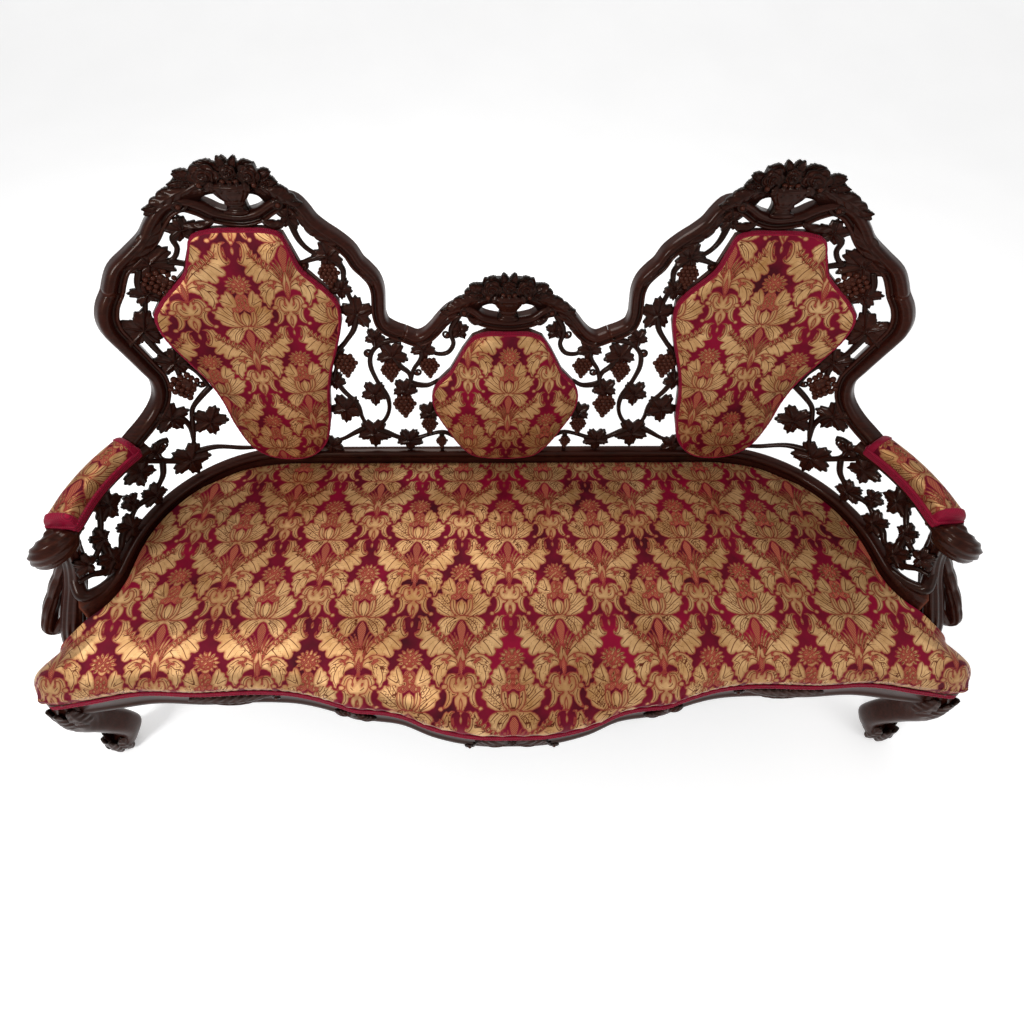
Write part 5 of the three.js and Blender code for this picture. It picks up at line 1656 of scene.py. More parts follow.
@dataclass
class Seat:
    """The stuffed seat: a rolled, crowned top that is tucked under the back and swells over the front."""

    rail_top: float = 368.0
    corner: tuple[float, float] = (1079, -56)
    post: tuple[float, float, float] = (1042, 86, 27)
    bulge: float = 12.0
    bulge_height: float = 32.0
    edge_rise: float = 96.0
    roll: float = 136.0
    crown: float = 36.5
    tuck: float = 110.0
    rear_lift: float = 20.0
    columns: int = 530
    rows: int = 156
    wall_rows: int = 10
    free_share: float = 0.2
    tip_pull: float = 13.0
    tip_reach: float = 30.0
    corner_drop: float = 30.0
    corner_droop: float = 42.0
    corner_kept: float = 0.55
    corner_reach: float = 110.0
    wall_lean: float = 25.4
    hollow: float = 68.0
    roundness: float = 2.2
    crown_middle: float = 270.0
    crown_reach: float = 300.0
    rolled_to: float = 120.0
    seam: float = 0.4
    off: float = 15.0

    def off_back(self, up: float) -> float:
        """How far the tucked edge stands off the back's surface at a height."""
        return BACK.rake * (up - BACK.foot) - self.off

    def edges(self, inset: float, out: float) -> dict[str, Array]:
        """The front, the right side and the tucked back of the seat in plan.

        Args:
            inset: how far the free edges are moved in.
            out: how far the tucked edge stands off the back's surface.

        Returns:
            The three outlines, by name.
        """
        (cx, cy), (px, py, half) = self.corner, self.post
        corner = [cx - inset, cy + inset]
        front = front_line(inset - self.bulge, SEAT_HALF * 0.93, 40)
        side = [
            corner,
            [cx + self.bulge - inset, (cy + py) / 2 - self.bulge],
            [px - 3 - inset, py - half - self.bulge],
            [px - 1.45 * half - inset / 2, py - half + 10.5],
        ]
        mid = BACK.straight + BACK.bend * math.pi / 4
        rear = self.plan_of(np.linspace(BACK.end, mid, 15), out)
        return {
            "front": spline(np.vstack([[-corner[0], corner[1]], front, corner]), 2),
            "side": spline(np.vstack([side, rear]), 2),
            "back": spline(self.plan_of(np.linspace(-mid, mid, 15), out), 2),
        }

    def plan_of(self, along: Array, out: float) -> Array:
        """Places of the back's plan line, in millimetres, before the frame's setback."""
        return BACK.plan(along, out, 0)[..., :2] / MM + [0, BACK.setback]

    def place(self, edges: dict[str, Array], across: Array, deep: Array) -> Array:
        """Plan places at shares of the width from the left and of the depth from the front.

        Args:
            edges: the outlines of the front, the right side and the back.
            across: shares of the width from the left.
            deep: shares of the depth from the front.

        Returns:
            A grid of places in plan.
        """
        front, back = along_line(edges["front"], across), along_line(edges["back"], across)
        right = along_line(edges["side"], deep)
        left = mirror_line(right)
        first, last = right[0], right[-1]
        s, t = across[None, :, None], deep[:, None, None]
        between = front[None] * (1 - t) + back[None] * t + left[:, None] * (1 - s) + right[:, None] * s
        low = (first * [-1, 1]) * (1 - s) + first * s
        high = (last * [-1, 1]) * (1 - s) + last * s
        return between - low * (1 - t) - high * t

    def near(self, place: Array, line: Array) -> Array:
        """How far places in plan lie from a line.

        Args:
            place: places in plan.
            line: the line's points.

        Returns:
            One distance to a place.
        """
        flat = place.reshape(-1, 2)
        best = np.full(len(flat), 1e9)
        for chunk in np.array_split(line, max(1, len(line) // 40)):
            gap = np.hypot(flat[:, None, 0] - chunk[None, :, 0], flat[:, None, 1] - chunk[None, :, 1])
            best = np.minimum(best, gap.min(1))
        return best.reshape(place.shape[:-1])

    def top(self, place: Array, free: Array, tucked: Array) -> Array:
        """The height of the seat's top at plan places.

        Args:
            place: places in plan.
            free: the free edge.
            tucked: the edge that is tucked under the back.

        Returns:
            One height to a place.
        """
        to_free = np.minimum(self.near(place, free) / self.roll, 1)
        lift = self.rear_lift * np.maximum(0, 1 - self.near(place, tucked) / self.tuck) ** 1.5
        roll = (1 - (1 - to_free) ** self.roundness) ** (1 / self.roundness)
        depth = (place[..., 1] - self.crown_middle) / self.crown_reach
        side = (place[..., 0] / self.corner[0]) ** 4
        crown = self.crown * np.maximum(0, 1 - depth**2) * (1 - side)
        drop = self.corner_drop * hump(self.from_tip(place), 0, 100) - lift
        return self.rail_top + self.bulge_height + (self.edge_rise - self.bulge_height) * roll + crown - drop

    def from_tip(self, place: Array) -> Array:
        """How far places lie from the nearer front corner in plan."""
        return np.hypot(np.abs(place[..., 0]) - self.corner[0], place[..., 1] - self.corner[1])

    def build(self) -> Thing:
        """Builds the covered seat.

        Returns:
            The seat's object.
        """
        swell = self.edges(0, self.off_back(self.rail_top + self.edge_rise))
        footing = self.edges(self.wall_lean, self.off_back(self.rail_top) - 3)
        even = np.linspace(0, 1, self.columns)
        across = 0.5 * even + 0.5 * (1 - np.cos(np.pi * even)) / 2
        deep = np.linspace(0, 1, self.rows) ** 1.12
        place = self.place(swell, across, deep)
        free_sides = along_line(swell["side"], np.linspace(0, self.free_share, 60))
        tuck_sides = along_line(swell["side"], np.linspace(self.free_share, 1, 160))
        free = np.vstack([swell["front"][::3], free_sides, mirror_line(free_sides)])
        tucked = np.vstack([swell["back"][::5], tuck_sides, mirror_line(tuck_sides)])
        high = self.top(place, free, tucked)
        base = self.place(footing, across, deep)
        rim = grid_edge(self.rows, self.columns)
        flat, flat_high, foot = place.reshape(-1, 2), high.ravel(), base.reshape(-1, 2)
        near_tip = self.corner_kept * hump(self.from_tip(flat[rim]), 0, self.corner_reach)[:, None]
        kept = foot[rim] * (1 - near_tip) + flat[rim] * near_tip
        lower = self.rail_top + self.seam - self.corner_droop * near_tip[:, 0]
        rings = []
        for k in range(1, self.wall_rows + 1):
            t = k / self.wall_rows
            inward, down = 1 - math.cos(math.pi * t / 2), math.sin(math.pi * t / 2)
            plan = flat[rim] * (1 - inward) + kept * inward
            level = flat_high[rim] * (1 - down) + lower * down
            rings.append(np.column_stack([plan, level]))
        inner = rings[-1].copy()
        inner[:, 0] *= 0.95
        inner[:, 1] += np.clip(250 - inner[:, 1], -45, 45)
        rings += [inner, inner * [1, 1, 0] + [0, 0, self.rail_top + self.hollow]]
        grid = np.column_stack([flat, flat_high])
        grid = self.swelled(grid.reshape(self.rows, self.columns, 3)).reshape(-1, 3)
        points = self.rounded(np.vstack([grid, *rings]))
        faces = self.faces(rim, len(rings), self.rows, self.columns)
        across_mm, down_mm = self.cloth(place, high, rings, rim)
        solid = Solid()
        solid.add((points - [0, BACK.setback, 0]) * MM, faces)
        thing = solid.mesh("seat_upholstery")
        MOTIF.lay(thing, across_mm, down_mm)
        return settle(thing, Finish.DAMASK, "seat_cushion")

    def rounded(self, points: Array) -> Array:
        """The points with the two sharp corners drawn in, as stuffing rounds them.

        Args:
            points: the points.

        Returns:
            The points after the pull.
        """
        pull = self.tip_pull * hump(self.from_tip(points), 0, self.tip_reach)[:, None]
        inward = np.sign(points[:, :1]) * [-0.75, 0, 0] + [0, 0.66, 0]
        return points + pull * inward

    def swelled(self, grid: Array) -> Array:
        """The top's points, pressed out by the stuffing while the edge is held.

        Args:
            grid: the grid of points.

        Returns:
            The swollen grid.
        """
        rows = np.linspace(0, self.rows - 1, 18).astype(int)
        columns = np.linspace(0, self.columns - 1, 54).astype(int)
        coarse = grid[np.ix_(rows, columns)]
        rim = grid_edge(len(rows), len(columns))
        top = coarse.reshape(-1, 3)
        points = np.vstack([top, top[rim] * [1, 1, 0] + [0, 0, self.rail_top]])
        held = np.ones(len(points), bool)
        held[: len(top)] = False
        held[rim] = True
        faces = self.faces(rim, 1, len(rows), len(columns))
        moves = STUFFING.moves(points * MM, faces, held)[: len(top)] / MM
        by_row = STUFFING.spread(moves.reshape(*coarse.shape), rows, self.rows, 4)
        fine = STUFFING.spread(by_row.transpose(1, 0, 2), columns, self.columns, 5).transpose(1, 0, 2)
        i, j = np.arange(self.rows)[:, None], np.arange(self.columns)[None]
        edge = np.minimum(np.minimum(i, self.rows - 1 - i), np.minimum(j, self.columns - 1 - j))
        return grid + fine * np.clip(edge / 10, 0, 1)[..., None]

    def faces(self, rim: Array, rings: int, rows: int, columns: int) -> list[Sequence[int]]:
        """The faces of the top, of the rings under its edge and of the cap that closes them.

        Args:
            rim: the places of the grid's edge in its list.
            rings: how many rings lie under the edge.
            rows: how many rows the grid has.
            columns: how many columns the grid has.

        Returns:
            The faces.
        """
        faces = list(grid_faces(rows, columns))
        start, count = rows * columns, len(rim)
        levels = [rim, *(start + k * count + np.arange(count) for k in range(rings))]
        for upper, lower in zip(levels, levels[1:]):
            faces += list(np.stack([np.roll(upper, -1), upper, lower, np.roll(lower, -1)], -1))
        faces.append(levels[-1][::-1].tolist())
        return faces

    def cloth(self, place: Array, high: Array, rings: list[Array], rim: Array) -> tuple[Array, Array]:
        """Where each point lies on the flat cloth before it is drawn over the roll.

        Args:
            place: places in plan.
            high: their heights.
            rings: the rings under the edge.
            rim: the places of the grid's edge in its list.

        Returns:
            How far across and how far down each point lies.
        """
        down = -place[..., 1].copy()
        rise = np.hypot(np.diff(place[..., 1], axis=0), np.diff(high, axis=0))
        for row in range(self.rows - 2, -1, -1):
            rolled = place[row, :, 1] < self.rolled_to
            down[row] = np.where(rolled, down[row + 1] + rise[row], down[row])
        across = place[..., 0].copy()
        all_across, all_down = [across.ravel()], [down.ravel()]
        before = np.column_stack([place.reshape(-1, 2)[rim], high.ravel()[rim]])
        last_across, last_down = across.ravel()[rim], down.ravel()[rim]
        for ring in rings:
            gap = np.linalg.norm(ring - before, axis=1)
            facing = np.clip((400 - before[:, 1]) / 300, -1, 1)
            last_down = last_down + gap * np.sign(facing)
            all_across.append(last_across)
            all_down.append(last_down)
            before = ring
        return np.concatenate(all_across), np.concatenate(all_down)


# Medallions


@dataclass
class Medallion:
    """One upholstered panel of the back: its pad, its braid and the cloth behind it."""

    side: str
    shares: Table
    place: float
    half: float
    height: float
    crown_along: float
    crown_up: float
    scale_across: float = 1.08
    scale_down: float = 1.04
    foot: float = 512.0
    board: float = 12.3
    edge: float = 15.0
    crown: float = 33.0
    rings: int = 74
    swelling: Rows = (
        (0, 1), (0.2, 0.995), (0.4, 0.96), (0.6, 0.85), (0.75, 0.68), (0.85, 0.5), (0.92, 0.32),
        (0.965, 0.17), (1, 0),
    )
    cords: Rows = ((-0.6, 14.0, 3.0), (0.8, 9.0, 3.1), (0.8, 3.4, 3.0))

    @property
    def middle(self) -> Array:
        """The place along and up the back that the pad swells from."""
        return np.array([self.place, self.foot + self.height * 0.6])

    def outline(self, step: float = 3.4) -> Array:
        """The panel's edge, once round from the top middle.

        Args:
            step: the distance wanted between its points.

        Returns:
            The edge's points along and up the back.
        """
        right = np.asarray(self.shares, float) * [self.half, self.height]
        whole = np.vstack([right, (right * [-1, 1])[::-1][1:-1]])
        wrapped = np.vstack([whole[-4:], whole, whole[:5]])
        line = spline(wrapped, 1.0)
        gap, late = np.linalg.norm(line - whole[0], axis=1), np.arange(len(line)) * 1e-4
        start, end = np.argmin(gap + late), len(line) - 1 - np.argmin(gap[::-1] + late)
        closed = resampled(line[start : end + 1], step)[:-1]
        return closed + [self.place, self.foot]

    def moved(self, line: Array, margin: float) -> Array:
        """The edge moved outward by a margin.

        Args:
            line: the line's points.
            margin: how far outward.

        Returns:
            The moved edge.
        """
        return line + crosswise(loop_headings(line)) * margin

    def build(self) -> None:
        """Builds the pad, the braid and the cloth behind."""
        self.pad()
        self.braid()
        self.cover()

    def pad(self) -> None:
        """Builds the stuffed pad with its tight crown and its small gathers at the edge."""
        line = self.outline()
        middle = self.middle
        share = np.maximum(1 - np.linspace(0, 1, self.rings) ** 1.25, 0.012)[:, None]
        out_from_middle, full = zip(*self.swelling)
        rise = eased(np.interp(share, out_from_middle, full), 12)
        plan = middle + (line[None] - middle) * share[..., None]
        turn = np.arange(len(line))[None]
        gather = 0.9 * np.sin(turn * 0.21 + 2 * np.sin(turn * 0.05)) * hump(share, 0.93, 0.05)
        out = -(self.board + self.edge + self.crown * rise + gather)
        front = BACK.at(plan[..., 0], plan[..., 1], out)
        sides = [BACK.at(line[:, 0], line[:, 1], -(self.board + self.edge * k)) for k in (0, 0.5)]
        solid = Solid()
        rings = np.concatenate([[BACK.at(*(middle + (line - middle) * 0.4).T, -self.board)], sides, front])
        solid.loft(STUFFING.swell(rings, 4))
        thing = solid.mesh(f"medallion_pad_{self.side}")
        places = np.concatenate([[line] * 3, plan]).reshape(-1, 2)
        across = (places[:, 0] - self.crown_along) * self.scale_across
        down = (self.crown_up - places[:, 1]) * self.scale_down
        MOTIF.lay(thing, across, down)
        settle(thing, Finish.DAMASK, f"panel_cushion_{self.side}")

    def braid(self) -> None:
        """Lays the cords of braid round the pad's edge."""
        line = self.outline(5.0)
        solid = Solid()
        for margin, rise, radius in self.cords:
            moved = self.moved(line, margin)
            twist = 1 + 0.1 * np.sin(np.arange(len(moved)) * 2.1)
            solid.tube(BACK.at(*moved.T, -self.board - rise), radius * MM * twist, 9, closed=True)
        settle(solid.mesh(f"medallion_braid_{self.side}"), Finish.BRAID, f"panel_gimp_{self.side}")

    def cover(self) -> None:
        """Stretches the plain cloth over the back of the panel."""
        line = self.outline(9.0)
        middle = self.middle
        shares = np.array([1, 0.985, 0.96, 0.85, 0.7, 0.5, 0.3, 0.1, 0.02])[:, None]
        level = np.array([0.6, 2.2, *[2.8] * 7])[:, None]
        plan = middle + (line[None] - middle) * shares[..., None]
        skin = BACK.at(plan[..., 0], plan[..., 1], level)
        rows, count = skin.shape[:2]
        faces = [*grid_faces(rows, count, round_columns=True), list(range((rows - 1) * count, rows * count))]
        solid = Solid()
        solid.add(skin, faces)
        thing = solid.mesh(f"medallion_back_cloth_{self.side}")
        wide, tall = np.ptp(line[:, 0]) * MM, np.ptp(line[:, 1]) * MM
        area = abs(enclosed(line)) * MM**2
        settle(thing, Finish.BACK_CLOTH, f"panel_back_cover_{self.side}")


# The back's frame


@dataclass
class Outline:
    """The moulded outline of the back: three crest rails and two stiles."""

    step: float = 7.0
    section: Rows = (
        (-16.5, 18), (-16.5, -6), (-15.4, -10.5), (-13, -13), (-10.6, -12.2), (-9, -9), (-7.4, -7.4),
        (-5, -7.6), (-3, -11), (-0.6, -14.6), (2.6, -17), (6, -17.9), (9.4, -17.4), (12.6, -15.2),
        (15, -11.4), (16.4, -6), (16.5, 18),
    )

    def whole(self) -> Array:
        """The right half of the outline from the middle of the centre crest to the stile's foot.

        Returns:
            The line's points along and up the back.
        """
        shares = mirrored(CENTRE_CREST[1:3]) + CENTRE_CREST + SIDE_CREST[1:] + STILE[1:]
        line = spline(BACK.places(shares), 1.0)
        return line[np.argmin(np.abs(line[:, 0]) + (line[:, 0] < 0) * 9) :]

    def parts(self) -> dict[str, Array]:
        """The lines of the five pieces.

        Returns:
            The lines, by the pieces' names.
        """
        line = self.whole()
        ends = BACK.places([SIDE_CREST[0], STILE[0]])
        first, last = (np.argmin(np.linalg.norm(line - end, axis=1)) for end in ends)
        centre, side, stile = line[: first + 1], line[first : last + 1], line[last:]
        return {
            "crest_rail_centre": np.vstack([mirror_line(centre)[::-1], centre[1:]]),
            "crest_rail_right": side,
            "crest_rail_left": mirror_line(side)[::-1],
            "stile_right": stile,
            "stile_left": mirror_line(stile)[::-1],
        }

    def sweep(self, line: Array) -> Array:
        """Rings of the section along a line on the back.

        Args:
            line: the line's points.

        Returns:
            The rings, in metres.
        """
        line = along_line(line, np.linspace(0, 1, round(lengths(line)[-1] / self.step)))
        way = headings(line)
        section = spline(self.section, 2.2)
        place = line[:, None] + crosswise(way)[:, None] * section[None, :, :1]
        return BACK.at(place[..., 0], place[..., 1], np.broadcast_to(section[None, :, 1], place.shape[:2]))

    def build(self) -> None:
        """Builds the five pieces with the leaf carving on their shoulders."""
        for name, line in self.parts().items():
            solid = Solid()
            solid.loft(self.sweep(line)[:, ::-1])
            self.carve(solid, name)
            settle(solid.mesh(f"carved_{name}"), Finish.ROSEWOOD, name)

    def carve(self, solid: Solid, name: str) -> None:
        """Adds leaves that wrap the shoulders of a crest.

        Args:
            solid: what it is added to.
            name: the piece's name.
        """
        ways = {"crest_rail_right": [1], "crest_rail_left": [-1], "crest_rail_centre": [-1, 1]}.get(name, [])
        for way in ways:
            spines = self.side_leaves() if name != "crest_rail_centre" else self.centre_leaves()
            for spine, width, lobes in spines:
                line = BACK.places(spine) * [way, 1]
                base = line[0]
                ground = BACK.ground(base[0], base[1], 0, -9.0)
                CARVER.acanthus(solid, ground, line - base, width, lobes, 9.0)

    def side_leaves(self) -> list[tuple[Table, float, int]]:
        """Leaves of a side crest: midribs, half widths and lobes.

        Returns:
            The leaves, one after another.
        """
        return [
            (pairs(0.398, 0.838, 0.43, 0.87, 0.455, 0.9, 0.478, 0.94), 17, 4),
            (pairs(0.806, 0.818, 0.775, 0.85, 0.752, 0.885, 0.728, 0.93), 17, 4),
            (pairs(0.325, 0.7, 0.335, 0.735, 0.352, 0.765), 13, 3),
            (pairs(0.56, 0.918, 0.535, 0.9, 0.505, 0.905), 11, 3),
            (pairs(0.648, 0.918, 0.672, 0.9, 0.7, 0.905), 11, 3),
        ]

    def centre_leaves(self) -> list[tuple[Table, float, int]]:
        """Leaves of the centre crest.

        Returns:
            The leaves, one after another.
        """
        return [
            (pairs(0.19, 0.52, 0.172, 0.55, 0.15, 0.585, 0.125, 0.608), 15, 4),
            (pairs(0.1, 0.59, 0.085, 0.575, 0.06, 0.568), 10, 3),
        ]


@dataclass
class BottomRail:
    """The low board that the back stands on, with a bead along its foot and a moulded top edge."""

    steps: int = 420
    plain_from: float = 1245.0
    plain_over: float = 60.0
    front: Rows = (
        (368.4, -12), (464, -12), (466, -16), (470, -18.6), (475, -18.6), (479, -16), (481, -12.8),
        (485, -12.2), (503, -12.2), (506, -15), (509.5, -17.4), (514, -17.8), (518, -16), (520, -12.5),
    )

    def build(self) -> None:
        """Builds the board from arm post to arm post."""
        along = np.linspace(-BACK.end - 9, BACK.end + 9, self.steps)[:, None]
        profile = np.array([*spline(self.front, 3.0), (520, 6), (519, 10.5), (516, 12), (368.4, 12)])
        calm = np.clip((self.plain_from - np.abs(along)) / self.plain_over, 0, 1)
        up, out = profile.T[:, None]
        out = np.where(out < -12, -12 + (out + 12) * calm, out)
        rings = BACK.at(along, up, out)
        solid = Solid()
        solid.loft(rings[:, ::-1])
        settle(solid.mesh("moulded_bottom_rail"), Finish.ROSEWOOD, "back_bottom_rail")


@dataclass
class Vine:
    """A pierced stretch of grapevine: stems, leaves, bunches and tendrils."""

    name: str
    stems: Table
    leaves: Table
    bunches: Table
    tendrils: Table = ()

    def build(self) -> None:
        """Builds the stretch on both sides."""
        solid = Solid()
        for stem in self.stems:
            CARVER.stem(solid, stem)
        for along, up, size, turn in self.leaves:
            place = BACK.places([[along, up]])[0]
            CARVER.vine_leaf(solid, *place, 37.0 * size, turn)
        for along, up, size in self.bunches:
            place = BACK.places([[along, up]])[0]
            CARVER.grapes(solid, *place, size)
        for along, up, radius, way, start in self.tendrils:
            place = BACK.places([[along, up]])[0]
            middle = -radius * math.cos(start), -radius * math.sin(start)
            CARVER.curl(solid, BACK.ground(*place), *middle, radius, int(way), 1.2, 4.0, start)
        for side, flip in (("right", 1), ("left", -1)):
            settle(
                solid.mirrored(flip).mesh(f"carved_{self.name}_{side}"),
                Finish.ROSEWOOD,
                f"{self.name}_{side}",
            )


@dataclass
class Basket:
    """A carved basket of flowers on a crest, with a garland of leaves down to its shoulders."""

    side: str
    place: float
    foot: float
    half: float
    rise: float = 112.0
    profile: Rows = (
        (25, 1), (24, 5), (17, 9), (15.5, 14), (19, 18), (21, 21), (20, 24), (27, 32), (34, 42), (38, 50),
        (42, 54), (42.5, 58), (39, 60), (36, 62),
    )
    tips: Rows = (
        (0, 16, 6, 11), (0.13, 9, 16, 12), (0.24, 15, 4, 12), (0.38, 10, 18, 12), (0.5, 8, 14, 12),
        (0.64, 11, 12, 11), (0.78, 7, 16, 10), (0.9, 9, 14, 8),
    )

    def build(self) -> None:
        """Builds the basket, its flowers and its garland."""
        solid = Solid()
        self.backing(solid)
        self.bowl(solid)
        self.flowers(solid)
        self.fringe(solid)
        self.rim(solid)
        self.garland(solid)
        settle(solid.mesh(f"carved_basket_{self.side}"), Finish.ROSEWOOD, f"flower_basket_{self.side}")

    def ground(self, out: float) -> Ground:
        """The patch of the back's front that the basket is carved on, so far behind it."""
        return BACK.ground(self.place, self.foot, 0, out)

    def backing(self, solid: Solid) -> None:
        """The solid wood behind the carving.

        Args:
            solid: what it is added to.
        """
        half, rise = self.half, self.rise
        right = [(0, 0.9), (0.18, 0.93), (0.3, 0.8), (0.52, 0.76), (0.56, 0.6), (0.78, 0.38), (0.97, 0.13)]
        right += [
            (0.95, 0.05), (0.7, 0.19), (0.46, 0.19), (0.36, 0.33), (0.21, 0.36), (0.13, 0.2), (0.16, 0.0)
        ]
        upper = spline([(x * half * 0.96, y * rise * 0.93) for x, y in right], 4)
        edge = np.vstack([upper, (upper * [-1, 1])[::-1]])
        shape = edge + [self.place, self.foot]
        levels = [BACK.at(shape[:, 0], shape[:, 1], out) for out in (9, -12)]
        solid.loft(np.stack(levels))

    def bowl(self, solid: Solid) -> None:
        """The half-round bowl on its neck.

        Args:
            solid: what it is added to.
        """
        profile = spline(self.profile, 1.6)
        turn = np.linspace(0, np.pi, 40)
        reed = 1 + 0.035 * np.cos(turn * 14)[None] * (np.abs(profile[:, 1] - 38) < 14)[:, None]
        wide, high = profile[:, :1], profile[:, 1:]
        a = wide * np.cos(turn)[None] * reed
        h = 10 + wide * 0.42 * np.sin(turn)[None] * reed
        b = np.broadcast_to(high, a.shape)
        solid.loft(self.ground(-6.0)(a, b, h)[:, ::-1])

    def flowers(self, solid: Solid) -> None:
        """Roses, a daisy and buds above the rim, with leaves between.

        Args:
            solid: what it is added to.
        """
        leaves = (
            (8.5, pairs(4, 84, 10, 97, 18, 113)), (9.5, pairs(56, 72, 70, 82, 84, 87)),
            (8, pairs(60, 60, 78, 64, 98, 62)), (7, pairs(26, 58, 36, 52, 52, 50)),
            (8, pairs(30, 88, 40, 98, 51, 101)),
        )
        for way in (-1, 1):
            for width, spine in leaves:
                CARVER.blade(solid, self.ground(-12.0), np.array(spine) * [way, 1], width)
            CARVER.flower(solid, self.ground(-13.0), way * 41, 76, 26, 6, 15)
            CARVER.flower(solid, self.ground(-11.0), way * 70, 60, 14, 5, 11)
        CARVER.flower(solid, self.ground(-15.0), 0, 82, 19, 7, 13)
        for bud in ((-14, 66), (0, 64), (14, 66), (-50, 60), (50, 60)):
            solid.bead(self.ground(-6.0)(*np.array([*bud, 16.0])), 6 * MM)

    def fringe(self, solid: Solid) -> None:
        """Leaf tips that stand out all along the upper edge.

        Args:
            solid: what it is added to.
        """
        edge = [
            (0.05, 0.86), (0.18, 0.88), (0.3, 0.78), (0.5, 0.7), (0.55, 0.56), (0.7, 0.4), (0.84, 0.24),
            (0.95, 0.1),
        ]
        line = spline([(x * self.half, y * self.rise) for x, y in edge], 2)
        places = along_line(line, [share for share, *_ in self.tips])
        ways = headings(places)
        _, reaches, leans, widths = zip(*self.tips)
        leaves = list(zip(places, ways, crosswise(ways), reaches, leans, widths))
        for way in (-1, 1):
            for index, (place, run, out, reach, lean, width) in enumerate(leaves):
                tips = [place - out * 13 - run * lean * 0.5, place + run * lean * 0.2 - out * 2]
                tips.append(place + out * reach + run * lean)
                CARVER.blade(solid, self.ground(-7.0 - 4 * (index % 2)), np.array(tips) * [way, 1], width, 9)

    def rim(self, solid: Solid) -> None:
        """Leaves that droop over the bowl's rim.

        Args:
            solid: what it is added to.
        """
        for a, drop in ((-34, 20), (-17, 24), (0, 20), (17, 24), (34, 20)):
            spine = [[a * 0.9, 68], [a, 68 - drop * 0.5], [a * 1.05, 66 - drop]]
            CARVER.acanthus(solid, self.ground(-25.0), spine, 9, 3, 6, 1)

    def garland(self, solid: Solid) -> None:
        """Leaves that run from the basket out along the crest, over the eyes beside its neck.

        Args:
            solid: what it is added to.
        """
        over = ((0.3, 52), (0.5, 50), (0.68, 38), (0.84, 22), (0.97, 7))
        inner = ((0.15, 47), (0.26, 52), (0.38, 46), (0.5, 33))
        for way in (-1, 1):
            for spine, out, width, lobes, rise in ((over, -10.0, 17, 6, 10), (inner, -9.0, 9, 4, 7)):
                midrib = np.array(spine) * [way * self.half, 1]
                CARVER.acanthus(solid, self.ground(out), midrib, width, lobes, rise)
            start = 2.6 if way > 0 else 0.5
            CARVER.curl(solid, self.ground(-9.0), way * 0.62 * self.half, 20, 13, way, 1.35, 5.0, start)


# Arms and legs


def round_rings(places: Array, ways: Array, halves: Array, sides: int = 36, power: float = 2.0) -> Array:
    """Upright rings round places, each facing along a level direction.

    Args:
        places: middles, in metres.
        ways: the directions that the rings face.
        halves: half widths and half heights, in metres.
        sides: points of a ring.
        power: 2 for round, more for squarer.

    Returns:
        The rings, from the first place to the last.
    """
    turn = around(sides)
    c, s = np.cos(turn) * squared(turn, power), np.sin(turn) * squared(turn, power)
    across = np.pad(crosswise(ways), ((0, 0), (0, 1)))
    across /= np.linalg.norm(across, axis=1, keepdims=True)
    flat = c[None, :, None] * across[:, None] * halves[:, None, :1]
    return places[:, None] + flat + s[None, :, None] * np.array([0, 0, 1.0]) * halves[:, None, 1:]


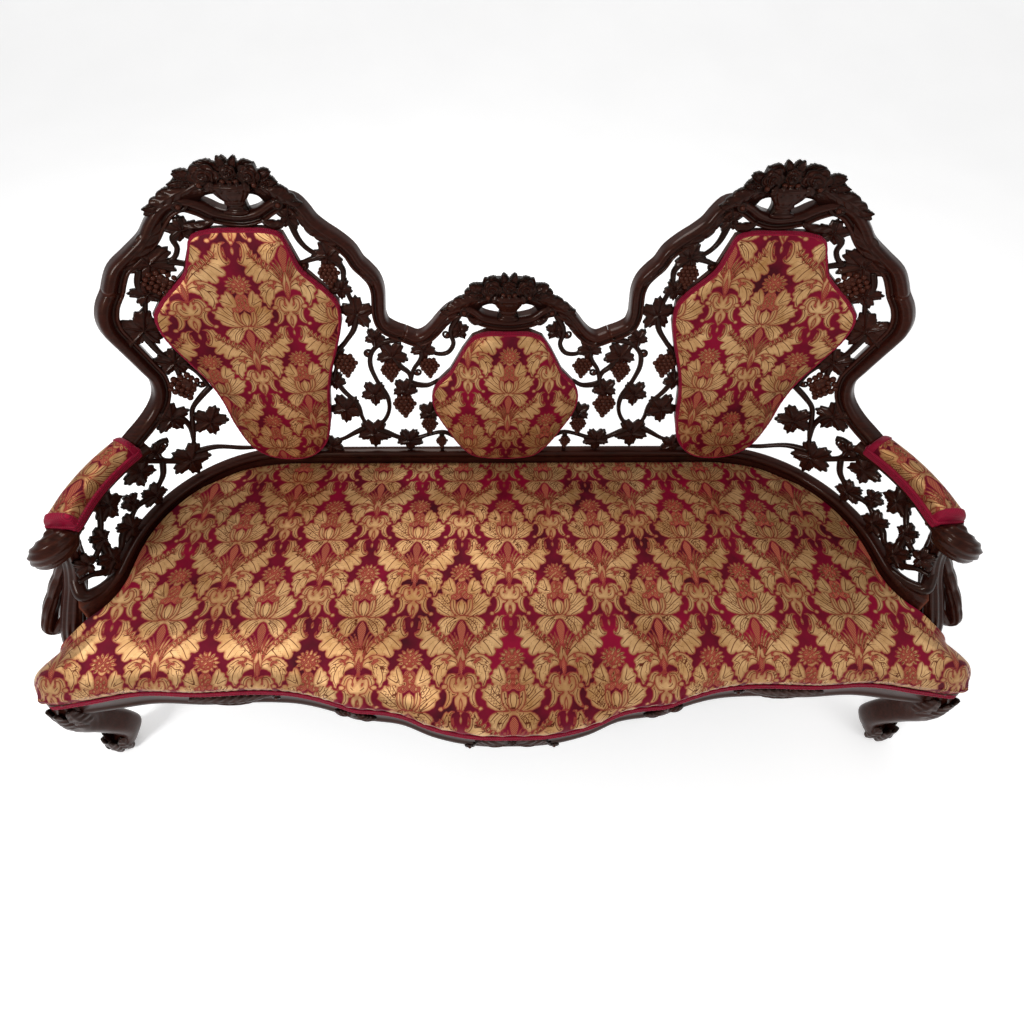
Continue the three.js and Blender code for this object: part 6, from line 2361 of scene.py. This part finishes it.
@dataclass
class Arm:
    """One arm: a carved rail that ends in a scroll, its curved post and its stuffed pad."""

    side: str
    top: float = 694.0
    start: float = 932.0
    pad_start: float = 955.5
    end: float = 1176.0
    post_top: tuple[float, float] = (977.9, 188.4)
    post_base: tuple[float, float] = (1041.9, 86)
    post_half: float = 27.0
    post_foot: float = 368.3
    pad_half: float = 31.0
    pad_rise: float = 38.0
    lift: float = 0.4
    beads: int = 14
    rail_sides: int = 48
    rail_halves: tuple[float, float] = (25, 16)
    scroll_reach: float = 82.0
    scroll_drop: float = 34.0
    scroll_half: float = 28.0
    bends: Rows = (
        (1, 0, 0, 0.8), (0.8, 0.22, 0.06, 0.84), (0.62, 0.42, 0.24, 0.9), (0.44, 0.66, 0.5, 1),
        (0.26, 0.86, 0.78, 1.06), (0.1, 0.97, 0.97, 1.02), (0, 1, 1, 0.9),
    )
    leaf: Rows = (
        (0.84, 0.5, 0.5), (0.7, 1.1, 0.66), (0.52, 1.66, 0.74), (0.36, 1.94, 0.8), (0.24, 1.96, 0.66),
        (0.2, 1.5, 0.5), (0.3, 0.7, 0.5),
    )
    scroll: Rows = (
        (0.02, 0.16, 0.0, 1.25), (0.12, 0.32, 0.08, 1.42), (0.27, 0.4, 0.3, 1.52), (0.42, 0.38, 0.56, 1.48),
        (0.56, 0.32, 0.8, 1.28), (0.66, 0.27, 0.94, 0.92), (0.72, 0.25, 1, 0.5), (0.745, 0.245, 1, 0.1),
    )

    @property
    def flip(self) -> int:
        """Which side the arm is on, as a sign."""
        return 1 if self.side == "right" else -1

    def place_mesh(self, solid: Solid, name: str, finish: Finish, *nodes: str) -> None:
        """Turns a solid made for the right-hand side into the piece of this arm."""
        settle(solid.mirrored(self.flip).mesh(f"{name}_{self.side}"), finish, *nodes)

    def build(self) -> None:
        """Builds the arm's pieces."""
        self.rail()
        self.post()
        self.pad()

    def rail(self) -> None:
        """Builds the rail and its scroll."""
        middle = self.top - 16
        along = np.linspace(self.start, self.end, 26)
        straight = BACK.at(along, middle)
        end = straight[-1]
        ahead = headings(straight[:, :2])[-1]
        outward, reach = np.array([-ahead[1], ahead[0]]), self.scroll_reach * MM
        path = [
            [*(end[:2] + (outward * out + ahead * on) * reach), (middle - drop * self.scroll_drop) * MM]
            for out, on, drop, _ in self.scroll
        ]
        turned = [[self.scroll_half * size] * 2 for *_, size in self.scroll]
        half = np.array([self.rail_halves] * len(along) + turned) * MM
        line = np.vstack([straight, path])
        run = lengths(line)
        curved = spline(line, 5 * MM)
        share = np.linspace(0, 1, len(curved))
        size = np.stack([np.interp(share * run[-1], run, part) for part in half.T], -1)
        size = size * (1 + 0.05 * hump(share, 0.72, 0.02) + 0.05 * hump(share, 0.93, 0.02))[:, None]
        reeds = np.clip((share - 0.66) * 8, 0, 1)
        rings = round_rings(curved, headings(curved[:, :2]), size, self.rail_sides, 2.4)
        turn = around(self.rail_sides)
        cut = 1 - 0.1 * reeds[:, None] * (0.5 + 0.5 * np.cos(13 * turn + 14 * share[:, None])) ** 0.7
        rings = curved[:, None] + (rings - curved[:, None]) * cut[..., None]
        solid = Solid()
        solid.loft(rings)
        for k in range(self.beads):
            spot = rings[int(0.69 * len(curved)), int(k / self.beads * self.rail_sides)]
            solid.bead(spot, 3.2 * MM, sides=8)
        self.place_mesh(solid, "carved_arm_rail", Finish.ROSEWOOD, f"arm_rail_{self.side}")

    def post(self) -> None:
        """Builds the reeded post with the leaf on its outside."""
        (tx, ty), (bx, by) = self.post_top, self.post_base
        middles = np.array(
            [[tx + (bx - tx) * x, ty + (by - ty) * y, self.post_level(up)] for up, x, y, _ in self.bends]
        )
        middles[:, 1] -= BACK.setback
        curve, share, half = swept(middles, [row[3] for row in self.bends], 6)
        turn = around(72)
        band = 1 + 0.07 * hump(share, 0.04, 0.02) + 0.08 * hump(share, 0.95, 0.02)
        reeded = np.clip(share * (1 - share) * 14, 0, 1)[:, None]
        reed = 1 - 0.1 * (0.5 - 0.5 * np.cos(12 * turn)) * reeded
        reach = (half * self.post_half * band)[:, None] * reed * squared(turn, 2.6)[None]
        solid = Solid()
        solid.loft(level_rings(curve, reach, turn)[::-1] * MM)
        self.outer_leaf(solid, curve)
        self.fillet(solid, curve)
        self.place_mesh(solid, "carved_arm_post", Finish.ROSEWOOD, f"arm_post_{self.side}")

    def post_level(self, share: float) -> float:
        """The height of a share of the post above its foot."""
        return self.post_foot + (self.top - 32.3 - self.post_foot) * share

    def fillet(self, solid: Solid, curve: Array) -> None:
        """Sweeps the post's inner side down into the bottom rail.

        Args:
            solid: what it is added to.
            curve: the middle line, in millimetres.
        """
        spots = [curve[np.argmin(np.abs(curve[:, 2] - level))] * MM for level in (640, 600, 566)]
        rail = [BACK.at(along, up) for along, up in ((1262, 534), (1238, 521), (1200, 512), (1160, 504))]
        line = spline([*spots, *rail], 5 * MM)
        share = np.linspace(0, 1, len(line))
        radius = np.interp(share, [0, 0.3, 0.6, 0.85, 1], [12, 15, 14, 12, 7])
        solid.tube(line, radius * MM, 18)

    def outer_leaf(self, solid: Solid, curve: Array) -> None:
        """Carves the scrolled leaf that stands out from the post.

        Args:
            solid: what it is added to.
            curve: the middle line, in millimetres.
        """
        middles = []
        for up, out, _ in self.leaf:
            level = self.post_level(up)
            x, y, _ = curve[np.argmin(np.abs(curve[:, 2] - level))]
            middles.append([x + out * self.post_half, y, level])
        line, share, half = swept(np.array(middles), [row[2] for row in self.leaf], 5)
        turn = around(40)
        lobe = 0.94 + 0.14 * np.abs(np.sin(share * 15))[:, None]
        lobe = lobe + 0.15 * np.abs(np.cos(4.5 * turn + 2 * share[:, None]))
        normal = np.cross(headings(line), [0, 1, 0])
        ring = np.cos(turn)[:, None] * np.array([0, 1.05, 0]) + 0.8 * np.sin(turn)[:, None] * normal[:, None]
        solid.loft((line[:, None] + (half[:, None] * self.post_half * lobe)[..., None] * ring) * MM)

    def pad(self) -> None:
        """Builds the damask pad and the crimson welt round it."""
        share = np.linspace(0, 1, 96)
        top = self.padding(share)
        solid = Solid()
        solid.loft((top[:, ::-1] if self.flip == 1 else top) * [self.flip, 1, 1])
        thing = solid.mesh(f"arm_pad_damask_{self.side}")
        wide, high = self.arch()
        arc = np.cumsum(np.concatenate([[0], np.hypot(np.diff(wide), np.diff(high))]))
        over = (arc - arc[-1] / 2)[:: -self.flip]
        run, over = np.broadcast_arrays(self.along(share)[:, None], over[None])
        MOTIF.lay(thing, over.ravel() + 4, run.ravel() - 965)
        settle(thing, Finish.DAMASK, f"arm_pad_{self.side}")
        self.welt(share)

    def along(self, share: Array) -> Array:
        """Places along the back's plan line at shares of the pad's length."""
        return self.pad_start + (self.end - self.pad_start) * share

    def fullness(self, share: Array) -> Array:
        """How full the pad is at shares of its length: less at its rounded ends."""
        ends = np.clip(np.minimum(share, 1 - share) / 0.09, 0, 1)
        return 0.6 + 0.4 * np.sqrt(1 - (1 - ends) ** 2)

    def arch(self) -> tuple[Array, Array]:
        """The pad's rounded section: how far across and how high its points lie.

        Returns:
            The two rows of measures.
        """
        turn = np.linspace(0, np.pi, 34)
        wide = self.pad_half * (np.abs(np.cos(turn)) ** 0.75) * -np.sign(np.cos(turn))
        return wide, self.pad_rise * np.sin(turn) ** 0.62

    def padding(self, share: Array, thick: Array | float = 0.0) -> Array:
        """Arched rings over the pad at shares of its length, in metres, so much thicker than the pad.

        Args:
            share: shares of the pad's length.
            thick: how much thicker than the pad they are, in millimetres.

        Returns:
            The rings.
        """
        full = self.fullness(share)[:, None]
        thick = np.broadcast_to(thick, share.shape)[:, None]
        wide, high = self.arch()
        across = wide * (0.75 + 0.25 * full) * (1 + thick / self.pad_half)
        rings = BACK.at(self.along(share)[:, None], self.top, across)
        rings[..., 2] = (self.top + self.lift + high * full + thick) * MM
        return rings

    def welt(self, share: Array) -> None:
        """Lays the crimson cord round the pad and the rolled band at its ends.

        Args:
            share: shares of the pad's length.
        """
        wide = 31.5 * (0.75 + 0.25 * self.fullness(share))
        solid = Solid()
        for level, radius, margin in ((5.2, 5.0, 0.0), (-3.0, 4.4, -1.8), (-10.6, 4.4, -2.4)):
            inner, outer = (BACK.at(self.along(share), self.top, way * (wide + margin)) for way in (-1, 1))
            ring = np.vstack([inner, outer[::-1]])
            ring[:, 2] = (self.top + self.lift + level) * MM
            solid.tube(ring, radius * MM, 12, closed=True)
        self.wrap(solid, -0.002, 0.075)
        self.wrap(solid, 0.93, 1.002)
        self.place_mesh(solid, "arm_pad_welt", Finish.BRAID)

    def wrap(self, solid: Solid, first: float, last: float) -> None:
        """Wraps a band of crimson cloth over the pad between two shares of its length.

        Args:
            solid: what it is added to.
            first: the share where the band starts.
            last: the share where it ends.
        """
        share = np.linspace(first, last, 30)
        edge = 1.6 * np.clip(np.minimum(share - first, last - share) / 0.008, 0, 1) + 1.2
        solid.loft(self.padding(share, edge)[:, ::-1])


@dataclass
class FrontLeg:
    """A carved cabriole leg: leafy knee, slim shin and a scrolled leaf foot."""

    side: str
    place: tuple[float, float] = (1046, -22)
    half: float = 34.0
    top: float = 367.7
    table: Rows = (
        (1, -0.2, 0, 0.86), (0.9, -0.26, -0.15, 0.96), (0.77, -0.24, -0.42, 1.1), (0.64, -0.3, -0.46, 1.02),
        (0.5, -0.68, -0.2, 0.92), (0.35, -1.08, 0.05, 0.86), (0.22, -1.06, 0.15, 0.84),
        (0.12, -0.5, -0.05, 0.96), (0.05, 0.04, -0.2, 1.06), (0, 0.16, -0.2, 0.72),
    )

    def build(self) -> None:
        """Builds the leg."""
        shares = np.array([[out, ahead, up] for up, out, ahead, _ in self.table])
        foot = [self.place[0], self.place[1] - BACK.setback, 0]
        middles = shares * [self.half, self.half, self.top] + foot
        curve, share, half = swept(middles, [row[3] for row in self.table], 5)
        half = eased(half * self.half, 10)
        turn = around(60)
        leafy = (hump(share, 0.2, 0.13) + hump(share, 0.93, 0.07))[:, None]
        carve = 1 + 0.035 * leafy * np.cos(10 * turn[None] + 4 * np.sin(share[:, None] * 26))
        solid = Solid()
        solid.loft(level_rings(curve, half[:, None] * squared(turn, 2.7) * carve * 0.98, turn)[::-1] * MM)
        self.carving(solid, curve, half)
        made = solid.mirrored(1 if self.side == "right" else -1)
        settle(made.mesh(f"carved_front_leg_{self.side}"), Finish.ROSEWOOD, f"front_leg_{self.side}")

    def face_ground(
        self, curve: Array, half: Array, level: float, way: Sequence[float], round_by: float
    ) -> Ground:
        """A patch on one face of the leg at a height.

        Args:
            curve: the middle line, in millimetres.
            half: half its width along that line.
            level: the height that is looked for.
            way: the level direction that the face looks in.
            round_by: the radius that it bends round.

        Returns:
            The patch.
        """
        index = int(np.argmin(np.abs(curve[:, 2] - level)))
        way = np.array([*way, 0.0]) / np.linalg.norm(way)
        up = np.array([0, 0, 1.0])
        return flat_ground((curve[index] + way * half[index] * 0.99) * MM, np.cross(up, way), up, round_by)

    def carving(self, solid: Solid, curve: Array, half: Array) -> None:
        """Adds the leaves of the knee and the foot, and the foot's scroll.

        Args:
            solid: what it is added to.
            curve: the middle line, in millimetres.
            half: half the leg's width along it.
        """
        knee, foot = pairs(0, 46, 2, 10, -2, -30, 0, -72), pairs(0, -22, 0, 6, 0, 34, 0, 58)
        for way in ((0.0, -1.0), (1.0, 0.0), (0.7, -0.7), (-0.7, -0.7)):
            CARVER.acanthus(solid, self.face_ground(curve, half, 300, way, 30), knee, 19, 5, 6)
            CARVER.acanthus(solid, self.face_ground(curve, half, 30, way, 34), foot, 17, 4, 6, 2)
        CARVER.curl(solid, self.face_ground(curve, half, 24, (0.9, -0.4), 36), 0, 0, 16, 1, 1.3, 4.2, 1.2)


# The front and the underside


@dataclass
class FrontRail:
    """The moulded serpentine rail under the seat, with leaf carving and a centre cartouche."""

    foot: float = 290.0
    depth: float = 34.0
    tip: float = 1077.0
    tip_reach: float = 105.0
    tuck_from: float = 1034.0
    tuck_over: float = 48.0
    section: Rows = (
        (0, 77.6), (30, 77.6), (33.2, 76), (34, 72), (33.2, 68), (30, 64), (28.4, 58), (28.2, 44), (28.6, 30),
        (30, 23), (33, 18), (34, 13), (33.2, 7), (30.6, 2.4), (25, 0), (0, 0),
    )
    leaves: tuple[tuple, ...] = (
        (0, 330, ((4, 2), (26, 12), (52, 6), (82, -6)), 18, 5, 8),
        (0, 330, ((4, -8), (24, -20), (46, -24), (66, -18)), 11, 4, 4.5),
        (655, 330, ((100, 6), (50, 2), (0, -5), (-48, -3), (-92, 5)), 20, 9, 9),
        (655, 330, ((60, -16), (20, -24), (-24, -26), (-60, -16)), 13, 6, 7),
        (363, 322, ((0, 22), (4, 4), (0, -18)), 10, 3, 5),
        (363, 322, ((-4, 10), (-26, 2), (-52, 8)), 12, 4, 7),
        (363, 322, ((4, 10), (26, 4), (50, 0)), 11, 4, 7),
    )

    def rings(self) -> Array:
        """Rings of the section along the serpentine line.

        Returns:
            The rings, in millimetres.
        """
        line = front_line(0, 1025, 6)
        way = headings(line)
        section = spline(self.section, 2.6)
        reach = 8 - self.depth + section[:, 0]
        place = line[:, None] - crosswise(way)[:, None] * reach[None, :, None]
        high = np.broadcast_to(self.foot + section[:, 1], place.shape[:2])
        return np.concatenate([place - [0, BACK.setback], high[..., None]], -1)

    def ground(self, x: float, z: float) -> Ground:
        """A patch on the rail's front at a place across.

        Args:
            x: its place across.
            z: its height.

        Returns:
            The patch.
        """
        line = front_line(0, 1025, 3)
        index = int(np.argmin(np.abs(line[:, 0] - x)))
        x_way, y_way = headings(line)[index]
        spot = np.array([*line[index], z]) + np.array([y_way, -x_way, 0.0]) * 5 - [0, BACK.setback, 0]
        return flat_ground(spot * MM, [x_way, y_way, 0.0], [0, 0, 1.0])

    def build(self) -> None:
        """Builds the rail and its carving."""
        solid = Solid()
        solid.loft(self.rings() * MM)
        for way in (-1, 1):
            for x, z, spine, width, lobes, rise in self.leaves:
                midrib = np.array(spine) * [way, 1]
                CARVER.acanthus(solid, self.ground(way * x, z), midrib, width, lobes, rise)
            CARVER.curl(solid, self.ground(0, 330), way * 96, -4, 13, way, 1.3, 3.4, 2.4 if way > 0 else 0.7)
            CARVER.curl(solid, self.ground(way * 655, 330), -way * 104, 2, 12, -way, 1.3, 3.2, 0.6)
        CARVER.flower(solid, self.ground(0, 330), 0, 0, 17, 7, 8)
        settle(solid.mesh("moulded_front_rail"), Finish.ROSEWOOD, "front_rail")
        self.gimp()

    def gimp(self) -> None:
        """Lays the double cord of braid along the seat's lower edge."""
        solid = Solid()
        for inset, level, radius in ((2.5, 370.0, 3.2), (4.0, 375.4, 2.8)):
            line = resampled(Seat().edges(inset, 0)["front"], 4)
            twist = 1 + 0.12 * np.sin(np.arange(len(line)) * 2.3)
            near = hump(np.abs(line[:, 0]), self.tip, self.tip_reach)
            side = np.sign(line[:, :1]) * [1, 0]
            line = line + near[:, None] * (6 * side - [0, 4])
            hidden = np.clip((np.abs(line[:, 0]) - self.tuck_from) / self.tuck_over, 0, 1) ** 2
            line = line + hidden[:, None] * ([0, 24] - 24 * side)
            place = np.column_stack([line - [0, BACK.setback], level - 20 * near + 4 * hidden])
            solid.tube(place * MM, radius * MM * twist, 9)
        settle(solid.mesh("seat_front_braid"), Finish.BRAID, "seat_gimp")


@dataclass
class Hidden:
    """The parts that keep their solids: seat frame, springs and panel boards."""

    eased: float = 0.0022
    eased_from: float = 50.0
    finishes: tuple[tuple[Finish, tuple[str, ...]], ...] = (
        (Finish.ROSEWOOD, ("rear_leg_", "side_rail_", "panel_board_")),
        (Finish.SECONDARY, ("back_seat_rail", "seat_brace", "corner_block_")),
        (Finish.STEEL, ("seat_spring_",)),
    )

    def dress(self) -> None:
        """Gives each kept solid its finish."""
        for name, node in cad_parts.items():
            for finish, starts in self.finishes:
                if name.startswith(starts):
                    PALETTE.dress(node, finish)
                    if finish is not Finish.STEEL:
                        self.ease(node)

    def ease(self, node: Thing) -> None:
        """Rounds the arrises of a wooden part, as a plane leaves them.

        Args:
            node: the node.
        """
        bevel = node.modifiers.new("eased_edges", "BEVEL")
        bevel.width, bevel.segments, bevel.limit_method = self.eased, 2, "ANGLE"
        bevel.angle_limit = math.radians(self.eased_from)


@dataclass
class Underside:
    """What closes the seat below: the woven webbing under the springs and the dust cover."""

    inset: float = 17.0
    reach: float = 957.0
    behind: float = 77.0
    strap: float = 70.0
    sag: float = 2.6
    fade: float = 18.0
    tacks: float = 210.0
    weave: float = 40.0

    def build(self) -> None:
        """Builds the webbing and the cover."""
        self.webbing()
        self.cover()

    def front_at(self, x: float) -> float:
        """How far forward the front rail's inner side lies at a place across."""
        line = front_line(self.inset, self.reach)
        return float(np.interp(x, line[:, 0], line[:, 1]))

    def cover(self) -> None:
        """Tacks the thin cover under the rails, slack between its tacks and in its middle."""
        columns, rows = 240, 70
        s, t = np.linspace(0, 1, columns), np.linspace(0, 1, rows)[:, None]
        front = along_line(front_line(self.inset, self.reach), s)
        turn = BACK.straight + BACK.bend * math.pi / 2
        back = BACK.plan(np.linspace(-turn, turn, columns), -self.behind, 0)[..., :2] / MM + [0, BACK.setback]
        plan = front[None] * (1 - t[..., None]) + back[None] * t[..., None]
        slack = 16 * t * (1 - t) * (s * (1 - s))[None]
        near_tacks = np.exp(-self.fade * t) + np.exp(-self.fade * (1 - t))
        tacked = near_tacks * np.sin(self.tacks * s)[None]
        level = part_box("dust_cover")[1].z / MM - 0.6 - self.sag * slack + 0.5 * tacked
        solid = Solid()
        places = np.concatenate([plan - [0, BACK.setback], level[..., None]], -1)
        solid.add(places * MM, grid_faces(rows, columns))
        thing = solid.mesh("seat_dust_cover")
        edge = np.vstack([front, back[::-1]]) * MM
        abs(enclosed(edge))
        settle(thing, Finish.DUST, "dust_cover")

    def webbing(self) -> None:
        """Weaves the straps, over and under each other, below every spring."""
        low, high = (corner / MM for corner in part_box("seat_webbing"))
        middles = [
            sum(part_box(name), Vector()) / 2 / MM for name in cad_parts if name.startswith("seat_spring_")
        ]
        columns = sorted({round(middle.x) for middle in middles})
        rows = sorted({round(middle.y) for middle in middles})
        solid = Solid()
        for index, x in enumerate(columns):
            run = np.linspace(self.front_at(x) - BACK.setback + self.strap / 4, high.y, 90)
            wave = sum((-1) ** (index + k) * hump(run, y, self.weave) for k, y in enumerate(rows))
            line = np.column_stack([np.full(len(run), x), run])
            self.strip(solid, line, np.array([1.0, 0]), low.z + 1.2 + 0.7 * wave)
        for index, y in enumerate(rows):
            far = high.x if index == 0 else high.x - 60
            run = np.linspace(-far, far, 260)
            wave = sum((-1) ** (index + k + 1) * hump(run, x, self.weave) for k, x in enumerate(columns))
            line = np.column_stack([run, np.full(len(run), y)])
            self.strip(solid, line, np.array([0, 1.0]), low.z + 1.2 + 0.7 * wave)
        settle(solid.mesh("seat_woven_webbing"), Finish.JUTE, "seat_webbing")

    def strip(self, solid: Solid, line: Array, side: Array, level: Array) -> None:
        """Adds one flat strap along a line.

        Args:
            solid: what it is added to.
            line: the line's points.
            side: the direction across it.
            level: its height at each point.
        """
        t = np.linspace(-0.5, 0.5, 9)
        plan = line[:, None] + side * (self.strap * t)[None, :, None]
        thick = 0.55 * np.sqrt(np.maximum(1 - (2 * t) ** 6, 0.05))[None]
        sheets = [
            np.concatenate([plan, (level[:, None] + way * thick)[..., None]], -1) * MM for way in (1, -1)
        ]
        solid.sheet(*sheets)


# The studio


@dataclass
class Studio:
    """The pale floor, the soft lights and the camera at the photograph's angle."""

    place: tuple[float, float, float] = (-0.0877, -0.7715, 1.7442)
    yaw: float = 0.030
    pitch: float = 0.7874
    roll: float = -0.0202
    focal: float = 550.0
    middle: tuple[float, float] = (484.36, 405.44)
    picture: float = 1024.0
    sensor: float = 36.0

    def build(self) -> None:
        """Sets everything up."""
        self.floor()
        self.light()
        self.camera()

    def floor(self) -> None:
        """Lays a wide floor with a gentle far rise, so that no edge shows."""
        n = 60
        y = np.linspace(-9, 9, n)
        z = np.where(y > 4, (y - 4) ** 2 * 0.12, 0.0)
        x = np.linspace(-11, 11, n)
        grid = np.stack(np.broadcast_arrays(x[None], y[:, None], z[:, None] - 0.0005), -1)
        solid = Solid()
        solid.add(grid, grid_faces(n, n))
        thing = solid.mesh("studio_floor")
        thing.data.materials.append(Plaster().material())

    def light(self) -> None:
        """Hangs the soft lights."""
        world = bpy.data.worlds.new("studio")
        bpy.context.scene.world = world
        world.use_nodes = True
        colour, strength, *_ = world.node_tree.nodes["Background"].inputs
        colour.default_value, strength.default_value = (1, 1, 1, 1), 0.55
        for name, place, aim, size, power in (
            ("key", (-2.1, -1.9, 3.2), (0, 0, 0.5), 1.1, 62),
            ("fill", (2.8, -2.2, 2.6), (0, 0, 0.5), 2.4, 16),
            ("top", (-0.6, 1.7, 3.2), (0, 0.1, 0.5), 1.5, 42),
        ):
            lamp = bpy.data.lights.new(name, "AREA")
            lamp.energy, lamp.size, lamp.shape = power, size, "DISK"
            thing = bpy.data.objects.new(name, lamp)
            bpy.context.scene.collection.objects.link(thing)
            thing.location = place
            thing.rotation_euler = (Vector(aim) - Vector(place)).to_track_quat("-Z", "Y").to_euler()

    def camera(self) -> None:
        """Stands the camera where the photograph was taken."""
        cy, sy, cp, sp = math.cos(self.yaw), math.sin(self.yaw), math.cos(self.pitch), math.sin(self.pitch)
        ahead = Vector((sy * cp, cy * cp, -sp))
        right = Vector((cy, -sy, 0))
        down = ahead.cross(right)
        cr, sr = math.cos(self.roll), math.sin(self.roll)
        right, down = cr * right + sr * down, -sr * right + cr * down
        turn = Matrix((right, -down, -ahead)).transposed()
        data = bpy.data.cameras.new("camera")
        data.sensor_width, data.lens = self.sensor, self.sensor * self.focal / self.picture
        data.shift_x = (self.picture / 2 - self.middle[0]) / self.picture
        data.shift_y = (self.middle[1] - self.picture / 2) / self.picture
        data.clip_end = 100
        thing = bpy.data.objects.new("camera", data)
        bpy.context.scene.collection.objects.link(thing)
        thing.matrix_world = Matrix.Translation(self.place) @ turn.to_4x4()
        bpy.context.scene.camera = thing


class Settee:
    """The whole settee, sub-assembly by sub-assembly."""

    def build(self) -> None:
        """Builds every sub-assembly in order."""
        PALETTE.fill()
        MOTIF.draw()
        Hidden().dress()
        Underside().build()
        Seat().build()
        Medallion("left", SIDE_PANEL, -604, 192, 631, -624, 1036).build()
        Medallion("centre", CENTRE_PANEL, 0, 193, 382, 6, 850).build()
        Medallion("right", SIDE_PANEL, 604, 192, 631, 616, 1044).build()
        Outline().build()
        BottomRail().build()
        Vine("vine_inner", INNER_STEMS, INNER_LEAVES, INNER_GRAPES, INNER_CURLS).build()
        Vine("vine_outer", OUTER_STEMS, OUTER_LEAVES, OUTER_GRAPES, OUTER_CURLS).build()
        Basket("left", -604, 1177.4, 146).build()
        Basket("centre", 0, 929.5, 174).build()
        Basket("right", 604, 1177.4, 146).build()
        for side in ("left", "right"):
            Arm(side).build()
            FrontLeg(side).build()
        FrontRail().build()


def main() -> None:
    """Builds the settee and its studio."""
    logging.basicConfig(level=logging.INFO, format="%(name)s: %(message)s")
    bpy.context.scene.view_settings.view_transform = "Standard"
    Settee().build()
    Studio().build()


if __name__ == "__main__":
    main()
